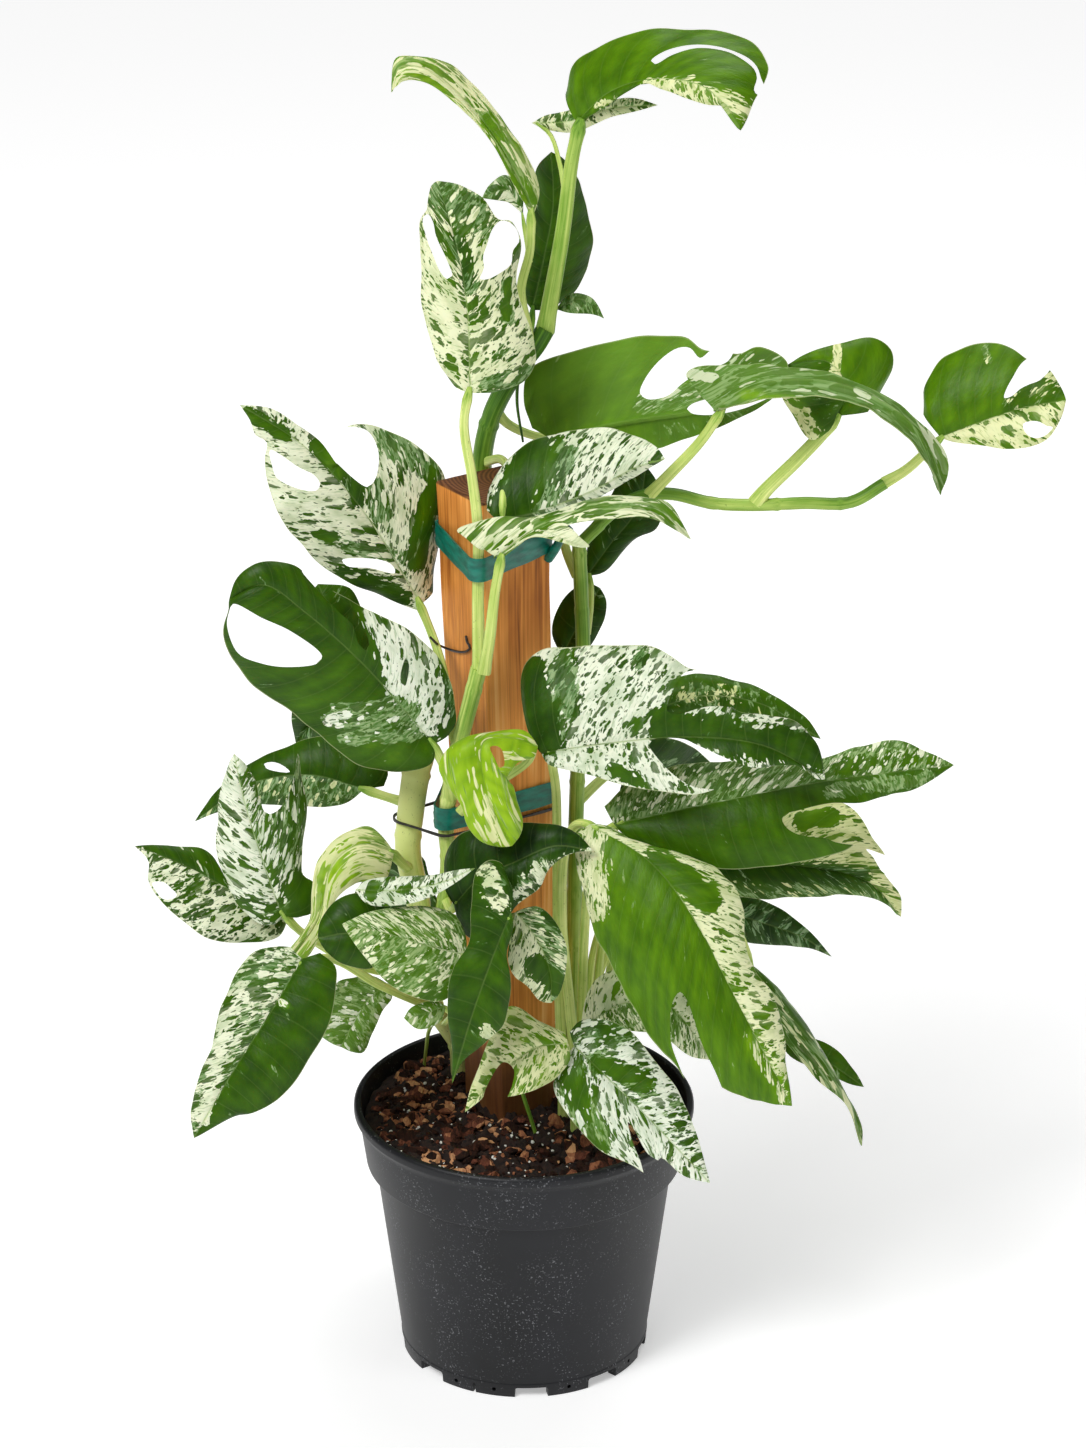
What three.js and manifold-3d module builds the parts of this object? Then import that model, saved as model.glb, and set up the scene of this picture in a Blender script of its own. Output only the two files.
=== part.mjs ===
// Potted marble flame pothos tied to a square wooden stake.
// Millimetres, +Z up, the pot's underside on z = 0 and its axis on x = y = 0.
// The photograph was taken from the -Y side: +X is its right-hand side.
import * as THREE from "three";
import { mergeVertices } from "three/addons/utils/BufferGeometryUtils.js";
import Module from "manifold-3d";

const wasm = await Module();
wasm.setup();

// Driving dimensions of the pot
const RIM_DIAMETER = 255;
const POT_HEIGHT = 204;
const FOOT_DIAMETER = 186.4;
const BAND_HEIGHT = 48;
const BAND_TOP_RADIUS = 123.5;
const BAND_FOOT_RADIUS = 118.5;
const BODY_TOP_RADIUS = 112;
const LIP_HEIGHT = 7;
const LIP_UNDERCUT = 5;
const LIP_BEVEL = 2.2;
const LIP_WIDTH = 5.2;
const LIP_FALL = 0.4;
const WALL = 2.6;
const WALL_FOOT_WALL = 1.6;
const STEP_HEIGHT = 2;
const FLOOR_THICKNESS = 3.2;
const FLOOR_BEVEL = 3;
const FOOT_RING_WIDTH = 7.5;
const FOOT_RING_DRAFT = 1;
const DRAIN_RISE = 7;
const PAD_RADIUS = 58;
const PAD_SLOPE = 4;
const NOTCH_HEIGHT = 8.4;
const NOTCH_MARGIN = 7;
const FLOOR_TOP = DRAIN_RISE + FLOOR_THICKNESS;
const POT_SIDES = 32;

// Notches in the foot ring: angle from the viewer's side towards +X, and width, in degrees
const NOTCHES = [
  [-84, 13], [-48.5, 15.3], [-23.5, 1.4], [3.5, 15.4], [39.5, 16.6], [74, 13],
  [110, 15], [146, 15], [182, 15], [218, 15], [248, 13],
];

// Potting mix, and the room that pieces leave each other
const GAP = 0.3;
const SOIL_LEVEL = 193;
const SOIL_MOUND = 6;
const SOIL_EDGE_FALL = 3;
const SOIL_LUMP = 2.6;
const SOIL_WALL_GAP = 0.7;
const SOIL_RINGS = 5;
const SOIL_SECTORS = 22;
const STALK_FOOT_Z = 178;
const STEM_FOOT_Z = 148;
const HOLE_SLACK = 1.2;
const HOLE_SIDES = 6;
const HOLE_TOP_Z = 230;

// Waves of the lumpy soil top: share of the lump height, radians per mm along x and y, phase
const SOIL_WAVES = [[1, 0.21, 0.19, 0.6], [0.8, 0.43, -0.37, 0], [0.5, 0.71, 0.59, 2]];

// Stake: a square post that tapers and leans a little
const STAKE_TOP_SIDE = 58.6;
const STAKE_SOIL_SIDE = 49.5;
const STAKE_TOP_Z = 690;
const STAKE_FOOT_Z = 22;
const STAKE_TOP_CENTRE = [-21.7, 10];
const STAKE_SOIL_CENTRE = [-9.8, 14];
const STAKE_TURN = 10.2;

// Green tie tapes round the stake, the thin wire, and the room of the stalks that they hold
const TAPE_WIDTH = 17;
const TAPE_THICKNESS = 0.9;
const UPPER_TAPE_Z = 650;
const LOWER_TAPE_Z = 453;
const WIRE_Z = 440;
const WIRE_THICKNESS = 1.6;
const TIE_LEAN = 0.35;
const TIE_SIDES = 10;
const TIED_STALK_RADIUS = 6;
const TIED_VINE_RADIUS = 7.5;
const TIED_SHEATH_RADIUS = 10.5;
const HEIGHT_STEPS = 200;

// The tape's tied end and a hanging root: seen points, and the radius at either end
const KNOT = { path: [[548, 558, -3], [555, 549, 3], [562, 537, 7], [571, 527, 6]], girth: [4, 2.4] };
const AERIAL_ROOT = {
  path: [[530, 352, -42], [520, 372, -33], [517, 400, -30], [523, 442, -30]], girth: [1.5, 0.8],
};

// Leaves and their stalks
const BLADE_THICKNESS = 0.9;
const STALK_SIDES = 5;
const STEM_SIDES = 8;
const DEFAULT_BOW = 0.05;
const LEAN = 0.3;
const SLIVER = 0.05;
const NECK_OVERLAP = 0.03;
const WIDE_HALF = 24;
const SLOT_REACH = 130;
const MM_PER_COLUMN = 0.74;

// Line of sight of the photograph, a frame of 1086 by 1448 columns and rows
const CENTRE_COLUMN = 543;
const CENTRE_ROW = 724;
const FOCAL_ROWS = 4597;
const EYE_DISTANCE = 3060;
const EYE_HEIGHT = POT_HEIGHT + 1613;
const EYE_RIGHT = 14.3;
const EYE_PITCH = THREE.MathUtils.degToRad(23.15);

const SIGHT_FORWARD = new THREE.Vector3(0, Math.cos(EYE_PITCH), -Math.sin(EYE_PITCH));
const SIGHT_UP = new THREE.Vector3(0, Math.sin(EYE_PITCH), Math.cos(EYE_PITCH));
const EYE = new THREE.Vector3(EYE_RIGHT, -EYE_DISTANCE, EYE_HEIGHT);

// A point seen at a column and row, at a depth in mm towards the viewer from the pot's axis
function place(seen) {
  const ray = SIGHT_FORWARD.clone()
    .addScaledVector(new THREE.Vector3(1, 0, 0), (seen.x - CENTRE_COLUMN) / FOCAL_ROWS)
    .addScaledVector(SIGHT_UP, (CENTRE_ROW - seen.y) / FOCAL_ROWS);
  const reach = (-seen.z - EYE.y) / ray.y;
  return EYE.clone().addScaledVector(ray, reach);
}

const seenPoint = ([column, row, depth]) => new THREE.Vector3(column, row, depth);
const smoothCurve = (points) => new THREE.CatmullRomCurve3(points, false, "centripetal");
const placeAll = (seen) => seen.map((point) => place(seenPoint(point)));

// Solids
function solidFrom(points, faces) {
  const vertProperties = new Float32Array(points.flatMap((p) => [p.x, p.y, p.z]));
  const triVerts = new Uint32Array(faces.flat());
  const mesh = new wasm.Mesh({ numProp: 3, vertProperties, triVerts });
  const solid = new wasm.Manifold(mesh);
  if (solid.volume() > 0) return solid;
  return new wasm.Manifold(new wasm.Mesh({
    numProp: 3, vertProperties, triVerts: new Uint32Array(faces.map(([a, b, c]) => [a, c, b]).flat()),
  }));
}

function solidFromGeometry(geometry) {
  geometry.deleteAttribute("normal");
  geometry.deleteAttribute("uv");
  const merged = mergeVertices(geometry, 1e-4);
  const position = merged.getAttribute("position");
  const index = merged.getIndex().array;
  const faces = [];
  for (let i = 0; i < index.length; i += 3) {
    const face = [index[i], index[i + 1], index[i + 2]];
    if (new Set(face).size === 3) faces.push(face);
  }
  const points = Array.from({ length: position.count },
    (_, i) => new THREE.Vector3().fromBufferAttribute(position, i));
  return solidFrom(points, faces);
}

function geometryFrom(solid) {
  const mesh = solid.getMesh();
  const geometry = new THREE.BufferGeometry();
  geometry.setAttribute("position", new THREE.BufferAttribute(new Float32Array(mesh.vertProperties), 3));
  geometry.setIndex(new THREE.BufferAttribute(new Uint32Array(mesh.triVerts), 1));
  geometry.computeVertexNormals();
  return geometry;
}

// A tapering round stalk along world points, one radius for each point
function tube(path, radii, sides, steps, grow = 0) {
  const curve = smoothCurve(path);
  const frames = curve.computeFrenetFrames(steps, false);
  const points = [];
  const faces = [];
  for (let i = 0; i <= steps; i++) {
    const t = i / steps;
    const centre = curve.getPointAt(t);
    const along = t * (radii.length - 1);
    const k = Math.min(Math.floor(along), radii.length - 2);
    const radius = THREE.MathUtils.lerp(radii[k], radii[k + 1], along - k) + grow;
    for (let j = 0; j < sides; j++) {
      const angle = (2 * Math.PI * j) / sides;
      points.push(centre.clone()
        .addScaledVector(frames.normals[i], radius * Math.cos(angle))
        .addScaledVector(frames.binormals[i], radius * Math.sin(angle)));
    }
  }
  for (let i = 0; i < steps; i++) {
    for (let j = 0; j < sides; j++) {
      const a = i * sides + j;
      const b = i * sides + ((j + 1) % sides);
      faces.push([a, b, b + sides], [a, b + sides, a + sides]);
    }
  }
  const last = steps * sides;
  for (let j = 1; j < sides - 1; j++) {
    faces.push([0, j + 1, j], [last, last + j, last + j + 1]);
  }
  return solidFrom(points, faces);
}

// Blades: each half is a row of veins, from a foot on the rib to a point on the margin

// One half as rows of seen points, from the rib to the margin: a wide half has a bowed middle
function halfStations(leaf, { veins, tilt }) {
  const rib = leaf.curve;
  const span = (foot, column, row) => {
    const from = rib.getPointAt(foot);
    return Math.hypot(column - from.x, row - from.y) * MM_PER_COLUMN;
  };
  const widest = Math.max(...veins.map(([foot, column, row]) => span(foot, column, row)));
  const steps = widest > WIDE_HALF ? 2 : 1;
  const stations = veins.map(([foot, column, row, lift]) => {
    const from = rib.getPointAt(foot);
    const width = span(foot, column, row);
    const lean = LEAN * (row - from.y) * MM_PER_COLUMN;
    const to = new THREE.Vector3(column, row, from.z + (lift ?? tilt * width + lean));
    const points = Array.from({ length: steps + 1 }, (_, k) => {
      const across = k / steps;
      const point = from.clone().lerp(to, across);
      point.z += leaf.bow * width * 4 * across * (1 - across);
      return point;
    });
    return { foot, points };
  });
  const gather = (foot) => {
    const point = rib.getPointAt(foot);
    return { foot, points: Array.from({ length: steps + 1 }, () => point), closed: true };
  };
  if (stations[0].foot > 0) stations.unshift(gather(0));
  stations.push(gather(1));
  return stations;
}

// Points and one-sided faces of a whole blade
function bladeSheet(leaf) {
  const halves = leaf.halves.map((half) => halfStations(leaf, half));
  const feet = [...new Set(halves.flatMap((half) => half.map((s) => s.foot)))].sort((a, b) => a - b);
  const points = feet.map((foot) => place(leaf.curve.getPointAt(foot)));
  const faces = [];
  halves.forEach((stations, side) => {
    const grid = stations.map((station) => {
      const rib = feet.indexOf(station.foot);
      if (station.closed) return station.points.map(() => rib);
      return station.points.map((point, k) => (k === 0 ? rib : points.push(place(point)) - 1));
    });
    const add = (a, b, c) => {
      if (a === b || b === c || a === c) return;
      faces.push(side === 0 ? [a, b, c] : [a, c, b]);
    };
    for (let i = 0; i < grid.length - 1; i++) {
      const here = grid[i];
      const next = grid[i + 1];
      for (let rib = here[0]; rib < next[0]; rib++) add(here[1], rib, rib + 1);
      add(here[1], next[0], next[1]);
      for (let k = 1; k < here.length - 1; k++) {
        add(here[k], next[k], next[k + 1]);
        add(here[k], next[k + 1], here[k + 1]);
      }
    }
  });
  return { points, faces };
}

// Both faces of the blade get the same triangles, and the open edges a wall
function thicken({ points, faces }, thickness) {
  const normals = points.map(() => new THREE.Vector3());
  const edges = new Map();
  for (const [a, b, c] of faces) {
    const normal = points[b].clone().sub(points[a]).cross(points[c].clone().sub(points[a]));
    [a, b, c].forEach((v) => normals[v].add(normal));
    [[a, b], [b, c], [c, a]].forEach(([p, q]) => edges.set(`${p},${q}`, [p, q]));
  }
  const count = points.length;
  const shifted = (side) => points.map((point, i) =>
    point.clone().addScaledVector(normals[i].clone().normalize(), (side * thickness) / 2));
  const all = [...shifted(1), ...shifted(-1)];
  const shell = [];
  for (const [a, b, c] of faces) shell.push([a, b, c], [a + count, c + count, b + count]);
  for (const [p, q] of edges.values()) {
    if (edges.has(`${q},${p}`)) continue;
    shell.push([p, p + count, q + count], [p, q + count, q]);
  }
  return solidFrom(all, shell);
}

// A slot or hole of a blade, cut along the line of sight through its seen outline
function slotSolid(outline, depth) {
  const count = outline.length;
  const flat = outline.map(([column, row]) => new THREE.Vector2(column, row));
  const turn = ([a, b, c]) => flat[b].clone().sub(flat[a]).cross(flat[c].clone().sub(flat[a]));
  const along = THREE.ShapeUtils.area(flat) > 0 ? 1 : -1;
  const caps = THREE.ShapeUtils.triangulateShape(flat, [])
    .map(([a, b, c]) => (turn([a, b, c]) * along > 0 ? [a, b, c] : [a, c, b]));
  const ring = (at) => flat.map(({ x, y }) => place(new THREE.Vector3(x, y, at)));
  const points = [...ring(depth + SLOT_REACH), ...ring(depth - SLOT_REACH)];
  const faces = [];
  for (const [a, b, c] of caps) faces.push([a, b, c], [a + count, c + count, b + count]);
  for (let i = 0; i < count; i++) {
    const j = (i + 1) % count;
    faces.push([j, i, i + count], [j, i + count, j + count]);
  }
  return solidFrom(points, faces);
}

// World points of a stalk, from its root to a little way along the rib
function stalkPath(leaf) {
  const path = placeAll(leaf.stalk).reverse();
  path[path.length - 1] = place(leaf.curve.getPointAt(NECK_OVERLAP));
  if (leaf.on === "soil") path.unshift(path[0].clone().setZ(STALK_FOOT_Z));
  return path;
}

function stalkSolid(leaf, grow = 0) {
  const path = stalkPath(leaf);
  return tube(path, leaf.girth, STALK_SIDES, path.length - 1, grow);
}

function leafSolid(leaf) {
  let blade = thicken(bladeSheet(leaf), BLADE_THICKNESS);
  for (const slot of leaf.slots) blade = blade.subtract(slotSolid(slot, leaf.curve.getPointAt(0.5).z));
  return blade.add(stalkSolid(leaf));
}

// A plain upright hole in the soil for a stalk or stem that rises from there
function rootHole(path, radius) {
  const foot = path[0];
  const reach = (radius + HOLE_SLACK) / Math.cos(Math.PI / HOLE_SIDES);
  const ring = (z) => Array.from({ length: HOLE_SIDES }, (_, k) => {
    const angle = (2 * Math.PI * k) / HOLE_SIDES;
    return new THREE.Vector3(foot.x + reach * Math.cos(angle), foot.y + reach * Math.sin(angle), z);
  });
  return loft([ring(foot.z - GAP), ring(HOLE_TOP_Z)]);
}

// Stems: seen points from the foot up, radius at the foot and at the top, what they stand in
const STEMS = {
  vine_front: {
    path: [[474, 1052, -64], [472, 1034, -62], [460, 1004, -56], [447, 972, -34],
      [441, 930, -4], [446, 890, 22], [448, 855, 34], [446, 825, 36], [453, 770, 40], [471, 700, 44],
      [479, 668, 45]],
    girth: [5.2, 6], foot: "soil", colour: 0x9fbf5c,
  },
  stem_main: {
    path: [[508, 1050, -66], [508, 800, -66], [500, 640, -64], [488, 520, -60], [482, 466, -56],
      [492, 415, -48], [515, 372, -42], [536, 345, -40], [546, 328, -40]],
    girth: [7.5, 7], foot: "soil", colour: 0x4d7a26,
  },
  stem_left: {
    path: [[459, 1062, -62], [457, 1044, -62], [436, 1010, -52], [422, 965, -24],
      [418, 900, 4], [408, 850, 12], [411, 810, 12], [416, 775, 8], [424, 742, 0]],
    girth: [6, 10.5], foot: "soil", colour: 0xb4c96a,
  },
  stem_right: {
    path: [[571, 1068, -45], [574, 900, -42], [578, 760, -38], [583, 660, -34], [581, 590, -30],
      [579, 545, -28]],
    girth: [6.2, 5.2], foot: "soil", colour: 0x6f9a3a,
  },
  runner: {
    path: [[578, 546, -29], [594, 530, -25], [614, 511, -22], [642, 496, -18], [672, 494, -16],
      [712, 503, -15], [754, 505, -14], [803, 503, -14], [851, 502, -15], [885, 483, -16]],
    girth: [4.6, 4.4], foot: "stem_right", colour: 0x7ea23c,
  },
};

// Leaves. rib: base to tip as [column, row, depth]. left and right, as seen from base to tip:
// veins as [foot along the rib, column, row, lift of the margin in mm if given].
// slots: seen outlines of the slots and holes. tilt: lift of the margin for each mm of width,
// left and right. stalk: base to root. girth: stalk radius at the root and at the blade.
const LEAVES = {
  leaf_crown: {
    rib: [[577, 122, -38], [608, 93, -22], [652, 79, 0], [706, 88, 22], [741, 130, 40]],
    left: [[0, 563, 94], [0.06, 570, 66], [0.16, 590, 47], [0.28, 634, 30], [0.4, 692, 25],
      [0.5, 742, 34], [0.58, 762, 47], [0.66, 770, 64], [0.74, 764, 84], [0.84, 756, 98],
      [0.93, 749, 116]],
    right: [[0.14, 594, 114], [0.36, 628, 91], [0.46, 646, 83], [0.55, 664, 90], [0.74, 705, 104],
      [0.9, 734, 110]],
    slots: [[[651, 61], [663, 52], [690, 45], [720, 47], [748, 58], [757, 67], [761, 78], [765, 90],
      [758, 95], [754, 90], [757, 78], [754, 69], [737, 56], [725, 51], [697, 48], [672, 55],
      [655, 64]]],
    tilt: [-0.35, -0.5], bow: 0.06,
    stalk: [[577, 122, -38], [572, 160, -39], [563, 230, -40], [545, 331, -40]],
    girth: [6.4, 4.6], on: "stem_main", colour: 0x4c8420,
  },
  leaf_crown_small: {
    rib: [[532, 123, -60], [570, 121, -64], [612, 108, -64], [658, 105, -62]],
    left: [[0.1, 545, 116], [0.3, 566, 111], [0.6, 604, 101], [0.82, 632, 98]],
    right: [[0.1, 545, 129], [0.35, 575, 132], [0.62, 612, 117], [0.85, 640, 110]],
    tilt: [-0.2, -0.3],
    stalk: [[532, 123, -60], [550, 134, -61], [560, 165, -56], [566, 203, -41]],
    girth: [2, 1.3], on: "leaf_crown", colour: 0x8fae4e,
  },
  leaf_curled: {
    rib: [[534, 214, -26], [508, 158, -18], [470, 106, -10], [428, 70, 0], [400, 68, 6], [391, 92, 10]],
    left: [[0.12, 520, 196], [0.32, 490, 140], [0.52, 456, 104], [0.7, 424, 82], [0.85, 399, 82]],
    right: [[0.1, 540, 186], [0.28, 522, 148], [0.48, 492, 106], [0.64, 456, 67], [0.78, 424, 56],
      [0.9, 396, 58]],
    tilt: [0.5, -0.6],
    stalk: [[534, 214, -26], [530, 250, -26], [521, 290, -28], [528, 330, -34], [530, 348, -38]],
    girth: [3.6, 3], on: "stem_main", colour: 0x9fb54a,
  },
  leaf_young_left: {
    rib: [[523, 214, -46], [507, 190, -46], [482, 198, -44]],
    left: [[0.3, 508, 202], [0.7, 496, 200]],
    right: [[0.2, 522, 192], [0.5, 506, 175], [0.8, 490, 184]],
    tilt: [-0.2, -0.2],
    stalk: [[523, 214, -46], [526, 238, -40], [530, 262, -28]],
    girth: [1.8, 1.2], on: "leaf_curled", colour: 0x7c9566,
  },
  leaf_shade: {
    rib: [[532, 310, -66], [543, 262, -66], [553, 205, -64], [551, 152, -60]],
    left: [[0.08, 524, 296], [0.3, 527, 255], [0.55, 532, 205], [0.8, 537, 168]],
    right: [[0, 552, 309], [0.1, 580, 286], [0.32, 594, 252], [0.52, 590, 214], [0.72, 578, 180],
      [0.9, 564, 159]],
    tilt: [-0.15, -0.25],
    stalk: [[532, 310, -66], [530, 336, -60], [526, 361, -45]],
    girth: [2.8, 2.2], on: "stem_main", colour: 0x356427,
  },
  leaf_young_right: {
    rib: [[556, 309, -52], [582, 299, -50], [604, 318, -46]],
    left: [[0.3, 570, 294], [0.7, 592, 298]],
    right: [[0.3, 570, 313], [0.7, 592, 314]],
    tilt: [-0.2, 0.3],
    stalk: [[556, 309, -52], [551, 318, -52], [546, 332, -47]],
    girth: [1.8, 1.3], on: "stem_main", colour: 0x9db27c,
  },
  leaf_cream_upper: {
    rib: [[470, 393, 44], [467, 306, 38], [455, 240, 30], [437, 181, 20]],
    left: [[0, 453, 386], [0.1, 444, 374], [0.22, 433, 352], [0.38, 422, 310], [0.5, 420, 262],
      [0.62, 420, 220], [0.72, 425, 210], [0.8, 427, 204], [0.92, 431, 186]],
    right: [[0, 500, 391], [0.05, 524, 384], [0.13, 538, 364], [0.26, 536, 342], [0.34, 525, 310],
      [0.42, 518, 282], [0.5, 522, 246], [0.62, 514, 222], [0.76, 499, 219], [0.86, 482, 197],
      [0.95, 460, 184]],
    slots: [
      [[423, 218], [428, 214], [433, 222], [436, 236], [446, 258], [452, 276], [447, 279], [441, 273],
        [433, 255], [426, 236]],
      [[500, 221], [492, 230], [487, 245], [483, 257], [484, 268], [480, 279], [488, 279], [500, 273],
        [511, 264], [513, 250], [519, 242], [517, 230], [509, 222]],
    ],
    tilt: [-0.12, -0.2],
    stalk: [[470, 393, 44], [464, 424, 45], [472, 477, 48], [478, 530, 49], [478, 600, 50], [479, 672, 45]],
    girth: [4.8, 3.1], on: "vine_front", colour: 0xd6e2a4,
  },
  leaf_green_underside: {
    rib: [[552, 440, -22], [612, 425, -14], [692, 413, 0], [773, 398, 16]],
    left: [[0, 532, 428], [0, 524, 402], [0.02, 529, 374], [0.1, 552, 360], [0.2, 604, 346],
      [0.3, 652, 340], [0.38, 685, 341], [0.46, 703, 354], [0.58, 735, 358], [0.72, 762, 351],
      [0.86, 788, 366]],
    right: [[0.06, 566, 452], [0.25, 610, 456], [0.5, 660, 446], [0.75, 721, 426], [0.9, 757, 409]],
    slots: [
      [[700, 358], [690, 348], [678, 348], [660, 360], [645, 379], [640, 393], [647, 399], [667, 396],
        [683, 383], [700, 372], [728, 361], [733, 350], [712, 350]],
      [[687, 409], [692, 404], [709, 398], [735, 384], [765, 370], [790, 369], [790, 382], [776, 394],
        [762, 401], [745, 408], [725, 413], [703, 415], [691, 413]],
    ],
    tilt: [-0.3, -0.3],
    stalk: [[552, 440, -22], [548, 462, -30], [554, 495, -37], [561, 530, -40], [568, 556, -38],
      [577, 576, -31]],
    girth: [3.6, 3], on: "stem_right", colour: 0x4a8421,
  },
  leaf_side_on: {
    rib: [[716, 412, 12], [775, 384, 32], [850, 390, 56], [912, 428, 74], [940, 495, 86]],
    left: [[0, 700, 396, -8], [0.02, 687, 374, -20], [0.12, 722, 366, -26], [0.28, 768, 368, -32],
      [0.45, 830, 375, -36], [0.62, 892, 401, -32], [0.78, 934, 438, -24], [0.9, 949, 466, -10]],
    right: [[0.1, 738, 405, 14], [0.3, 792, 398, 24], [0.5, 852, 404, 28], [0.7, 902, 434, 24],
      [0.88, 933, 473, 10]],
    tilt: [0, 0],
    stalk: [[716, 412, 12], [700, 442, 4], [668, 476, -6], [648, 496, -17]],
    girth: [4.4, 3.4], on: "runner", colour: 0x6e8a62,
  },
  leaf_yellow_rib: {
    rib: [[838, 416, -10], [848, 388, -14], [828, 362, -18], [789, 364, -18]],
    left: [[0, 828, 432], [0.05, 812, 440], [0.25, 792, 416], [0.5, 780, 394], [0.78, 780, 374]],
    right: [[0, 868, 412], [0.04, 884, 390], [0.14, 894, 368], [0.26, 892, 349], [0.42, 874, 337],
      [0.6, 843, 341], [0.82, 806, 354]],
    tilt: [-0.1, -0.25],
    stalk: [[838, 416, -10], [822, 434, -11], [797, 460, -13], [766, 490, -14], [755, 503, -14]],
    girth: [5.2, 4.6], on: "runner", colour: 0x6c8f35,
  },
  leaf_far_right: {
    rib: [[940, 437, -20], [985, 420, -15], [1030, 406, -10], [1066, 400, -6]],
    left: [[0, 922, 414], [0, 921, 388], [0.06, 928, 374], [0.14, 940, 357], [0.24, 957, 349],
      [0.34, 976, 342], [0.46, 994, 341], [0.58, 1012, 348], [0.66, 1028, 359], [0.82, 1050, 369],
      [0.92, 1061, 386]],
    right: [[0.05, 950, 441], [0.3, 985, 446], [0.5, 1008, 449], [0.66, 1032, 446], [0.8, 1049, 437],
      [0.92, 1061, 418]],
    slots: [
      [[1030, 358], [1021, 364], [1013, 377], [1006, 390], [1004, 398], [1012, 396], [1020, 389],
        [1030, 384], [1040, 380], [1051, 366]],
      [[1023, 424], [1025, 432], [1031, 437], [1038, 438], [1046, 435], [1053, 427], [1047, 426],
        [1040, 422], [1033, 421]],
    ],
    tilt: [-0.2, 0.25],
    stalk: [[940, 437, -20], [926, 452, -19], [906, 470, -17], [884, 483, -16]],
    girth: [4, 3], on: "runner", colour: 0x4a7f28,
  },
  leaf_over_stake_back: {
    rib: [[497, 521, 50], [540, 511, 46], [596, 489, 43], [634, 468, 43], [665, 459, 43]],
    left: [[0, 487, 510], [0.02, 489, 490], [0.08, 499, 469], [0.22, 521, 446], [0.42, 560, 430],
      [0.62, 608, 426], [0.8, 638, 436], [0.93, 657, 448]],
    right: [[0.1, 520, 525, -16], [0.35, 560, 516, -24], [0.58, 600, 498, -22], [0.8, 636, 476, -12]],
    tilt: [-0.3, 0],
    stalk: [[497, 521, 50], [503, 494, 40], [507, 470, 8], [500, 459, -26], [485, 462, -53]],
    girth: [3.4, 2.8], on: "stem_main", colour: 0x9cb678,
  },
  leaf_over_stake_front: {
    rib: [[497, 557, 64], [515, 543, 68], [545, 523, 74], [600, 506, 76], [655, 506, 74],
      [691, 539, 72]],
    left: [[0, 478, 546, 0], [0, 457, 530, -4], [0.06, 478, 521, -10], [0.16, 505, 517, -14],
      [0.27, 540, 515, -16], [0.53, 600, 496, -18], [0.7, 645, 497, -16], [0.86, 668, 503, -10]],
    right: [[0.06, 512, 549, 4], [0.14, 535, 536, 10], [0.2, 562, 541, 14],
      [0.23, 589, 547, 16], [0.28, 575, 533, 14], [0.34, 566, 526, 10], [0.55, 604, 519, 8],
      [0.78, 650, 518, 8]],
    tilt: [0, 0],
    stalk: [[497, 557, 64], [495, 592, 63], [490, 636, 62], [484, 672, 53]],
    girth: [4.6, 3.2], on: "vine_front", colour: 0xb9cc92,
  },
  leaf_left_cream: {
    rib: [[421, 604, -6], [364, 512, 2], [305, 447, 10], [240, 405, 16]],
    left: [[0, 426, 613], [0.02, 408, 607], [0.1, 372, 594], [0.18, 340, 580], [0.26, 318, 566],
      [0.36, 305, 549], [0.46, 289, 532], [0.56, 276, 508], [0.65, 267, 480], [0.72, 265, 458],
      [0.78, 267, 443], [0.84, 256, 436], [0.92, 250, 420]],
    right: [[0, 434, 592, -16], [0.04, 440, 560, -32], [0.1, 446, 520, -38], [0.18, 452, 483, -38],
      [0.27, 434, 456], [0.34, 410, 437], [0.42, 378, 425], [0.5, 347, 426], [0.62, 338, 464],
      [0.72, 320, 441],
      [0.82, 298, 425], [0.91, 270, 408]],
    slots: [
      [[270, 450], [300, 468], [314, 475], [320, 484], [317, 490], [303, 490], [277, 478], [272, 465]],
      [[342, 560], [381, 560], [393, 566], [395, 573], [370, 568], [347, 566]],
      [[336, 430], [366, 430], [378, 450], [377, 474], [372, 484], [367, 487], [341, 467], [334, 458]],
    ],
    tilt: [0.1, -0.35],
    stalk: [[421, 604, -6], [434, 640, 2], [444, 675, 20], [448, 715, 34], [456, 742, 42]],
    girth: [3.6, 3], on: "vine_front", colour: 0xc6d9a4,
  },
  leaf_left_green: {
    rib: [[434, 744, 56], [364, 665, 64], [305, 612, 72], [264, 585, 74], [229, 600, 72]],
    left: [[0, 435, 752], [0.01, 432, 762], [0.05, 415, 770], [0.12, 388, 773], [0.2, 356, 765],
      [0.28, 330, 748], [0.35, 312, 732], [0.43, 288, 714], [0.52, 262, 697], [0.62, 238, 673],
      [0.71, 225, 648], [0.8, 223, 628], [0.9, 229, 606]],
    right: [[0, 448, 735], [0.02, 456, 722], [0.1, 454, 695], [0.2, 440, 658], [0.3, 410, 630],
      [0.4, 378, 613], [0.5, 350, 599], [0.6, 318, 580], [0.7, 298, 567], [0.8, 278, 561],
      [0.88, 255, 564], [0.96, 236, 580]],
    slots: [
      [[233, 604], [262, 618], [292, 632], [322, 656], [318, 663], [285, 667], [260, 663], [238, 653],
        [227, 625], [229, 612]],
      [[302, 571], [338, 595], [352, 608], [364, 628], [369, 645], [366, 650], [359, 644], [352, 624],
        [340, 613]],
      [[406, 658], [409, 664], [408, 676], [405, 686], [401, 683], [401, 672]],
    ],
    tilt: [-0.15, -0.1],
    stalk: [[434, 744, 56], [444, 766, 53], [451, 798, 41]],
    girth: [4, 3.2], on: "vine_front", colour: 0x2f5f2c,
  },
  leaf_left_behind: {
    rib: [[364, 672, 12], [337, 628, 10], [318, 584, 6]],
    left: [[0.25, 326, 656], [0.6, 306, 626], [0.85, 308, 598]],
    right: [[0.2, 370, 640], [0.5, 364, 612], [0.8, 350, 588]],
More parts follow.
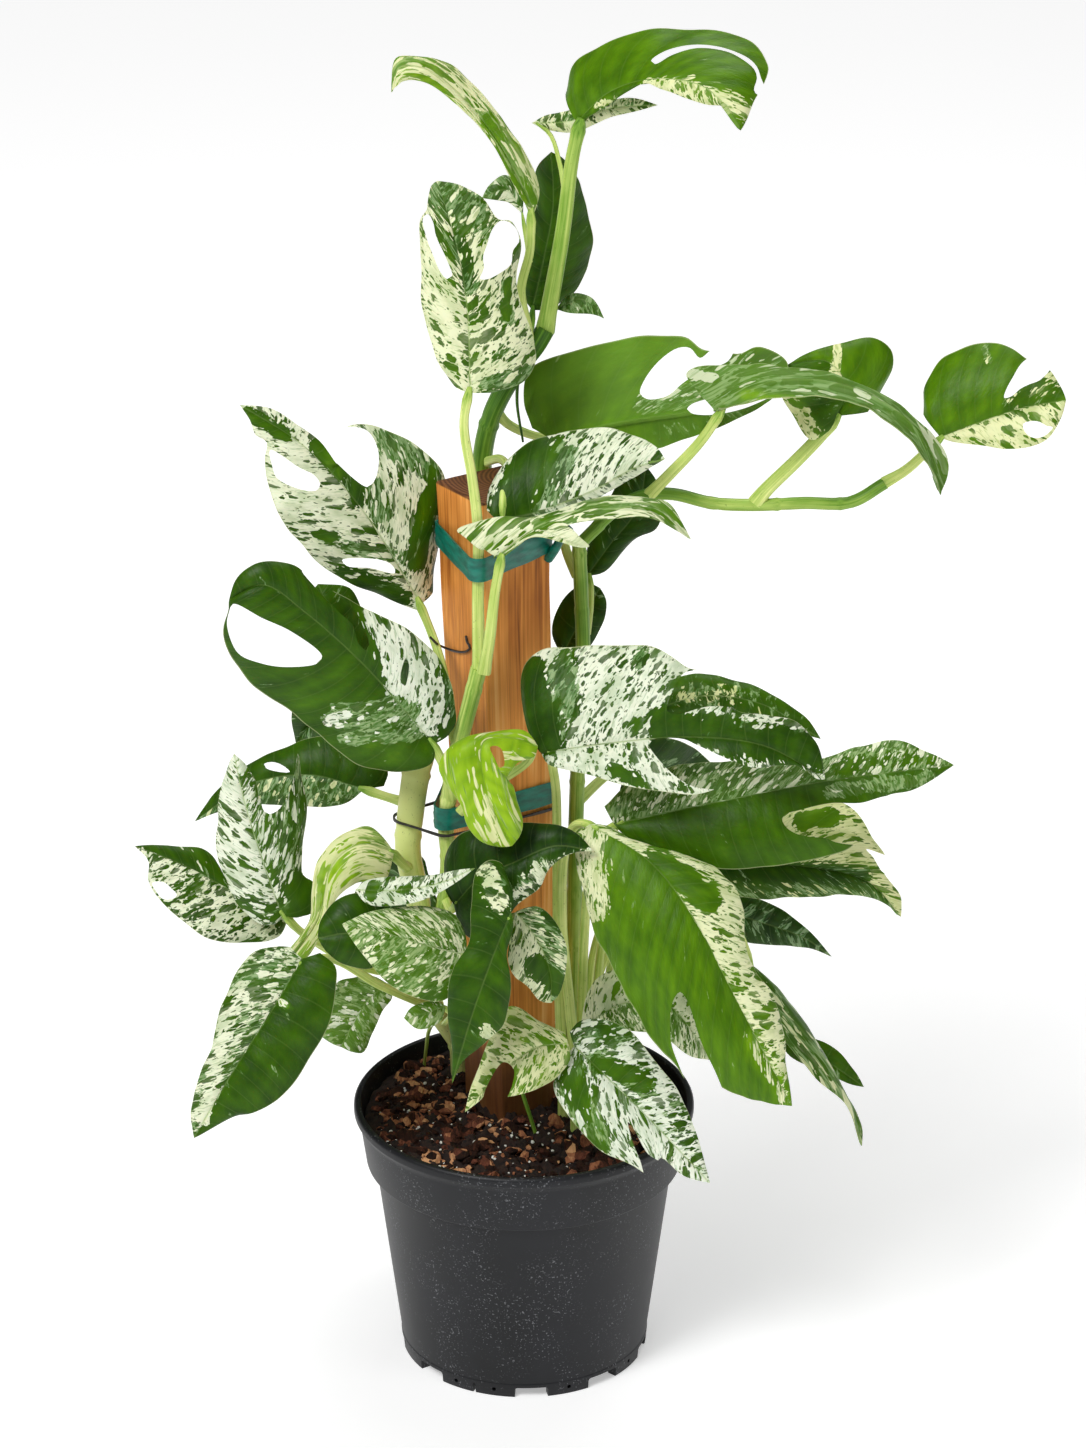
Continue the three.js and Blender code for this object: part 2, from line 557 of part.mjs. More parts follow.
    tilt: [-0.2, -0.2],
    stalk: [[364, 672, 12], [392, 715, 4], [414, 748, -2], [421, 752, 0]],
    girth: [2.6, 2], on: "stem_left", colour: 0x3a4f26,
  },
  leaf_left_low_behind: {
    rib: [[364, 789, -14], [310, 775, -22], [250, 784, -30], [195, 821, -38]],
    left: [[0.12, 348, 802], [0.32, 312, 808], [0.5, 276, 806], [0.68, 244, 806], [0.85, 215, 813]],
    right: [[0, 384, 786], [0, 388, 771], [0.1, 366, 752], [0.24, 332, 736], [0.4, 300, 740],
      [0.56, 270, 752], [0.75, 238, 770], [0.9, 212, 797]],
    slots: [[[264, 764], [272, 762], [282, 765], [290, 772], [280, 772], [266, 768]]],
    tilt: [-0.15, -0.25],
    stalk: [[364, 789, -14], [384, 796, -8], [404, 802, 6]],
    girth: [3.6, 3], on: "stem_left", colour: 0x47613c,
  },
  leaf_left_upright: {
    rib: [[282, 915, 66], [262, 858, 74], [244, 800, 76], [234, 754, 74]],
    left: [[0, 275, 925], [0.02, 264, 927], [0.08, 243, 913], [0.2, 228, 889], [0.36, 217, 855],
      [0.55, 217, 820], [0.75, 220, 790], [0.9, 228, 765]],
    right: [[0, 300, 918], [0.01, 312, 914], [0.03, 319, 900], [0.06, 316, 884], [0.12, 305, 876],
      [0.2, 304, 852], [0.28, 307, 822], [0.35, 308, 797], [0.42, 304, 775], [0.48, 298, 751],
      [0.66, 262, 800], [0.8, 256, 782], [0.92, 245, 764]],
    slots: [[[240, 745], [250, 769], [257, 784], [260, 797], [264, 811], [269, 814], [277, 811],
      [285, 801], [291, 788], [296, 764], [296, 745]]],
    tilt: [-0.2, -0.15],
    stalk: [[282, 915, 66], [304, 934, 58], [350, 953, 32], [420, 950, -16]],
    girth: [3.6, 2.8], on: "stem_left", colour: 0xa9c58c,
  },
  leaf_left_far: {
    rib: [[288, 919, 42], [236, 893, 48], [186, 866, 50], [135, 846, 50]],
    left: [[0.05, 280, 936], [0.2, 244, 944], [0.38, 211, 940], [0.56, 185, 923], [0.72, 162, 902],
      [0.84, 148, 880], [0.92, 148, 860]],
    right: [[0.1, 270, 896], [0.3, 226, 884], [0.45, 216, 858], [0.55, 202, 849], [0.7, 176, 846],
      [0.88, 152, 845]],
    slots: [[[152, 883], [163, 882], [172, 889], [177, 895], [172, 899], [163, 899], [156, 891]]],
    tilt: [0.15, -0.25],
    stalk: [[288, 919, 42], [312, 940, 36], [366, 968, 6], [425, 975, -29]],
    girth: [3.4, 2.6], on: "stem_left", colour: 0xa3bf83,
  },
  leaf_left_low: {
    rib: [[302, 959, 100], [272, 1010, 112], [234, 1070, 124], [194, 1138, 130]],
    left: [[0, 320, 953], [0.02, 335, 966], [0.12, 336, 986], [0.28, 329, 1024], [0.42, 311, 1057],
      [0.58, 288, 1091], [0.72, 264, 1110], [0.87, 235, 1117]],
    right: [[0, 290, 947], [0.02, 276, 946], [0.1, 252, 953], [0.28, 223, 999], [0.5, 211, 1043],
      [0.7, 197, 1081], [0.88, 191, 1110]],
    tilt: [0.1, -0.2],
    stalk: [[302, 959, 100], [326, 958, 90], [380, 985, 38], [435, 1008, -51]],
    girth: [3.8, 3], on: "stem_left", colour: 0x5d8a4c,
  },
  leaf_pale_curled: {
    rib: [[394, 852, 50], [360, 844, 62], [332, 866, 70], [318, 920, 72], [286, 966, 68]],
    left: [[0.08, 388, 878, 8], [0.25, 356, 884, 12], [0.42, 337, 898, 8], [0.62, 326, 926, 5],
      [0.85, 302, 962, 3]],
    right: [[0.08, 372, 826, -6], [0.22, 346, 832, -8], [0.4, 318, 860, -6], [0.64, 308, 922, -4],
      [0.85, 288, 952, -3]],
    tilt: [0, 0],
    stalk: [[394, 852, 50], [402, 863, 36], [408, 868, 15]],
    girth: [4.2, 3.4], on: "stem_left", colour: 0xc3c878,
  },
  leaf_cream_low: {
    rib: [[465, 955, 116], [422, 944, 124], [382, 932, 126], [342, 924, 124]],
    left: [[0.03, 462, 978], [0.15, 443, 1002], [0.36, 408, 996], [0.6, 382, 978], [0.82, 358, 948]],
    right: [[0.02, 466, 936], [0.08, 453, 912], [0.3, 408, 905], [0.55, 379, 909], [0.8, 357, 917]],
    tilt: [0.05, -0.15],
    stalk: [[465, 955, 116], [477, 966, 102], [478, 980, 72], [456, 990, 30], [449, 980, -37]],
    girth: [3.6, 2.8], on: "vine_front", colour: 0xc3d59b,
  },
  leaf_round_dark: {
    rib: [[384, 955, 96], [352, 934, 100], [318, 938, 100]],
    left: [[0.2, 372, 968], [0.55, 346, 966], [0.85, 326, 952]],
    right: [[0.1, 382, 922], [0.35, 362, 894], [0.65, 334, 901], [0.88, 320, 920]],
    tilt: [-0.1, -0.15],
    stalk: [[384, 955, 96], [400, 957, 80], [413, 946, 46], [418, 930, -8]],
    girth: [2.8, 2.2], on: "stem_left", colour: 0x2d5a33,
  },
  leaf_narrow_marbled: {
    rib: [[355, 890, 104], [400, 890, 109], [440, 883, 111], [475, 868, 110]],
    left: [[0.1, 366, 881], [0.35, 398, 876], [0.65, 433, 875], [0.86, 458, 870]],
    right: [[0.1, 368, 904], [0.35, 400, 905], [0.6, 428, 898], [0.86, 458, 881]],
    tilt: [-0.3, 0.2],
    stalk: [[355, 890, 104], [368, 888, 88], [388, 890, 56], [413, 892, 12]],
    girth: [3, 2.4], on: "stem_left", colour: 0xd3dfc0,
  },
  leaf_long_dark: {
    rib: [[511, 912, 134], [491, 962, 144], [470, 1022, 152], [452, 1084, 154]],
    left: [[0.04, 513, 926], [0.18, 507, 955], [0.38, 511, 988], [0.56, 504, 1024], [0.76, 482, 1047],
      [0.9, 462, 1062]],
    right: [[0, 513, 886], [0, 503, 862], [0, 488, 859], [0.04, 475, 872], [0.12, 471, 906],
      [0.28, 468, 944], [0.42, 453, 969], [0.6, 446, 999], [0.84, 452, 1052]],
    tilt: [-0.15, -0.15],
    stalk: [[511, 912, 134], [501, 930, 122], [490, 948, 96], [466, 954, 52], [443, 945, -13]],
    girth: [3.6, 2.8], on: "vine_front", colour: 0x2f5a1e,
  },
  leaf_marbled_low: {
    rib: [[516, 912, 104], [537, 940, 108], [550, 972, 108], [551, 1003, 106]],
    left: [[0.03, 536, 906], [0.2, 555, 921], [0.4, 566, 944], [0.65, 566, 970], [0.88, 560, 993]],
    right: [[0, 510, 930], [0.25, 508, 960], [0.5, 516, 978], [0.7, 530, 990], [0.9, 540, 1001]],
    tilt: [-0.15, 0],
    stalk: [[516, 912, 104], [505, 920, 90], [484, 924, 60], [460, 920, 36], [441, 914, 5]],
    girth: [3.2, 2.6], on: "vine_front", colour: 0x87a36a,
  },
  leaf_dark_drape: {
    rib: [[454, 905, 86], [480, 878, 92], [515, 862, 97], [555, 846, 99], [593, 851, 99]],
    left: [[0, 443, 884], [0.03, 443, 857], [0.16, 456, 837], [0.38, 490, 825], [0.6, 526, 822],
      [0.78, 555, 824], [0.91, 576, 833]],
    right: [[0.06, 462, 930], [0.22, 482, 944], [0.38, 504, 930], [0.5, 513, 911], [0.64, 540, 889],
      [0.78, 551, 867], [0.92, 576, 852]],
    tilt: [-0.25, -0.1],
    stalk: [[454, 905, 86], [451, 910, 60], [446, 899, 18]],
    girth: [3.4, 2.8], on: "vine_front", colour: 0x22491a,
  },
  leaf_over_soil: {
    rib: [[568, 1043, 98], [535, 1048, 110], [500, 1074, 122], [465, 1112, 128]],
    left: [[0.04, 571, 1060], [0.16, 556, 1080], [0.38, 525, 1093], [0.56, 507, 1097], [0.64, 492, 1090],
      [0.84, 478, 1102]],
    right: [[0, 564, 1032], [0.08, 538, 1017], [0.28, 510, 1005], [0.45, 497, 1022], [0.62, 486, 1048],
      [0.84, 471, 1086]],
    slots: [[[484, 1100], [490, 1080], [504, 1062], [514, 1070], [503, 1102]]],
    tilt: [0, -0.2],
    stalk: [[568, 1043, 98], [564, 1055, 84], [568, 1074, 56], [574, 1092, 36]],
    girth: [3.2, 2.6], on: "soil", colour: 0xc0cc84,
  },
  leaf_over_rim: {
    rib: [[574, 1046, 90], [612, 1082, 104], [656, 1126, 122], [710, 1183, 142]],
    left: [[0, 570, 1032], [0, 580, 1021], [0.07, 604, 1019], [0.2, 629, 1030], [0.38, 657, 1062],
      [0.56, 679, 1091], [0.75, 693, 1123], [0.9, 704, 1160]],
    right: [[0.02, 562, 1064], [0.06, 554, 1087], [0.18, 568, 1116], [0.3, 596, 1148], [0.41, 629, 1166],
      [0.5, 652, 1179], [0.72, 660, 1158], [0.86, 684, 1176]],
    slots: [[[628, 1122], [635, 1131], [641, 1143], [648, 1154], [664, 1166], [660, 1184], [648, 1182],
      [640, 1160], [632, 1140]]],
    tilt: [-0.15, 0.05],
    stalk: [[574, 1046, 90], [586, 1052, 80], [596, 1076, 62], [597, 1102, 50]],
    girth: [3.2, 2.6], on: "soil", colour: 0xa7c9a0,
  },
  leaf_front_right: {
    rib: [[590, 824, 80], [650, 862, 100], [692, 916, 122], [736, 1000, 144], [792, 1106, 162]],
    left: [[0.02, 610, 826], [0.07, 642, 844], [0.15, 692, 856], [0.25, 721, 870], [0.35, 736, 888],
      [0.44, 746, 918], [0.52, 746, 946], [0.62, 757, 970], [0.72, 775, 996], [0.82, 784, 1024],
      [0.92, 787, 1060]],
    right: [[0, 573, 836], [0.03, 578, 880], [0.09, 587, 920], [0.18, 603, 958], [0.27, 620, 990],
      [0.36, 642, 1033], [0.45, 664, 1060], [0.54, 687, 1086], [0.7, 723, 1092], [0.82, 750, 1102],
      [0.92, 772, 1104]],
    slots: [[[680, 992], [675, 997], [671, 1010], [670, 1030], [672, 1046], [678, 1063], [686, 1082],
      [700, 1112], [726, 1104], [723, 1091], [714, 1069], [706, 1053], [699, 1036], [692, 1013],
      [685, 997]]],
    tilt: [-0.25, -0.15], bow: 0.06,
    stalk: [[590, 824, 80], [578, 824, 68], [565, 850, 50], [562, 920, 36], [570, 1010, 24],
      [578, 1092, 20]],
    girth: [4.4, 3.4], on: "soil", colour: 0x5c9120,
  },
  leaf_right_long: {
    rib: [[614, 824, 56], [713, 803, 62], [833, 780, 56], [954, 765, 44]],
    left: [[0, 604, 806], [0.08, 640, 776], [0.25, 700, 762], [0.45, 780, 760], [0.6, 823, 757],
      [0.72, 858, 746], [0.84, 896, 740], [0.93, 928, 752]],
    right: [[0.02, 626, 836], [0.1, 661, 852], [0.22, 695, 864], [0.34, 730, 870], [0.48, 782, 866],
      [0.6, 833, 856], [0.68, 858, 843], [0.8, 880, 800], [0.92, 915, 789]],
    slots: [[[782, 819], [786, 814], [800, 810], [815, 806], [832, 803], [860, 803], [890, 797],
      [890, 815], [868, 846], [857, 845], [845, 844], [835, 842], [825, 838], [812, 837], [797, 834],
      [787, 828]]],
    tilt: [-0.3, 0.1],
    stalk: [[614, 824, 56], [601, 836, 46], [590, 870, 32], [584, 940, 18], [582, 1020, 6],
      [583, 1086, 0]],
    girth: [4.2, 3.2], on: "soil", colour: 0x3d7426,
  },
  leaf_right_marbled: {
    rib: [[541, 753, 72], [612, 743, 88], [690, 737, 100], [765, 746, 108], [825, 779, 108]],
    left: [[0, 530, 736], [0, 520, 712], [0.01, 517, 686], [0.04, 523, 662], [0.09, 540, 648],
      [0.18, 570, 645], [0.3, 620, 644], [0.4, 648, 644], [0.48, 672, 656], [0.54, 690, 667],
      [0.6, 724, 672], [0.7, 735, 707], [0.8, 768, 714], [0.88, 799, 722], [0.95, 818, 742]],
    right: [[0.05, 548, 764], [0.14, 568, 770], [0.26, 594, 776], [0.36, 622, 785], [0.48, 665, 792],
      [0.56, 692, 795], [0.64, 720, 788], [0.78, 762, 769], [0.88, 798, 766], [0.96, 818, 779]],
    slots: [
      [[727, 671], [690, 671], [683, 674], [673, 690], [668, 703], [667, 711], [672, 714], [684, 713],
        [700, 708], [715, 706], [740, 706], [755, 690]],
      [[649, 745], [652, 740], [683, 739], [697, 745], [735, 762], [755, 768], [772, 768], [760, 790],
        [724, 790], [700, 788], [690, 785], [675, 776], [655, 755]],
    ],
    tilt: [-0.2, 0.1],
    stalk: [[541, 753, 72], [552, 764, 56], [556, 790, 40], [557, 860, 26], [558, 960, 18],
      [563, 1092, 12]],
    girth: [4.2, 3.2], on: "soil", colour: 0x9cbc96,
  },
  leaf_lime_twisted: {
    rib: [[538, 746, 86], [512, 738, 92], [484, 742, 98], [486, 790, 108], [497, 817, 112],
      [512, 846, 110]],
    left: [[0.06, 534, 757, 6], [0.12, 518, 763, 8], [0.18, 495, 797, 12], [0.3, 500, 780, 4],
      [0.46, 512, 782, 2], [0.6, 519, 800, 0], [0.74, 524, 818, 0], [0.88, 521, 834, 0]],
    right: [[0.1, 525, 731], [0.24, 492, 732], [0.32, 465, 737], [0.38, 444, 752], [0.44, 437, 768],
      [0.52, 446, 788], [0.64, 460, 808], [0.76, 466, 827], [0.88, 480, 842], [0.96, 498, 847]],
    slots: [[[490, 747], [497, 746], [502, 750], [504, 766], [500, 768], [495, 759]]],
    tilt: [0, -0.3], bow: 0.1,
    stalk: [[538, 746, 86], [529, 760, 72], [508, 776, 58], [480, 792, 52], [460, 812, 45]],
    girth: [3.4, 2.8], on: "vine_front", colour: 0x9cc43a,
  },
  leaf_olive: {
    rib: [[650, 712, 12], [700, 696, 10], [762, 704, 8], [821, 739, 4]],
    left: [[0.12, 668, 682], [0.32, 692, 673], [0.55, 732, 678], [0.76, 778, 698], [0.9, 806, 718]],
    right: [[0.2, 682, 718], [0.5, 732, 722], [0.8, 786, 730]],
    tilt: [-0.25, -0.2],
    stalk: [[650, 712, 12], [628, 720, -2], [604, 738, -18], [580, 764, -35]],
    girth: [3.2, 2.6], on: "stem_right", colour: 0x6b7a2c,
  },
  leaf_yellow_behind: {
    rib: [[640, 850, 22], [720, 864, 14], [800, 866, 8], [868, 882, 0], [901, 917, -6]],
    left: [[0.08, 664, 830], [0.26, 728, 808], [0.45, 790, 798], [0.56, 850, 804], [0.64, 874, 838],
      [0.7, 888, 858], [0.8, 884, 872], [0.9, 901, 896]],
    right: [[0.15, 690, 884], [0.34, 748, 898], [0.54, 815, 897], [0.74, 860, 896], [0.9, 886, 904]],
    slots: [[[893, 860], [879, 853], [866, 849], [873, 857], [884, 873], [893, 872]]],
    tilt: [-0.25, -0.15],
    stalk: [[640, 850, 22], [618, 872, 12], [602, 940, 0], [596, 1020, -8], [597, 1082, -12]],
    girth: [3.6, 2.8], on: "soil", colour: 0xb4bb5e,
  },
  leaf_right_low_grey: {
    rib: [[700, 905, -10], [760, 922, -16], [804, 938, -22], [832, 957, -26]],
    left: [[0.18, 736, 894], [0.5, 776, 906], [0.76, 808, 930]],
    right: [[0.18, 722, 932], [0.42, 758, 945], [0.66, 790, 946], [0.85, 813, 949]],
    tilt: [-0.2, -0.2],
    stalk: [[700, 905, -10], [664, 905, -16], [622, 930, -22], [592, 1000, -28], [580, 1076, -28]],
    girth: [3.2, 2.4], on: "soil", colour: 0x5a6d4c,
  },
  leaf_droop_long: {
    rib: [[748, 962, 52], [786, 1012, 62], [826, 1060, 68], [852, 1106, 70], [862, 1146, 68]],
    left: [[0.08, 766, 976, -8], [0.25, 789, 1000, -14], [0.45, 812, 1033, -14], [0.7, 839, 1081, -10],
      [0.88, 862, 1127, -5]],
    right: [[0.12, 757, 992, 8], [0.35, 786, 1040, 14], [0.62, 819, 1081, 12], [0.8, 847, 1106, 6]],
    tilt: [0, 0],
    stalk: [[748, 962, 52], [736, 930, 50], [694, 905, 42], [648, 910, 32], [616, 950, 22],
      [604, 1020, 12], [601, 1088, 8]],
    girth: [3.4, 2.6], on: "soil", colour: 0x8a9c66,
  },
  leaf_droop_short: {
    rib: [[775, 1030, 26], [816, 1054, 32], [864, 1087, 34]],
    left: [[0.3, 800, 1034], [0.6, 834, 1048], [0.85, 854, 1070]],
    right: [[0.3, 790, 1056], [0.6, 824, 1072], [0.85, 850, 1084]],
    tilt: [-0.4, 0.3],
    stalk: [[775, 1030, 26], [738, 1004, 20], [690, 990, 12], [645, 1000, 4], [620, 1040, -2],
      [615, 1085, -5]],
    girth: [3, 2.4], on: "soil", colour: 0x5f7f3c,
  },
  leaf_pale_behind: {
    rib: [[580, 1030, 36], [622, 1004, 42], [666, 1004, 46], [712, 1060, 48]],
    left: [[0.18, 592, 982], [0.4, 632, 966], [0.62, 674, 980], [0.84, 704, 1014]],
    right: [[0.15, 596, 1036], [0.35, 630, 1032], [0.6, 662, 1036], [0.82, 690, 1056]],
    tilt: [-0.1, 0.1],
    stalk: [[580, 1030, 36], [583, 1048, 34], [590, 1068, 30], [592, 1090, 28]],
    girth: [3.2, 2.6], on: "soil", colour: 0xb5c79b,
  },
  leaf_grey_back_top: {
    rib: [[587, 576, -52], [610, 545, -56], [638, 508, -62], [646, 466, -66]],
    left: [[0.1, 586, 552], [0.34, 596, 520], [0.62, 612, 494], [0.86, 628, 466]],
    right: [[0.06, 604, 572], [0.3, 634, 542], [0.5, 656, 528], [0.72, 664, 504], [0.9, 656, 480]],
    tilt: [-0.15, -0.2],
    stalk: [[587, 576, -52], [590, 604, -48], [586, 634, -38]],
    girth: [3.2, 2.6], on: "stem_right", colour: 0x4d5f3c,
  },
  leaf_grey_back_low: {
    rib: [[562, 656, -52], [580, 622, -56], [600, 588, -60]],
    left: [[0.2, 552, 634], [0.6, 562, 600], [0.9, 586, 583]],
    right: [[0.2, 586, 650], [0.6, 602, 626], [0.9, 606, 600]],
    tilt: [-0.1, -0.15],
    stalk: [[562, 656, -52], [566, 680, -48], [576, 704, -41]],
    girth: [2.8, 2.2], on: "stem_right", colour: 0x4a5c38,
  },
  leaf_grey_green_low: {
    rib: [[388, 984, -14], [368, 1000, -18], [352, 1026, -22], [341, 1047, -24]],
    left: [[0.15, 392, 998], [0.4, 382, 1012], [0.7, 372, 1034], [0.95, 361, 1054]],
    right: [[0.1, 372, 976], [0.3, 352, 978], [0.5, 335, 984], [0.7, 331, 1010],
      [0.95, 321, 1037]],
    tilt: [0, -0.15],
    stalk: [[388, 984, -14], [404, 986, -20], [429, 989, -40]],
    girth: [2.8, 2.2], on: "stem_left", colour: 0x8aa06a,
  },
  leaf_small_low: {
    rib: [[446, 1006, 84], [426, 1013, 88], [404, 1018, 90]],
    left: [[0.25, 440, 1022], [0.7, 418, 1029]],
    right: [[0.25, 434, 1001], [0.7, 412, 1007]],
    tilt: [-0.1, -0.15],
    stalk: [[446, 1006, 84], [450, 1014, 64], [446, 1022, 10], [444, 1024, -56]],
    girth: [2.4, 1.8], on: "stem_left", colour: 0x86a35c,
  },
  leaf_back_right: {
    rib: [[628, 770, -96], [668, 790, -140], [716, 838, -176], [752, 900, -196]],
    left: [[0.02, 640, 742], [0.14, 676, 740], [0.36, 712, 764], [0.6, 744, 812], [0.84, 764, 868]],
    right: [[0.04, 620, 794], [0.18, 626, 836], [0.4, 656, 866], [0.64, 698, 884], [0.86, 734, 902]],
    tilt: [0.2, 0.2],
    stalk: [[628, 770, -96], [612, 772, -76], [579, 800, -41]],
    girth: [4, 3.2], on: "stem_right", colour: 0x3f6f2a,
  },
  leaf_back_right_low: {
    rib: [[618, 900, -104], [662, 912, -146], [706, 950, -176]],
    left: [[0.04, 628, 876], [0.3, 668, 880], [0.7, 706, 916]],
    right: [[0.04, 612, 922], [0.3, 636, 950], [0.7, 684, 966]],
    tilt: [0.2, 0.25],
    stalk: [[618, 900, -104], [606, 915, -80], [592, 960, -60], [588, 1050, -52]],
    girth: [3.6, 2.8], on: "soil", colour: 0x6f9050,
  },
  leaf_back_left: {
    rib: [[420, 660, -92], [380, 668, -136], [330, 700, -176], [296, 744, -200]],
    left: [[0.05, 424, 690], [0.25, 404, 722], [0.55, 362, 744], [0.82, 322, 752]],
    right: [[0.04, 404, 636], [0.22, 362, 634], [0.5, 316, 666], [0.8, 292, 712]],
    tilt: [0.15, 0.2],
    stalk: [[420, 660, -92], [448, 668, -86], [480, 692, -74], [494, 712, -66]],
    girth: [4, 3.2], on: "stem_main", colour: 0x5d8844,
  },
  leaf_back_left_low: {
    rib: [[430, 880, -88], [398, 896, -130], [360, 930, -164]],
    left: [[0.05, 436, 908], [0.3, 418, 936], [0.7, 378, 952]],
    right: [[0.05, 420, 856], [0.3, 382, 866], [0.7, 352, 900]],
    tilt: [0.2, 0.2],
    stalk: [[430, 880, -88], [452, 888, -80], [478, 912, -72], [499, 936, -68]],
    girth: [3.6, 2.8], on: "stem_main", colour: 0x4c7838,
  },
  leaf_back_middle: {
    rib: [[502, 590, -98], [500, 640, -144], [496, 710, -180], [492, 790, -198]],
    left: [[0.03, 530, 588], [0.16, 544, 614], [0.4, 542, 676], [0.7, 520, 740]],
    right: [[0.03, 474, 594], [0.16, 456, 622], [0.4, 452, 684], [0.7, 470, 748]],
    tilt: [0.2, 0.2],
    stalk: [[502, 590, -98], [503, 580, -84], [498, 592, -66]],
    girth: [4.2, 3.4], on: "stem_main", colour: 0x84a266,
  },
  leaf_back_top: {
    rib: [[560, 438, -84], [588, 426, -124], [620, 428, -156], [652, 440, -176]],
    left: [[0.05, 562, 414], [0.3, 592, 398], [0.6, 622, 402], [0.85, 642, 420]],
    right: [[0.05, 566, 456], [0.3, 592, 462], [0.6, 624, 456], [0.85, 644, 450]],
    tilt: [0.2, 0.2],
    stalk: [[560, 438, -84], [536, 436, -70], [508, 424, -52], [497, 412, -45]],
    girth: [3.6, 2.8], on: "stem_main", colour: 0x7f9c58,
  },
};

// The stake's four corners at a height, the first one nearest the viewer
function stakeCorners(z, grow = 0) {
  const t = (z - SOIL_LEVEL) / (STAKE_TOP_Z - SOIL_LEVEL);
  const side = THREE.MathUtils.lerp(STAKE_SOIL_SIDE, STAKE_TOP_SIDE, t);
  const cx = THREE.MathUtils.lerp(STAKE_SOIL_CENTRE[0], STAKE_TOP_CENTRE[0], t);
  const cy = THREE.MathUtils.lerp(STAKE_SOIL_CENTRE[1], STAKE_TOP_CENTRE[1], t);
  const reach = side / Math.SQRT2 + grow * Math.SQRT2;
  const turn = THREE.MathUtils.degToRad(STAKE_TURN);
  return [0, 1, 2, 3].map((k) => {
    const angle = -Math.PI / 2 - turn + (k * Math.PI) / 2;
    return new THREE.Vector3(cx + reach * Math.cos(angle), cy + reach * Math.sin(angle), z);
  });
}

// A prism between rings of equal length, closed at both ends
function loft(rings) {
  const sides = rings[0].length;
  const points = rings.flat();
  const faces = [];
  for (let i = 0; i < rings.length - 1; i++) {
    for (let j = 0; j < sides; j++) {
      const a = i * sides + j;
      const b = i * sides + ((j + 1) % sides);
      faces.push([a, b, b + sides], [a, b + sides, a + sides]);
    }
  }
  const last = (rings.length - 1) * sides;
  for (let j = 1; j < sides - 1; j++) faces.push([0, j + 1, j], [last, last + j, last + j + 1]);
  return solidFrom(points, faces);
}

const stakeSolid = (grow = 0) =>
  loft([stakeCorners(STAKE_FOOT_Z - grow, grow), stakeCorners(STAKE_TOP_Z + grow, grow)]);

// Pot: turned wall and floor with a lip, a rim band and notched feet
function potSolid() {
  const lip = RIM_DIAMETER / 2;
  const lipFoot = POT_HEIGHT - LIP_HEIGHT;
  const foot = FOOT_DIAMETER / 2;
  const ringInside = foot - FOOT_RING_WIDTH;
  const bandFoot = POT_HEIGHT - BAND_HEIGHT;
  const outside = [
    [0, 0], [PAD_RADIUS, 0], [PAD_RADIUS + PAD_SLOPE, DRAIN_RISE],
    [ringInside - FOOT_RING_DRAFT, DRAIN_RISE], [ringInside, 0], [foot, 0],
    [BODY_TOP_RADIUS, bandFoot], [BAND_FOOT_RADIUS, bandFoot],
    [BAND_TOP_RADIUS, lipFoot - LIP_UNDERCUT], [lip, lipFoot], [lip, POT_HEIGHT - LIP_BEVEL],
    [lip - LIP_BEVEL, POT_HEIGHT],
  ];
  const inside = [
    [lip - LIP_WIDTH, POT_HEIGHT - LIP_FALL], [BAND_TOP_RADIUS - WALL, lipFoot],
    [BAND_FOOT_RADIUS - WALL, bandFoot + STEP_HEIGHT], [BODY_TOP_RADIUS - WALL, bandFoot - STEP_HEIGHT],
    [foot - WALL_FOOT_WALL, FLOOR_TOP + FLOOR_BEVEL], [foot - WALL_FOOT_WALL - FLOOR_BEVEL, FLOOR_TOP],
    [PAD_RADIUS + PAD_SLOPE, FLOOR_TOP], [PAD_RADIUS, FLOOR_THICKNESS], [0, FLOOR_THICKNESS],
  ];
  const profile = [...outside, ...inside].map(([r, z]) => new THREE.Vector2(r, z));
  const turned = new THREE.LatheGeometry(profile, POT_SIDES);
  turned.rotateX(Math.PI / 2);
  let pot = solidFromGeometry(turned);
  for (const [angle, width] of NOTCHES) {
    const ring = (radius, z) => [-0.5, 0.5].map((k) => {
      const a = THREE.MathUtils.degToRad(angle + k * width);
      return new THREE.Vector3(radius * Math.sin(a), -radius * Math.cos(a), z);
    });
    const block = (z) => [...ring(ringInside - NOTCH_MARGIN, z), ...ring(foot + NOTCH_MARGIN, z).reverse()];
    pot = pot.subtract(loft([block(-NOTCH_MARGIN), block(NOTCH_HEIGHT)]));
  }
  return pot;
}

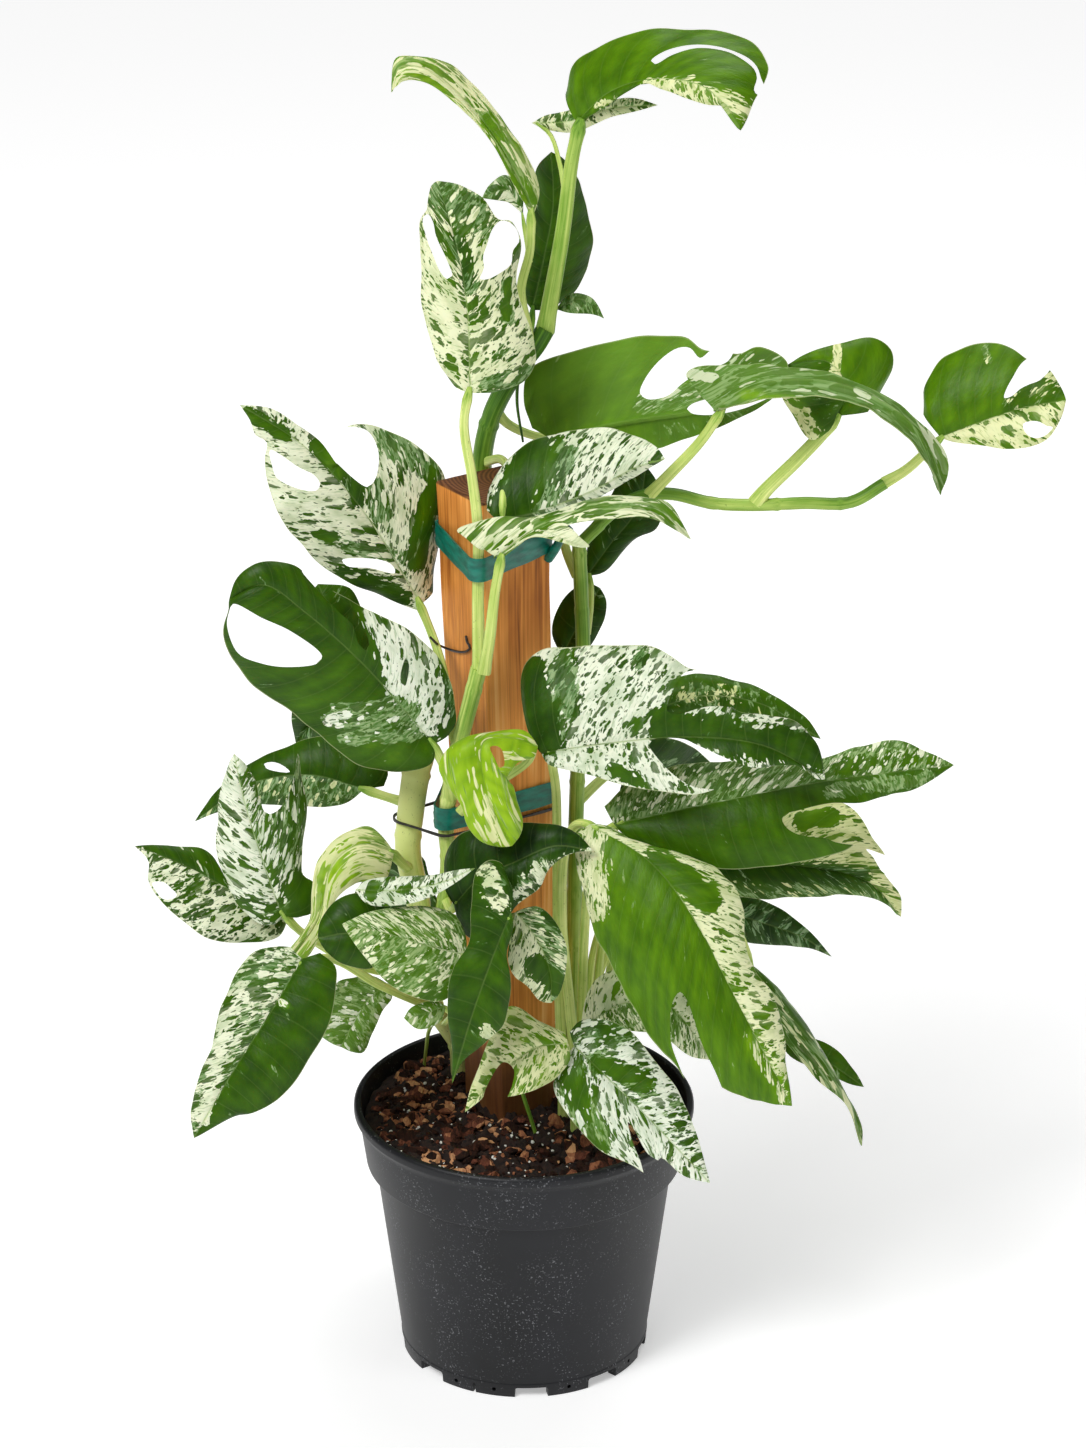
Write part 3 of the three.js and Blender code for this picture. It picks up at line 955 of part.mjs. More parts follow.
// Potting mix: a lumpy top in the pot, with plain holes for the stake and the stems
function soilSolid(holes) {
  const bandFoot = POT_HEIGHT - BAND_HEIGHT;
  const line = (z, low, high, lowRadius, highRadius) =>
    THREE.MathUtils.mapLinear(z, low, high, lowRadius, highRadius) - SOIL_WALL_GAP;
  const inBody = (z) => line(z, FLOOR_TOP + FLOOR_BEVEL, bandFoot - STEP_HEIGHT,
    FOOT_DIAMETER / 2 - WALL_FOOT_WALL, BODY_TOP_RADIUS - WALL);
  const inBand = (z) => line(z, bandFoot + STEP_HEIGHT, POT_HEIGHT - LIP_HEIGHT,
    BAND_FOOT_RADIUS - WALL, BAND_TOP_RADIUS - WALL);
  const ring = (radius, height) => Array.from({ length: SOIL_SECTORS }, (_, j) => {
    const angle = (2 * Math.PI * j) / SOIL_SECTORS;
    const x = radius * Math.cos(angle);
    const y = radius * Math.sin(angle);
    return new THREE.Vector3(x, y, height(x, y));
  });
  const bottom = FLOOR_TOP + SOIL_WALL_GAP;
  const profile = [
    [inBody(bottom) - FLOOR_BEVEL, bottom], [inBody(bottom + FLOOR_BEVEL), bottom + FLOOR_BEVEL],
    [inBody(bandFoot - STEP_HEIGHT), bandFoot - STEP_HEIGHT + SOIL_WALL_GAP],
    [inBand(bandFoot + STEP_HEIGHT), bandFoot + STEP_HEIGHT + SOIL_WALL_GAP],
  ];
  const rings = profile.map(([radius, z]) => ring(radius, () => z));
  const lump = (x, y) => SOIL_WAVES.reduce(
    (sum, [share, alongX, alongY, phase]) => sum + share * Math.sin(alongX * x + alongY * y + phase), 0);
  const rim = SOIL_LEVEL - SOIL_EDGE_FALL;
  rings.push(ring(inBand(rim), () => rim));
  for (let k = 1; k < SOIL_RINGS; k++) {
    const t = 1 - k / SOIL_RINGS;
    const mound = rim + SOIL_MOUND * (1 - t * t);
    rings.push(ring(inBand(rim) * t, (x, y) => mound + SOIL_LUMP * lump(x, y)));
  }
  let soil = loft(rings);
  for (const hole of holes) soil = soil.subtract(hole);
  return soil;
}

// A band round the stake that stays a gap clear of it, and of the stems given as [x, y, radius]
function bandSolid(z, width, thickness, stems) {
  const outline = (grow) => {
    const corners = stakeCorners(z, grow).map((p) => [p.x, p.y]);
    const round = stems.flatMap(([x, y, radius]) => Array.from({ length: TIE_SIDES }, (_, k) => {
      const angle = (2 * Math.PI * k) / TIE_SIDES;
      const reach = (radius + grow) / Math.cos(Math.PI / TIE_SIDES);
      return [x + reach * Math.cos(angle), y + reach * Math.sin(angle)];
    }));
    return hull([...corners, ...round]);
  };
  const inner = outline(GAP + TIE_LEAN);
  const outer = outline(GAP + TIE_LEAN + thickness);
  const slab = (ring, low, high) => loft([low, high].map((at) =>
    ring.map(([x, y]) => new THREE.Vector3(x, y, at))));
  return slab(outer, z - width / 2, z + width / 2).subtract(slab(inner, z - width, z + width));
}

// Convex outline of plan points, counter-clockwise
function hull(points) {
  const sorted = [...points].sort((a, b) => a[0] - b[0] || a[1] - b[1]);
  const turn = (o, a, b) => (a[0] - o[0]) * (b[1] - o[1]) - (a[1] - o[1]) * (b[0] - o[0]);
  const chain = (list) => {
    const out = [];
    for (const point of list) {
      while (out.length > 1 && turn(out.at(-2), out.at(-1), point) <= 1e-6) out.pop();
      out.push(point);
    }
    return out.slice(0, -1);
  };
  return [...chain(sorted), ...chain(sorted.reverse())];
}

// Where a stem or stalk passes a height
function passing(path, z) {
  const curve = smoothCurve(path);
  const points = Array.from({ length: HEIGHT_STEPS + 1 }, (_, i) => curve.getPoint(i / HEIGHT_STEPS));
  const miss = (point) => Math.abs(point.z - z);
  return points.reduce((best, point) => (miss(point) < miss(best) ? point : best));
}

function stemPath(stem) {
  const path = placeAll(stem.path);
  if (stem.foot === "soil") path.unshift(path[0].clone().setZ(STEM_FOOT_Z));
  return path;
}

function stemSolid(stem, grow = 0) {
  const path = stemPath(stem);
  return tube(path, stem.girth, STEM_SIDES, path.length, grow);
}

// Leaf records with their curves, halves and defaults filled in
const leaves = Object.entries(LEAVES).map(([name, leaf]) => ({
  name,
  ...leaf,
  slots: leaf.slots ?? [],
  bow: leaf.bow ?? DEFAULT_BOW,
  curve: smoothCurve(leaf.rib.map(seenPoint)),
  halves: [
    { veins: leaf.left, tilt: leaf.tilt[0] },
    { veins: leaf.right, tilt: leaf.tilt[1] },
  ],
}));

// Pieces
const finish = (color, roughness, metalness = 0) =>
  new THREE.MeshStandardMaterial({ color, roughness, metalness });
const group = new THREE.Group();

function addPiece(name, solid, material) {
  const mesh = new THREE.Mesh(geometryFrom(solid), material);
  mesh.name = name;
  group.add(mesh);
}

const stems = Object.entries(STEMS);
const soilStems = stems.filter(([, stem]) => stem.foot === "soil");
const soilLeaves = leaves.filter((leaf) => leaf.on === "soil");
const holes = [
  stakeSolid(GAP),
  ...soilStems.map(([, stem]) => rootHole(stemPath(stem), stem.girth[0])),
  ...soilLeaves.map((leaf) => rootHole(stalkPath(leaf), leaf.girth[0])),
];

addPiece("pot", potSolid(), finish(0x333335, 0.55));
addPiece("soil", soilSolid(holes), finish(0x2a1812, 0.95));
addPiece("stake", stakeSolid(), finish(0xb9773a, 0.8));

const creamStalk = stalkPath(leaves.find((leaf) => leaf.name === "leaf_cream_upper"));
const held = (path, z, radius) => {
  const { x, y } = passing(path, z);
  return [x, y, radius];
};
const heldVine = (z) => held(stemPath(STEMS.vine_front), z, TIED_VINE_RADIUS);
const knot = tube(placeAll(KNOT.path), KNOT.girth, HOLE_SIDES, KNOT.path.length).subtract(stakeSolid(GAP));
const upperTape = bandSolid(UPPER_TAPE_Z, TAPE_WIDTH, TAPE_THICKNESS,
  [held(creamStalk, UPPER_TAPE_Z, TIED_STALK_RADIUS)]);
addPiece("tie_tape_upper", upperTape.add(knot), finish(0x00705a, 0.45));
addPiece("tie_tape_lower",
  bandSolid(LOWER_TAPE_Z, TAPE_WIDTH, TAPE_THICKNESS, [heldVine(LOWER_TAPE_Z)]), finish(0x00705a, 0.45));
const heldSheath = held(stemPath(STEMS.stem_left), WIRE_Z, TIED_SHEATH_RADIUS);
addPiece("wire_tie",
  bandSolid(WIRE_Z, WIRE_THICKNESS, WIRE_THICKNESS, [heldSheath, heldVine(WIRE_Z)]), finish(0x2b2a28, 0.6));

const aerialPath = placeAll(AERIAL_ROOT.path);
const aerialRoot = tube(aerialPath, AERIAL_ROOT.girth, STALK_SIDES, aerialPath.length);
for (const [name, stem] of stems) {
  let solid = stemSolid(stem);
  if (stem.foot in STEMS) solid = solid.subtract(stemSolid(STEMS[stem.foot], GAP));
  if (stem === STEMS.stem_main) solid = solid.add(aerialRoot);
  addPiece(name, solid, finish(stem.colour, 0.5));
}

for (const leaf of leaves) {
  let solid = leafSolid(leaf);
  const host = leaves.find((other) => other.name === leaf.on);
  if (leaf.on in STEMS) solid = solid.subtract(stemSolid(STEMS[leaf.on], GAP));
  if (host) solid = solid.subtract(stalkSolid(host, GAP));
  addPiece(leaf.name, solid.simplify(SLIVER), finish(leaf.colour, 0.45));
}

export default group;
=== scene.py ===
"""Potted marble flame pothos on a square wooden stake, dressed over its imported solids.

The tables hold millimetres and seen points, and every mesh is written in metres in the part's
own frame: +Z up, the pot's underside on z = 0, the viewer of the photograph on the -Y side.
A seen point is a column and a row of the photograph, and a depth in mm towards the viewer from
the pot's axis.
"""

import logging
import math
from dataclasses import dataclass
from enum import Enum

import bpy
import numpy as np
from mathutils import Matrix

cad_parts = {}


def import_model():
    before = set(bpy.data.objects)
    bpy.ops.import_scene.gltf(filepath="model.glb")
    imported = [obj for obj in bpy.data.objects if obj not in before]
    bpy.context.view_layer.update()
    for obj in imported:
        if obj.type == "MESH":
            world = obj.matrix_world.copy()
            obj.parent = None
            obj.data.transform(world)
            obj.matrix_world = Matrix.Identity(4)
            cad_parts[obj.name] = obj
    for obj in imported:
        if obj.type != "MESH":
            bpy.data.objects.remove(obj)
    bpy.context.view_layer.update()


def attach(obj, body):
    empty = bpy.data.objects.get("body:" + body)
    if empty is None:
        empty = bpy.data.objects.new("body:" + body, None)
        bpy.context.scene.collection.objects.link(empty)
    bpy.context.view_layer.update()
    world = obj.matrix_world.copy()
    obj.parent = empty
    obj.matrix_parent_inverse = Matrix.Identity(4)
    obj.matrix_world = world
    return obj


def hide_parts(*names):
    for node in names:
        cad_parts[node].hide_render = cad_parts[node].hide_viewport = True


LOG = logging.getLogger("pothos")
MM = 0.001
GAP = 0.3
Seen = tuple[float, ...]
Ring = tuple[int, ...]
Stops = tuple[tuple[float, int], ...]
LAYERS = {"FLOAT": (1, "value"), "FLOAT_VECTOR": (3, "vector"), "FLOAT_COLOR": (4, "color")}


class Face(Enum):
    """The side of a blade that looks at the viewer of the photograph."""

    UPPER = "upper"
    UNDER = "under"


@dataclass(frozen=True)
class Sight:
    """The photograph's line of sight, for a frame of 1086 by 1448 columns and rows."""

    centre_column: float = 543
    centre_row: float = 724
    focal_rows: float = 4597
    rows: float = 1448
    eye_right: float = 14.3
    eye_distance: float = 3060
    eye_height: float = 1817
    pitch: float = math.radians(23.15)

    def place(self, seen: np.ndarray) -> np.ndarray:
        """Finds where seen points are.

        Args:
            seen: columns, rows and depths, in the last axis of the array.

        Returns:
            The points in mm, in an array of the same shape.
        """
        seen = np.asarray(seen, float)
        right = (seen[..., 0] - self.centre_column) / self.focal_rows
        up = (self.centre_row - seen[..., 1]) / self.focal_rows
        ahead = math.cos(self.pitch) + up * math.sin(self.pitch)
        rise = up * math.cos(self.pitch) - math.sin(self.pitch)
        reach = (self.eye_distance - seen[..., 2]) / ahead
        return np.stack([self.eye_right + right * reach, ahead * reach - self.eye_distance,
                         self.eye_height + rise * reach], axis=-1)

    def eye(self) -> np.ndarray:
        """The viewer's eye in mm."""
        return np.array([self.eye_right, -self.eye_distance, self.eye_height])


SIGHT = Sight()


def smooth_pieces(points: np.ndarray, steps: list[int], closed: bool = False) -> np.ndarray:
    """Samples the centripetal curve through points.

    Args:
        points: the points, one row each, with any number of columns.
        steps: how many samples each stretch between two points gets.
        closed: whether the last point runs on to the first.

    Returns:
        The samples, which hold every given point once.
    """
    p = np.asarray(points, float)
    if closed:
        ring = np.vstack([p[-1:], p, p[:2]])
    else:
        ring = np.vstack([2 * p[0] - p[1], p, 2 * p[-1] - p[-2]])
    out = []
    for i, count in enumerate(steps):
        a, b, c, d = ring[i:i + 4]
        gaps = [max(float(np.linalg.norm(v)), 1e-6) ** 0.5 for v in (b - a, c - b, d - c)]
        start = (b - a) / gaps[0] - (c - a) / (gaps[0] + gaps[1]) + (c - b) / gaps[1]
        end = (c - b) / gaps[1] - (d - b) / (gaps[1] + gaps[2]) + (d - c) / gaps[2]
        start, end = start * gaps[1], end * gaps[1]
        t = (np.arange(count) / count)[:, None]
        out.append(b + start * t + (3 * (c - b) - 2 * start - end) * t ** 2
                   + (2 * (b - c) + start + end) * t ** 3)
    if not closed:
        out.append(p[-1:])
    return np.vstack(out)


class Curve:
    """A smooth curve through points, measured by its length."""

    def __init__(self, points: np.ndarray, steps: int = 24) -> None:
        """Samples the curve finely.

        Args:
            points: the points that it runs through, two or more.
            steps: samples for each stretch.
        """
        self.samples = smooth_pieces(points, [steps] * (len(points) - 1))
        run = np.linalg.norm(np.diff(self.samples, axis=0), axis=1)
        self.lengths = np.concatenate([[0], np.cumsum(run)])
        self.length = float(self.lengths[-1])

    def at(self, share: np.ndarray) -> np.ndarray:
        """Points of the curve.

        Args:
            share: shares of its length, from 0 to 1.

        Returns:
            One row for each share.
        """
        wanted = np.atleast_1d(share) * self.length
        return np.stack([np.interp(wanted, self.lengths, column) for column in self.samples.T], axis=-1)


def unit(vectors: np.ndarray) -> np.ndarray:
    """Vectors of length one."""
    return vectors / np.maximum(np.linalg.norm(vectors, axis=-1, keepdims=True), 1e-12)


def ease(value: np.ndarray, low: float, high: float) -> np.ndarray:
    """A smooth rise from 0 at low to 1 at high."""
    t = np.clip((value - low) / (high - low), 0, 1)
    return t * t * (3 - 2 * t)


class Shell:
    """A mesh in the making: points in mm, faces, and values for each point."""

    def __init__(self) -> None:
        """Starts empty."""
        self.points: list[np.ndarray] = []
        self.faces: list[Ring] = []
        self.slots: list[int] = []
        self.values: dict[str, list[np.ndarray]] = {}
        self.count = 0

    def add(self, points: np.ndarray, faces: list[Ring], slot: int,
            **values: np.ndarray) -> None:
        """Adds points and faces.

        Args:
            points: the points in mm.
            faces: corner numbers within these points.
            slot: the material's place.
            values: named values, one row for each point.
        """
        for name, rows in values.items():
            kept = self.values.setdefault(name, [])
            width = rows.shape[1]
            missing = self.count - sum(len(k) for k in kept)
            if missing:
                kept.append(np.zeros((missing, width)))
            kept.append(rows)
        self.points.append(points)
        self.faces += [tuple(i + self.count for i in face) for face in faces]
        self.slots += [slot] * len(faces)
        self.count += len(points)

    def mesh(self, name: str) -> bpy.types.Mesh:
        """Makes the Blender mesh.

        Args:
            name: the mesh's name.

        Returns:
            The mesh in metres, shaded smooth, with a value layer for each name.
        """
        mesh = bpy.data.meshes.new(name)
        points = np.vstack(self.points) * MM
        mesh.from_pydata(points.tolist(), [], self.faces)
        mesh.polygons.foreach_set("material_index", np.array(self.slots, np.int32))
        mesh.polygons.foreach_set("use_smooth", np.ones(len(self.faces), bool))
        kinds = {width: (kind, field) for kind, (width, field) in LAYERS.items()}
        for key, rows in self.values.items():
            table = np.vstack(rows)
            if len(table) < self.count:
                table = np.vstack([table, np.zeros((self.count - len(table), table.shape[1]))])
            kind, field = kinds[table.shape[1]]
            layer = mesh.attributes.new(key, kind, "POINT")
            layer.data.foreach_set(field, table.astype(np.float32).ravel())
        mesh.update()
        return mesh


def stand(name: str, data: bpy.types.ID) -> bpy.types.Object:
    """Links a new object with this data at the origin."""
    made = bpy.data.objects.new(name, data)
    bpy.context.scene.collection.objects.link(made)
    return made


def put(mesh: bpy.types.Mesh, name: str, materials: list[bpy.types.Material],
        angle: float = 50) -> bpy.types.Object:
    """Stands a mesh in the scene.

    Args:
        mesh: the mesh, in place.
        name: the object's name.
        materials: its materials, in the order of the faces' slots.
        angle: edges sharper than this many degrees stay sharp.

    Returns:
        The object, at the origin.
    """
    while len(mesh.materials) < len(materials):
        mesh.materials.append(None)
    for slot, material in enumerate(materials):
        mesh.materials[slot] = material
    mesh.set_sharp_from_angle(angle=math.radians(angle))
    return stand(name, mesh)


def hand_over(piece: bpy.types.Object, node: str) -> bpy.types.Object:
    """Lets a piece stand for a solid of the part, and ride with it.

    Args:
        piece: the finished piece.
        node: the solid's name.

    Returns:
        The piece.
    """
    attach(piece, "root")
    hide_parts(node)
    LOG.info("%s: %d faces for %s", piece.name, len(piece.data.polygons), node)
    return piece


def evaluated(item: bpy.types.Object) -> bpy.types.Mesh:
    """A plain mesh of an object as its modifiers leave it."""
    graph = bpy.context.evaluated_depsgraph_get()
    return bpy.data.meshes.new_from_object(item.evaluated_get(graph), depsgraph=graph)


def cut(mesh: bpy.types.Mesh, cutter: bpy.types.Mesh) -> bpy.types.Mesh:
    """Takes a closed shape out of a closed mesh.

    Args:
        mesh: what is cut.
        cutter: the shape to take out.

    Returns:
        The cut mesh, with the values of its points kept.
    """
    holder = stand("cut_body", mesh)
    knife = stand("cut_knife", cutter)
    modifier = holder.modifiers.new("cut", "BOOLEAN")
    modifier.operation = "DIFFERENCE"
    modifier.solver = "MANIFOLD"
    modifier.object = knife
    bpy.context.view_layer.update()
    made = evaluated(holder)
    for item in (holder, knife):
        bpy.data.objects.remove(item)
    bpy.data.meshes.remove(mesh)
    bpy.data.meshes.remove(cutter)
    return made


def prism(rings: list[np.ndarray]) -> tuple[np.ndarray, list[Ring]]:
    """Joins rings of points into a closed tube.

    Args:
        rings: rings with the same number of points, counter-clockwise seen from the last one.

    Returns:
        The points and the faces, with a cap on either end.
    """
    sides = len(rings[0])
    faces = []
    for i in range(len(rings) - 1):
        for j in range(sides):
            a = i * sides + j
            b = i * sides + (j + 1) % sides
            faces.append((a, b, b + sides, a + sides))
    last = (len(rings) - 1) * sides
    faces.append(tuple(range(sides - 1, -1, -1)))
    faces.append(tuple(range(last, last + sides)))
    return np.vstack(rings), faces


def linear(code: int) -> tuple[float, float, float, float]:
    """The linear colour of a six-digit hexadecimal one, with full alpha."""
    parts = [(code >> shift & 255) / 255 for shift in (16, 8, 0)]
    red, green, blue = (v / 12.92 if v <= 0.04045 else ((v + 0.055) / 1.055) ** 2.4 for v in parts)
    return red, green, blue, 1.0


class Value:
    """A socket that takes part in arithmetic, each step adding a Math node."""

    def __init__(self, shader: "Shader", socket: bpy.types.NodeSocket) -> None:
        """Keeps the socket and the shader that it belongs to."""
        self.shader = shader
        self.socket = socket

    def math(self, operation: str, *others: "Value | float", first: "Value | float | None" = None
             ) -> "Value":
        """Adds a Math node.

        Args:
            operation: the node's operation.
            others: what follows this value, or stands second where first is given.
            first: what comes before this value.

        Returns:
            The result.
        """
        terms = [self, *others] if first is None else [first, self]
        node = self.shader.node("ShaderNodeMath", {"operation": operation}, dict(enumerate(terms)))
        return Value(self.shader, node.outputs[0])

    def __add__(self, other: "Value | float") -> "Value":
        """This plus other."""
        return self.math("ADD", other)

    __radd__ = __add__

    def __mul__(self, other: "Value | float") -> "Value":
        """This times other."""
        return self.math("MULTIPLY", other)

    __rmul__ = __mul__

    def __sub__(self, other: "Value | float") -> "Value":
        """This minus other."""
        return self.math("SUBTRACT", other)

    def __rsub__(self, other: "Value | float") -> "Value":
        """Other minus this."""
        return self.math("SUBTRACT", first=other)

    def __abs__(self) -> "Value":
        """This without its sign."""
        return self.math("ABSOLUTE")

    def most(self, other: "Value | float") -> "Value":
        """The larger of the two."""
        return self.math("MAXIMUM", other)

    def step(self, low: "Value | float", high: "Value | float") -> "Value":
        """A smooth rise from 0 at low to 1 at high.

        Args:
            low: where it starts.
            high: where it ends.

        Returns:
            The rise.
        """
        node = self.shader.node("ShaderNodeMapRange", {"interpolation_type": "SMOOTHSTEP"},
                                {"Value": self, "From Min": low, "From Max": high})
        return Value(self.shader, node.outputs["Result"])


Number = Value | float
Colour = int | bpy.types.NodeSocket


def add_node(tree: bpy.types.NodeTree, kind: str, settings: dict, sockets: dict) -> bpy.types.Node:
    """Adds a node to a tree.

    Args:
        tree: the tree.
        kind: the node's type.
        settings: its properties, set first.
        sockets: values or links by socket name or number.

    Returns:
        The node.
    """
    made = tree.nodes.new(kind)
    for key, value in settings.items():
        setattr(made, key, value)
    for key, value in sockets.items():
        target = made.inputs[key]
        if isinstance(value, Value):
            value = value.socket
        if isinstance(value, bpy.types.NodeSocket):
            tree.links.new(value, target)
        else:
            target.default_value = value
    return made


class Shader:
    """A material's node tree with one Principled BSDF."""

    def __init__(self, name: str, **constants: float) -> None:
        """Makes the material.

        Args:
            name: the material's name.
            constants: values of the BSDF's own sockets, spaces as underscores.
        """
        self.material = bpy.data.materials.new(name)
        self.material.use_nodes = True
        self.tree = self.material.node_tree
        self.tree.nodes.clear()
        settings = {key.replace("_", " "): value for key, value in constants.items()}
        self.surface = self.node("ShaderNodeBsdfPrincipled", {}, settings)
        self.node("ShaderNodeOutputMaterial", {}, {"Surface": self.surface.outputs[0]})

    def node(self, kind: str, settings: dict, sockets: dict) -> bpy.types.Node:
        """Adds a node to the material."""
        return add_node(self.tree, kind, settings, sockets)

    def value(self, socket: bpy.types.NodeSocket) -> Value:
        """A socket as a value."""
        return Value(self, socket)

    def scaled(self, vector: bpy.types.NodeSocket, by: tuple[float, float, float],
               shift: tuple[float, float, float] = (0, 0, 0)) -> bpy.types.NodeSocket:
        """A vector stretched along each axis, then moved.

        Args:
            vector: the vector.
            by: the factors.
            shift: what is added after.

        Returns:
            The result's socket.
        """
        node = self.node("ShaderNodeVectorMath", {"operation": "MULTIPLY_ADD"}, {0: vector, 1: by, 2: shift})
        return node.outputs[0]

    def noise(self, vector: bpy.types.NodeSocket, by: tuple[float, float, float], detail: float = 2,
              roughness: float = 0.5, distortion: float = 0, shift: tuple[float, float, float] = (0, 0, 0)
              ) -> Value:
        """Smooth noise around one half.

        Args:
            vector: where it is read.
            by: blotches for each metre along each axis.
            detail: finer layers.
            roughness: their share.
            distortion: how far it is stirred.
            shift: where it starts.

        Returns:
            The noise.
        """
        node = self.node("ShaderNodeTexNoise", {}, {
            "Vector": self.scaled(vector, by, shift), "Scale": 1.0, "Detail": detail,
            "Roughness": roughness, "Distortion": distortion})
        return self.value(node.outputs[0])

    def blend(self, factor: Number, first: Colour, second: Colour) -> bpy.types.NodeSocket:
        """Mixes two colours.

        Args:
            factor: the second one's share.
            first: a hexadecimal colour or a socket.
            second: a hexadecimal colour or a socket.

        Returns:
            The mixed colour's socket.
        """
        first, second = (linear(c) if isinstance(c, int) else c for c in (first, second))
        node = self.node("ShaderNodeMix", {"data_type": "RGBA", "clamp_factor": True},
                         {0: factor, 6: first, 7: second})
        return node.outputs[2]

    def ramp(self, factor: Number, stops: Stops) -> bpy.types.NodeSocket:
        """Colours along a value.

        Args:
            factor: the value.
            stops: places from 0 to 1 with hexadecimal colours.

        Returns:
            The colour's socket.
        """
        node = self.node("ShaderNodeValToRGB", {}, {"Fac": factor})
        elements = node.color_ramp.elements
        while len(elements) < len(stops):
            elements.new(0.5)
        for element, (place, code) in zip(elements, stops):
            element.position = place
            element.color = linear(code)
        return node.outputs[0]

    def attribute(self, name: str) -> bpy.types.Node:
        """A node that reads a named value of the mesh."""
        return self.node("ShaderNodeAttribute", {"attribute_name": name}, {})

    def split(self, vector: bpy.types.NodeSocket) -> tuple[Value, Value, Value]:
        """The three parts of a vector or colour."""
        node = self.node("ShaderNodeSeparateXYZ", {}, {0: vector})
        return tuple(self.value(socket) for socket in node.outputs)

    def place(self) -> bpy.types.NodeSocket:
        """The object's own coordinates in metres."""
        return self.node("ShaderNodeTexCoord", {}, {}).outputs["Object"]

    def finish(self, colour: bpy.types.NodeSocket, roughness: Number | None = None,
               height: Value | None = None, depth: float = 0.0005, strength: float = 0.5
               ) -> bpy.types.Material:
        """Joins colour, roughness and relief to the surface.

        Args:
            colour: the base colour's socket.
            roughness: the roughness, where it varies.
            height: the relief from 0 to 1.
            depth: the relief's depth in metres.
            strength: the relief's strength.

        Returns:
            The material.
        """
        self.tree.links.new(colour, self.surface.inputs["Base Color"])
        if roughness is not None:
            self.tree.links.new(roughness.socket, self.surface.inputs["Roughness"])
        if height is not None:
            bump = self.node("ShaderNodeBump", {},
                             {"Strength": strength, "Distance": depth, "Height": height})
            self.tree.links.new(bump.outputs[0], self.surface.inputs["Normal"])
        return self.material


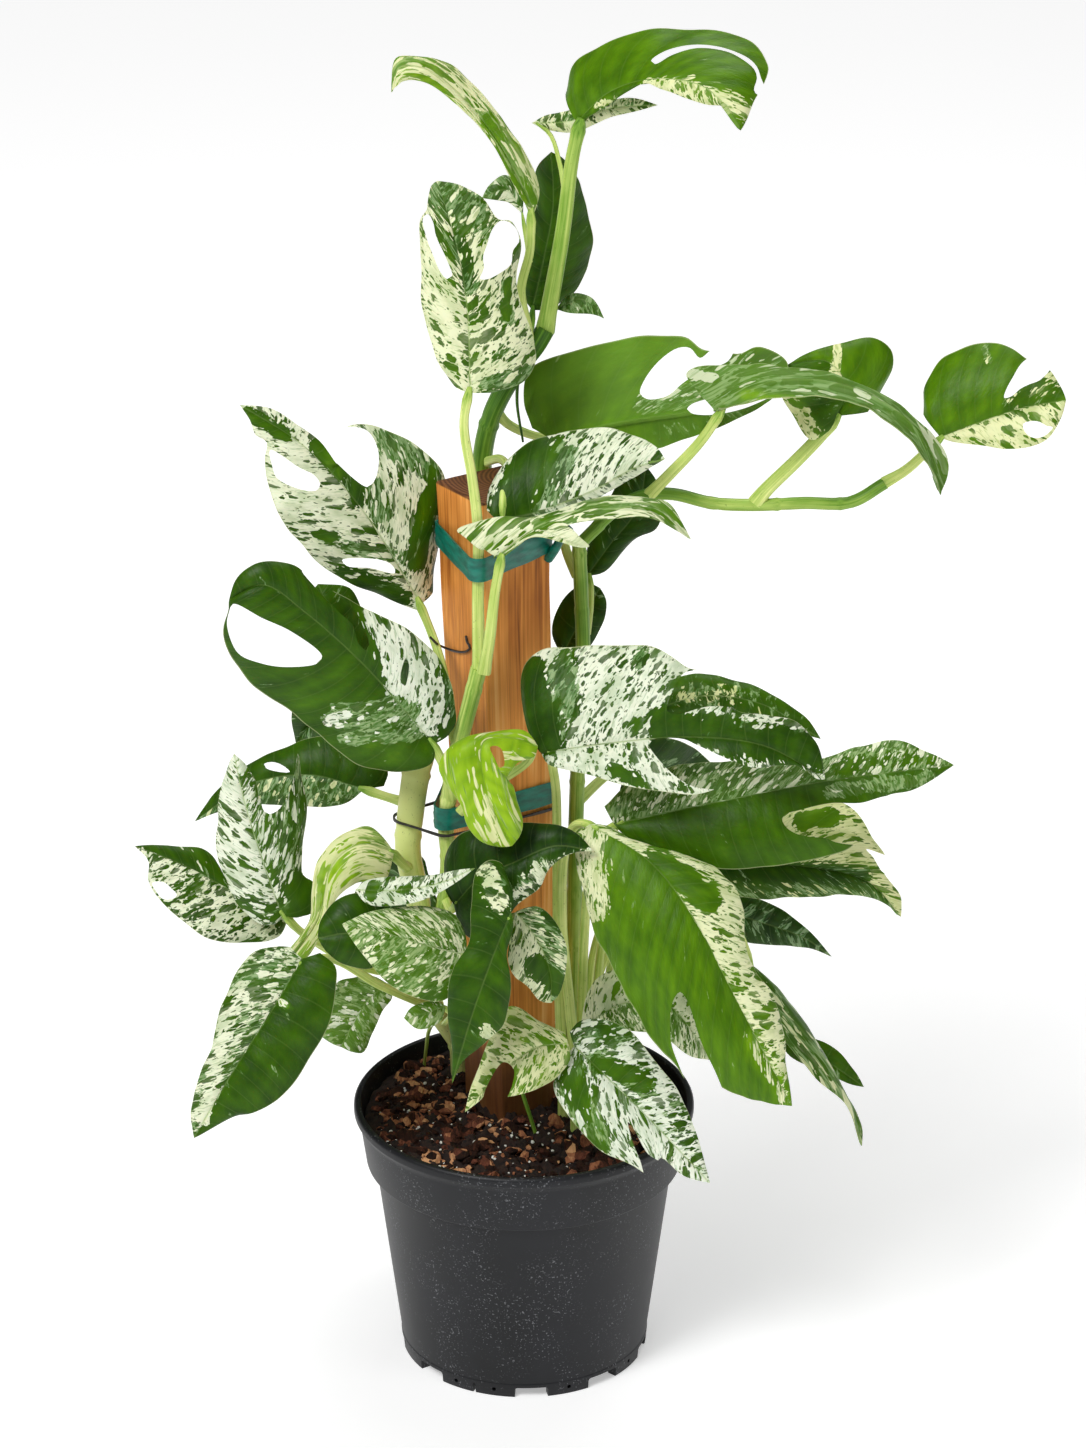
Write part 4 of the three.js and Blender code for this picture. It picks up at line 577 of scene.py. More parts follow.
@dataclass(frozen=True)
class BladeFinish:
    """Marbled leaf: cream and green flecks along the side veins, over a waxy skin.

    The mesh gives the shares of cream and grey and the tones of the green and of the cream.
    """

    name: str = "marbled_leaf"
    midrib_half_width: float = 0.0008
    edge: float = 0.03
    greens: Stops = ((0.0, 0x142D09), (0.25, 0x294B05), (0.5, 0x3F6802), (0.75, 0x5E8C06), (1.0, 0x96BE20))
    creams: tuple[int, int] = (0xECF1E2, 0xE6E9AE)
    grey_greens: tuple[int, int] = (0x3F6B3C, 0x6C9430)
    silvers: tuple[int, int] = (0x9DB996, 0xB9CE74)
    washes: tuple[int, int] = (0x8FAE86, 0x9DB450)
    vein_colour: int = 0x8FAE5A
    rib_colour: int = 0x9DB868
    rim_colour: int = 0xC4CD96
    underside: int = 0x6F9A34

    def flecks(self, shader: Shader, vector: bpy.types.NodeSocket, by: tuple[float, float, float],
               share: Value, size: float) -> Value:
        """Scattered long spots.

        Args:
            shader: the shader.
            vector: the skin coordinates.
            by: spots for each metre along each axis.
            share: the share of spots that show, from 0 to 1.
            size: their size as a share of their spacing.

        Returns:
            The spots' strength.
        """
        bend = shader.node("ShaderNodeTexNoise", {}, {"Vector": vector, "Scale": 210.0, "Detail": 2.0})
        moved = shader.node("ShaderNodeVectorMath", {"operation": "MULTIPLY_ADD"},
                            {0: bend.outputs["Color"], 1: (0.008, 0.004, 0), 2: vector})
        cells = shader.node("ShaderNodeTexVoronoi", {}, {
            "Vector": shader.scaled(moved.outputs[0], by), "Scale": 1.0})
        lot, spread, _ = shader.split(cells.outputs["Color"])
        reach = spread * spread * size + size * 0.35
        spot = shader.value(cells.outputs["Distance"]).step(reach + 0.03, reach - 0.03)
        return spot * (share - lot).step(0.0, 0.04)

    def material(self) -> bpy.types.Material:
        """Builds the material."""
        shader = Shader(self.name, Subsurface_Weight=0.05, Subsurface_Scale=0.003, IOR=1.45,
                        Specular_IOR_Level=0.17)
        vector = shader.attribute("skin").outputs["Vector"]
        side, across, phase = shader.split(shader.attribute("place").outputs["Vector"])
        paint = shader.attribute("paint")
        pale, grey, tone = shader.split(paint.outputs["Vector"])
        warm = shader.value(paint.outputs["Alpha"])
        under = shader.value(shader.attribute("under").outputs["Fac"])

        broad = shader.noise(vector, (30, 75, 1), 3, 0.6, 0.4)
        streak = shader.noise(vector, (105, 200, 1), 3, 0.62, 0.5, shift=(3.1, 7.7, 0))
        patch = pale + (broad - 0.5) * 1.3 + (streak - 0.5) * 1.3
        cream = patch.step(0.5 - self.edge, 0.5 + self.edge)
        cloud = shader.noise(vector, (50, 120, 1), 3, 0.6, 0.4, shift=(5.3, 0.7, 0))
        veil = (grey + (cloud - 0.5) * 2.4 + (streak - 0.5) * 0.8).step(0.46, 0.56)

        dark = (1.55 - pale) * 0.9 + (cloud - 0.5) * 2.2
        light = pale + 0.25 + (broad - 0.5) * 1.2
        dark_spots = self.flecks(shader, vector, (80, 140, 1), dark, 0.52).most(
            self.flecks(shader, vector, (160, 260, 1), dark, 0.46)).most(
            self.flecks(shader, vector, (320, 480, 1), dark - 0.1, 0.4))
        light_spots = self.flecks(shader, vector, (95, 190, 1), light, 0.46).most(
            self.flecks(shader, vector, (210, 360, 1), light, 0.4))

        blotch = shader.noise(vector, (60, 60, 1), 3, 0.6, shift=(2.2, 5.5, 0))
        cushion = phase.math("PINGPONG", 0.5) * 2
        # painted shade and light of the relief: the green is darker along the sunken side veins and lighter
        # on the raised cushions between them
        leaf_green = shader.ramp(tone + (blotch - 0.5) * 0.5 + (cushion - 0.6) * 0.1, self.greens)
        cream_tone = shader.blend(warm, *self.creams)
        thread = shader.noise(vector, (150, 560, 1), 2, 0.5, 0.6, shift=(1.2, 4.4, 0))
        wash = (blotch.step(0.42, 0.7) * 0.5).most(thread.step(0.53, 0.66) * 0.6)
        silver = (thread.step(0.38, 0.62) * 0.75).most(light_spots)
        middle = shader.blend(silver, shader.blend(tone, *self.grey_greens),
                              shader.blend(tone, *self.silvers))
        soft = shader.blend(wash, cream_tone, shader.blend(warm, *self.washes))
        green = shader.blend(veil * (1 - dark_spots * 0.85) * 0.9, leaf_green, middle)
        spotted = shader.blend(light_spots, green, soft)
        speckled = shader.blend(dark_spots * (cloud.step(0.3, 0.6) * 0.25 + 0.75), soft, leaf_green)
        colour = shader.blend(cream, spotted, speckled)

        vein = cushion.step(0.1, 0.0)
        colour = shader.blend(vein * 0.09, colour, self.vein_colour)
        rib = abs(across).step(self.midrib_half_width * 1.4, self.midrib_half_width * 0.5)
        colour = shader.blend(rib * (cream * 0.3 + 0.15), colour, self.rib_colour)
        rim = abs(side).step(0.982, 0.997)
        colour = shader.blend(rim * 0.5, colour, self.rim_colour)
        colour = shader.blend(under * 0.3, colour, self.underside)

        fine = shader.noise(vector, (900, 900, 1), 3, 0.6)
        net = shader.noise(vector, (260, 420, 1), 3, 0.55, shift=(0.5, 6.5, 0))
        height = cushion.step(0.0, 0.5) * 0.18 + fine * 0.1 + net * 0.8
        roughness = 0.4 + (net - 0.5) * 0.35 + under * 0.2 + cream * 0.06
        return shader.finish(colour, roughness, height, 0.0009, 0.5)


@dataclass(frozen=True)
class StalkFinish:
    """Leaf stalk or stem: pale to deep green, striped along its length."""

    name: str = "green_stalk"
    greens: Stops = ((0.0, 0xEAF29A), (0.3, 0xB8D068), (0.55, 0x7FA83C), (0.8, 0x4E7C20), (1.0, 0x2F5414))
    dot_colour: int = 0x3E661E

    def material(self) -> bpy.types.Material:
        """Builds the material."""
        shader = Shader(self.name, Subsurface_Weight=0.05, Subsurface_Scale=0.004, IOR=1.45,
                        Specular_IOR_Level=0.25)
        skin = shader.attribute("skin").outputs["Vector"]
        green = shader.value(shader.attribute("under").outputs["Fac"])
        stripe = shader.noise(skin, (620, 620, 9), 3, 0.55)
        blotch = shader.noise(skin, (90, 90, 42), 2, 0.5, shift=(4, 1, 2))
        dots = shader.noise(skin, (700, 700, 420), 2, 0.5, shift=(1, 5, 3))
        base = shader.ramp(green + (blotch - 0.5) * 0.35 + (stripe - 0.5) * 0.9, self.greens)
        colour = shader.blend(dots.step(0.66, 0.74) * 0.4, base, self.dot_colour)
        return shader.finish(colour, 0.42 + (blotch - 0.5) * 0.2, stripe * 0.8 + dots * 0.2, 0.0004, 0.4)


@dataclass(frozen=True)
class WoodFinish:
    """Weathered stake wood: golden, streaked along the grain, with dark end grain on top."""

    name: str = "stake_wood"
    top_z: float = 0.6885
    low_dark_z: float = 0.272
    sides: Stops = ((0.28, 0x7E4014), (0.4, 0xC0742C), (0.54, 0xE89A48), (0.7, 0xFFC87C))
    ends: Stops = ((0.2, 0x3E2415), (0.5, 0x6A4226), (0.8, 0x8A5A34))
    line_colour: int = 0x5A2E0E
    low_dark_colour: int = 0x4A2C1C

    def material(self) -> bpy.types.Material:
        """Builds the material."""
        shader = Shader(self.name, Specular_IOR_Level=0.25)
        place = shader.place()
        x, y, z = shader.split(place)
        slow = shader.noise(place, (9, 9, 3), 2, 0.5)
        drift = shader.node("ShaderNodeCombineXYZ", {}, {"X": slow * 0.012, "Y": slow * 0.009})
        bent = shader.node("ShaderNodeVectorMath", {"operation": "ADD"}, {0: place, 1: drift.outputs[0]})
        broad = shader.noise(bent.outputs[0], (85, 85, 2.2), 3, 0.6)
        fine = shader.noise(bent.outputs[0], (420, 420, 7), 3, 0.6)
        blotch = shader.noise(place, (22, 22, 9), 3, 0.55, shift=(3, 1, 2))
        grain = broad * 0.4 + fine * 0.45 + blotch * 0.5 - 0.19
        side = shader.ramp(grain, self.sides)
        dark_line = fine.step(0.36, 0.3) * broad.step(0.56, 0.4)
        side = shader.blend(dark_line * 0.75, side, self.line_colour)
        # the sides turn darker towards the foot, below about 0.27 m
        low_dark = (z + (blotch - 0.5) * 0.12).step(self.low_dark_z, self.low_dark_z - 0.05)
        side = shader.blend(low_dark * 0.85, side, self.low_dark_colour)
        ring = ((x * x + (y - 0.03) * (y - 0.03)).math("SQRT") * 290 + slow * 9).math("PINGPONG", 0.5) * 2
        end = shader.ramp(ring * 0.5 + fine * 0.5, self.ends)
        top = z.step(self.top_z - 0.0012, self.top_z + 0.0002)
        colour = shader.blend(top, side, end)
        return shader.finish(colour, 0.62 + (fine - 0.5) * 0.3, fine * 0.7 + broad * 0.3, 0.0008, 0.6)


@dataclass(frozen=True)
class PotFinish:
    """Black plastic with a faint bloom, pale dust specks and fine scuffs."""

    name: str = "black_plastic"
    blacks: tuple[int, int] = (0x131416, 0x1D1E22)
    dust_colour: int = 0x9A9CA0

    def material(self) -> bpy.types.Material:
        """Builds the material."""
        shader = Shader(self.name, Specular_IOR_Level=0.3)
        place = shader.place()
        bloom = shader.noise(place, (14, 14, 9), 3, 0.6)
        specks = shader.noise(place, (620, 620, 620), 2, 0.5)
        drift = shader.noise(place, (26, 26, 18), 3, 0.6, shift=(3, 0, 1))
        scuffs = shader.noise(place, (180, 180, 420), 3, 0.6, 1.4, shift=(1, 2, 5))
        dust = (specks.step(0.62, 0.68) * drift.step(0.4, 0.6)).most(
            scuffs.step(0.66, 0.72) * drift.step(0.46, 0.62))
        colour = shader.blend(bloom.step(0.3, 0.7), *self.blacks)
        colour = shader.blend(dust * 0.42, colour, self.dust_colour)
        return shader.finish(colour, 0.46 + (bloom - 0.5) * 0.2 + dust * 0.2, specks, 0.0001, 0.3)


@dataclass(frozen=True)
class BarkFinish:
    """Bark chips of many browns, fibrous and cracked."""

    name: str = "bark"
    browns: Stops = ((0.05, 0x140B08), (0.3, 0x30190F), (0.52, 0x66392A), (0.72, 0x9A6446), (0.95, 0xD09C70))

    def material(self) -> bpy.types.Material:
        """Builds the material."""
        shader = Shader(self.name, Specular_IOR_Level=0.2, Roughness=0.88)
        place = shader.place()
        lot = shader.node("ShaderNodeTexVoronoi", {}, {"Vector": place, "Scale": 110.0})
        chip, _, _ = shader.split(lot.outputs["Color"])
        fibre = shader.noise(place, (420, 150, 260), 4, 0.65, 0.6)
        tint = chip * chip * 0.85 + fibre * 0.7 - 0.2
        colour = shader.ramp(tint, self.browns)
        return shader.finish(colour, None, fibre, 0.0016, 0.8)


@dataclass(frozen=True)
class Leaf:
    """A leaf as seen: columns, rows and depths of its rib and stalk, and its margins.

    A margin point is the share of the rib at which its vein starts, a column and a row, and where
    the tilt doesn't give its depth, its height over the rib in mm.
    """

    rib: tuple[Seen, ...]
    left: tuple[Seen, ...]
    right: tuple[Seen, ...]
    stalk: tuple[Seen, ...]
    tilt: tuple[float, float]
    girth: tuple[float, float]
    on: str
    slots: tuple[tuple[Seen, ...], ...] = ()
    bow: float = 0.05


@dataclass(frozen=True)
class Stem:
    """A stem or vine: its path as seen from the foot up, radii at both ends, what it stands in."""

    path: tuple[Seen, ...]
    girth: tuple[float, float]
    foot: str


@dataclass(frozen=True)
class Patch:
    """A stretch of a blade, from one seen point to another, that is marked in its own way."""

    start: tuple[float, float]
    end: tuple[float, float]
    radius: float
    pale: float
    grey: float = 0
    tone: float = 0.5


@dataclass(frozen=True)
class Marking:
    """How a blade is marked: cream share, grey share and green tone of either half.

    The shares run from below 0, where there's none, to above 1, where there's nothing else.
    """

    left: tuple[float, float, float]
    right: tuple[float, float, float]
    warm: float = 0.4
    patches: tuple[Patch, ...] = ()
    seen: Face = Face.UPPER
    stalk_green: float = 0.2
    wave: float = 1.0
    lengthwise: bool = False


@dataclass
class Blade:
    """A leaf's blade as a fine closed sheet."""

    name: str
    leaf: Leaf
    marking: Marking
    seed: int
    thickness: float = 0.7
    row_step: float = 4.0
    columns: int = 11
    near_rib: tuple[float, float] = (0.9, 2.1)
    column_mm: float = 0.74
    lean: float = 0.3
    vein_spacing: float = 13.0
    vein_sweep: float = 0.22
    quilt: float = 0.3
    groove: float = 0.45
    wave_length: float = 38.0
    fleck_sweep: float = 0.55
    slot_reach: float = 130.0
    bulge: float = 0.06
    droop: float = 0.07
    rib_width: float = 1.5
    half_blend: float = 1.2
    quilt_reach: float = 6.0
    wave_reach: float = 25.0
    edge_wave: float = 1.1
    slow_wave: float = 1.2
    lengthwise_stretch: float = 0.3
    lot_step: float = 3.7

    def __post_init__(self) -> None:
        """Measures the rib."""
        self.rib = Curve(np.array(self.leaf.rib, float))
        world = SIGHT.place(self.rib.samples)
        self.rib_mm = float(np.linalg.norm(np.diff(world, axis=0), axis=1).sum())
        self.rib_count = max(10, round(self.rib.length / self.row_step))

    def margin(self, veins: tuple[Seen, ...], tilt: float) -> tuple[np.ndarray, bool]:
        """Follows one margin from the base to the tip.

        Args:
            veins: the margin's seen points.
            tilt: how far the half leans to the viewer.

        Returns:
            Rows of column, row, height over the rib and rib share, and whether the first row
            is gathered on the rib.
        """
        rows = []
        for foot, column, row, *lift in veins:
            start = self.rib.at(foot)[0]
            width = math.hypot(column - start[0], row - start[1]) * self.column_mm
            rise = lift[0] if lift else tilt * width + self.lean * (row - start[1]) * self.column_mm
            rows.append((column, row, rise, foot * 100))
        gathered = veins[0][0] > 0
        base = self.rib.at(0)[0]
        tip = self.rib.at(1)[0]
        if gathered:
            rows.insert(0, (base[0], base[1], 0, 0))
        rows.append((tip[0], tip[1], 0, 100))
        table = np.array(rows, float)
        spans = np.linalg.norm(np.diff(table[:, :2], axis=0), axis=1)
        fine = smooth_pieces(table, [max(2, round(s / self.row_step)) for s in spans])
        fine[:, 3] = np.clip(np.maximum.accumulate(fine[:, 3]), 0, 100) / 100
        return fine, gathered

    def half(self, side: int) -> tuple[np.ndarray, np.ndarray, np.ndarray, bool]:
        """Samples one half of the blade.

        Args:
            side: 0 for the left half and 1 for the right.

        Returns:
            Seen points by row and column, their rib shares and widths as rib share, distance from
            the rib in mm, share of the width and vein place, and whether the first row is gathered.
        """
        veins = self.leaf.right if side else self.leaf.left
        margin, gathered = self.margin(veins, self.leaf.tilt[side])
        foot = margin[:, 3]
        start = self.rib.at(foot)
        end = np.column_stack([margin[:, 0], margin[:, 1], start[:, 2] + margin[:, 2]])
        width = np.linalg.norm(end[:, :2] - start[:, :2], axis=1) * self.column_mm
        safe = np.maximum(width, 1e-3)
        close = [np.minimum(near / safe, (i + 1) * 0.3 / self.columns)
                 for i, near in enumerate(self.near_rib)]
        even = [np.full(len(foot), k / self.columns) for k in range(1, self.columns + 1)]
        share = np.stack(close + even, axis=1)
        seen = start[:, None] + (end - start)[:, None] * share[..., None]
        seen[..., 2] += self.leaf.bow * width[:, None] * 4 * share * (1 - share)
        run = np.concatenate([[0], np.cumsum(np.linalg.norm(np.diff(margin[:, :2], axis=0), axis=1))])
        along = 0.5 * (foot + run / run[-1]) * self.rib_mm
        facts = np.stack([np.broadcast_to(foot[:, None], share.shape), width[:, None] * share, share,
                          np.broadcast_to(along[:, None], share.shape)], axis=-1)
        return seen, facts, foot, gathered

    def sheet(self) -> tuple[np.ndarray, np.ndarray, list[Ring]]:
        """Samples the whole blade.

        Returns:
            Seen points, facts for each one with the side's sign in the second and third, and
            faces on one side.
        """
        shares = np.linspace(0, 1, self.rib_count + 1)
        points = [self.rib.at(shares)]
        facts = [np.column_stack([shares, shares * 0, shares * 0, shares * self.rib_mm])]
        count = len(shares)
        faces: list[Ring] = []
        for side in (0, 1):
            seen, known, foot, gathered = self.half(side)
            rows, columns = seen.shape[:2]
            index = np.arange(rows * columns).reshape(rows, columns)
            first = 1 if gathered else 0
            kept = slice(first, rows - 1)
            index = index - first * columns + count
            index[rows - 1] = self.rib_count
            if gathered:
                index[0] = 0
            sign = 1 if side else -1
            known = known * np.array([1, sign, sign, 1])
            points.append(seen[kept].reshape(-1, 3))
            facts.append(known[kept].reshape(-1, 4))
            count += (rows - 1 - first) * columns
            faces += self.strips(index, foot, shares, side)
        return np.vstack(points), np.vstack(facts), faces

    def strips(self, index: np.ndarray, foot: np.ndarray, shares: np.ndarray, side: int
               ) -> list[Ring]:
        """Joins one half's points to the rib and to each other.

        Args:
            index: point numbers by row and column.
            foot: the rib share of each row.
            shares: the rib shares of the rib's own points.
            side: 0 for the left half and 1 for the right.

        Returns:
            The faces, all on one side of the blade.
        """
        raw = []
        i, j = 0, 0
        while i < len(foot) - 1 or j < len(shares) - 1:
            ahead = j == len(shares) - 1 or (i < len(foot) - 1 and foot[i + 1] <= shares[j + 1])
            if ahead:
                raw.append((index[i, 0], j, index[i + 1, 0]))
                i += 1
            else:
                raw.append((index[i, 0], j, j + 1))
                j += 1
        for a, b in zip(index[:-1], index[1:]):
            raw += zip(a[:-1], b[:-1], b[1:], a[1:])
        faces = []
        for face in raw:
            corners = list(dict.fromkeys(int(v) for v in face))
            if len(corners) > 2:
                faces.append(tuple(corners[::-1] if side else corners))
        return faces

    def normals(self, points: np.ndarray, faces: list[Ring]) -> np.ndarray:
        """Normals of a sheet at its points, in mm space.

        Args:
            points: the points.
            faces: triangles and quads.

        Returns:
            One unit vector for each point.
        """
        total = np.zeros_like(points)
        for size, tail in ((3, 0), (4, 1)):
            table = np.array([f for f in faces if len(f) == size])
            if len(table) == 0:
                continue
            p = points[table]
            normal = np.cross(p[:, size - 2] - p[:, 0], p[:, size - 1] - p[:, tail])
            for k in range(size):
                np.add.at(total, table[:, k], normal)
        return unit(total)

    def painted(self, seen: np.ndarray, facts: np.ndarray) -> np.ndarray:
        """The marking at each point.

        Args:
            seen: the seen points.
            facts: what is known of each.

        Returns:
            Cream share, grey share, green tone and warmth, one row for each point.
        """
        mark = self.marking
        side = ease(facts[:, 1], -self.half_blend, self.half_blend)[:, None]
        paint = np.array(mark.left) * (1 - side) + np.array(mark.right) * side
        for patch in mark.patches:
            a, b = np.array(patch.start, float), np.array(patch.end, float)
            line = b - a
            t = np.clip((seen[:, :2] - a) @ line / max(line @ line, 1e-6), 0, 1)
            away = np.linalg.norm(seen[:, :2] - (a + t[:, None] * line), axis=1)
            weight = (1 - ease(away, patch.radius * 0.35, patch.radius * 1.6))[:, None]
            paint = paint * (1 - weight) + np.array([patch.pale, patch.grey, patch.tone]) * weight
        return np.column_stack([paint, np.full(len(paint), mark.warm)])

    def relief(self, facts: np.ndarray, phase: np.ndarray) -> np.ndarray:
        """Height of the sheet over its plain form, towards the upper face.

        Args:
            facts: what is known of each point.
            phase: the vein number, whole on a vein.

        Returns:
            Heights in mm.
        """
        foot, across, side, _ = facts.T
        t = np.abs(side)
        rng = np.random.default_rng(self.seed + 11)
        shift = rng.uniform(0, 6.28, 4)[:3]
        body = np.minimum(np.abs(across) / self.quilt_reach, 1) * (1 - 0.6 * t ** 4)
        cushions = (0.5 - 0.5 * np.cos(2 * np.pi * phase)) * self.quilt * body
        turn = 2 * np.pi * facts[:, 3] / self.wave_length
        wave = np.sin(turn + shift[0] + np.sign(across) * 1.3) + 0.5 * np.sin(1.83 * turn + shift[1])
        fade = np.minimum(np.abs(across) / self.wave_reach, 1)
        edge = wave * self.edge_wave * self.marking.wave * t ** 2.2 * fade
        slow = self.slow_wave * np.sin(foot * 7 + shift[2]) * t * fade
        width = np.abs(across) / np.maximum(t, 1e-3)
        bulge = width * (self.bulge * 4 * t * (1 - t) - self.droop * t ** 3)
        return cushions + edge + slow + bulge - self.groove * np.exp(-(across / self.rib_width) ** 2)

    def solid(self) -> Shell:
        """Thickens the sheet into a closed shell in mm, with its values.

        Returns:
            The shell.
        """
        seen, facts, faces = self.sheet()
        points = SIGHT.place(seen)
        normal = self.normals(points, faces)
        if np.einsum("ij,ij->i", normal, SIGHT.eye() - points).sum() < 0:
            faces = [face[::-1] for face in faces]
            normal = -normal
        up = 1 if self.marking.seen is Face.UPPER else -1
        sweep = self.vein_sweep * np.abs(facts[:, 1]) * np.abs(facts[:, 2])
        phase = (facts[:, 3] - sweep) / self.vein_spacing
        phase = phase + 0.3 * np.sin(phase * 0.9 + self.seed) + 0.45 * (facts[:, 1] < 0)
        points = points + normal * (up * self.relief(facts, phase))[:, None]
        normal = self.normals(points, faces)
        taper = (1 - facts[:, 0]) ** 0.7
        ridge = (0.5 + self.leaf.girth[1] * 0.6 * taper) * np.exp(-(facts[:, 1] / self.rib_width) ** 2)
        ridge *= facts[:, 0] < 0.985
        upper = points + normal * up * self.thickness / 2
        lower = points - normal * up * (self.thickness / 2 + ridge)[:, None]
        front, back = (upper, lower) if up > 0 else (lower, upper)
        paint = self.painted(seen, facts)
        across = facts[:, 1] * MM
        along = facts[:, 3] * MM - self.fleck_sweep * np.abs(across)
        lot = np.full(len(facts), self.seed * self.lot_step)
        stretched = facts[:, 3] * MM * self.lengthwise_stretch
        skin = np.column_stack([stretched, across, lot] if self.marking.lengthwise else [across, along, lot])
        place = np.column_stack([facts[:, 2], across, phase])
        under = np.full((len(points), 1), 0.0 if up > 0 else 1.0)
        count = len(points)
        shell = faces + [tuple(v + count for v in face[::-1]) for face in faces]
        shell += self.walls(faces, count)
        out = Shell()
        out.add(np.vstack([front, back]), shell, 0, skin=np.vstack([skin, skin]),
                place=np.vstack([place, place]), paint=np.vstack([paint, paint]),
                under=np.vstack([under, 1 - under]))
        return out

    def walls(self, faces: list[Ring], count: int) -> list[Ring]:
        """The rim between both faces.

        Args:
            faces: the front face's polygons.
            count: how far on the back's point numbers are.

        Returns:
            The rim's quads.
        """
        edges = {(a, b): None for face in faces for a, b in zip(face, face[1:] + face[:1])}
        return [(a, a + count, b + count, b) for a, b in edges if (b, a) not in edges]

    def slot_shape(self, outline: tuple[Seen, ...]) -> bpy.types.Mesh:
        """The shape that cuts one slot or hole, along the line of sight.

        Args:
            outline: its seen outline.

        Returns:
            A closed mesh in metres.
        """
        ring = np.array(outline, float)
        spans = np.linalg.norm(np.roll(ring, -1, axis=0) - ring, axis=1)
        ring = smooth_pieces(ring, [max(1, round(s / 4)) for s in spans], closed=True)
        depth = self.rib.at(0.5)[0][2]
        rings = [SIGHT.place(np.column_stack([ring, np.full(len(ring), depth + way)]))
                 for way in (-self.slot_reach, self.slot_reach)]
        points, faces = prism(rings)
        shell = Shell()
        across = np.roll(ring, -1, axis=0)
        area = float((ring[:, 0] * across[:, 1] - ring[:, 1] * across[:, 0]).sum())
        if area > 0:
            faces = [face[::-1] for face in faces]
        rows = len(points)
        shell.add(points, faces, 0, skin=np.zeros((rows, 3)), place=np.tile([1.0, 0.5, 0.25], (rows, 1)),
                  paint=np.tile([0.6, 0.5, 0.6, 0.5], (rows, 1)), under=np.ones((rows, 1)))
        return shell.mesh("slot")

    def mesh(self) -> bpy.types.Mesh:
        """The finished blade, with its slots cut."""
        made = to_corners(self.solid().mesh(self.name))
        for outline in self.leaf.slots:
            made = cut(made, to_corners(self.slot_shape(outline)))
        return made


def to_corners(mesh: bpy.types.Mesh) -> bpy.types.Mesh:
    """Moves a mesh's values from its points to its face corners, where a cut keeps them.

    Args:
        mesh: the mesh.

    Returns:
        The same mesh.
    """
    loops = np.empty(len(mesh.loops), np.int32)
    mesh.loops.foreach_get("vertex_index", loops)
    found = [(a.name, a.data_type) for a in mesh.attributes if a.domain == "POINT" and a.name != "position"
             and not a.name.startswith(".")]
    for name, kind in found:
        width, field = LAYERS[kind]
        rows = np.empty(len(mesh.vertices) * width, np.float32)
        mesh.attributes[name].data.foreach_get(field, rows)
        mesh.attributes.remove(mesh.attributes[name])
        layer = mesh.attributes.new(name, kind, "CORNER")
        layer.data.foreach_set(field, rows.reshape(-1, width)[loops].ravel())
    return mesh


def tube(path: np.ndarray, radii: np.ndarray, sides: int, green: float | np.ndarray,
         groove: float = 0.0) -> Shell:
    """A round, closed rod along points.

    Args:
        path: the middle, one row each, in mm.
        radii: the radius at each point.
        sides: corners of the cross-section.
        green: how green it is, one value or one for each point.
        groove: depth of the channel along its upper side, as a share of the radius.

    Returns:
        The rod.
    """
    ahead = unit(np.gradient(path, axis=0))
    side = np.array([0.0, -1.0, 0.35])
    angle = 2 * np.pi * np.arange(sides) / sides
    east, north = np.cos(angle), np.sin(angle)
    rings = []
    for point, way, radius in zip(path, ahead, radii):
        side = side - way * float(side @ way)
        side = side / max(float(np.linalg.norm(side)), 1e-9)
        other = np.cross(way, side)
        reach = radius * (1 - groove * np.exp(-((east - 1) / 0.16) ** 2))
        rings.append(point + reach[:, None] * (east[:, None] * side + north[:, None] * other))
    points, faces = prism(rings)
    along = np.concatenate([[0], np.cumsum(np.linalg.norm(np.diff(path, axis=0), axis=1))])
    skin = np.column_stack([(radii[:, None] * east).ravel(), (radii[:, None] * north).ravel(),
                            np.repeat(along, sides)]) * MM
    tint = np.repeat(np.broadcast_to(np.asarray(green, float), (len(path),)), sides)[:, None]
    shell = Shell()
    shell.add(points, faces, 1, skin=skin, under=tint, place=np.zeros((len(points), 3)),
              paint=np.zeros((len(points), 4)))
    return shell


def in_slot(mesh: bpy.types.Mesh, slot: int) -> bpy.types.Mesh:
    """The mesh with all its faces in one material slot."""
    mesh.polygons.foreach_set("material_index", np.full(len(mesh.polygons), slot, np.int32))
    return mesh


def spread(path: np.ndarray, step: float) -> np.ndarray:
    """Points of a smooth curve, a step apart or a little less."""
    curve = Curve(path)
    return curve.at(np.linspace(0, 1, max(4, math.ceil(curve.length / step)) + 1))


def fuse(parts: list[bpy.types.Object]) -> None:
    """Joins objects into the first one."""
    if len(parts) > 1:
        with bpy.context.temp_override(active_object=parts[0], object=parts[0],
                                       selected_editable_objects=parts, selected_objects=parts):
            bpy.ops.object.join()


def joined(name: str, meshes: list[bpy.types.Mesh], materials: list[bpy.types.Material],
           angle: float = 50) -> bpy.types.Object:
    """Makes one object of several meshes with the same value layers.

    Args:
        name: the object's name.
        meshes: the meshes.
        materials: the materials, in the order of the faces' slots.
        angle: edges sharper than this many degrees stay sharp.

    Returns:
        The object, at the origin.
    """
    parts = [put(mesh, f"{name}_{i}", materials, angle) for i, mesh in enumerate(meshes)]
    fuse(parts)
    parts[0].name = name
    parts[0].data.name = name
    return parts[0]


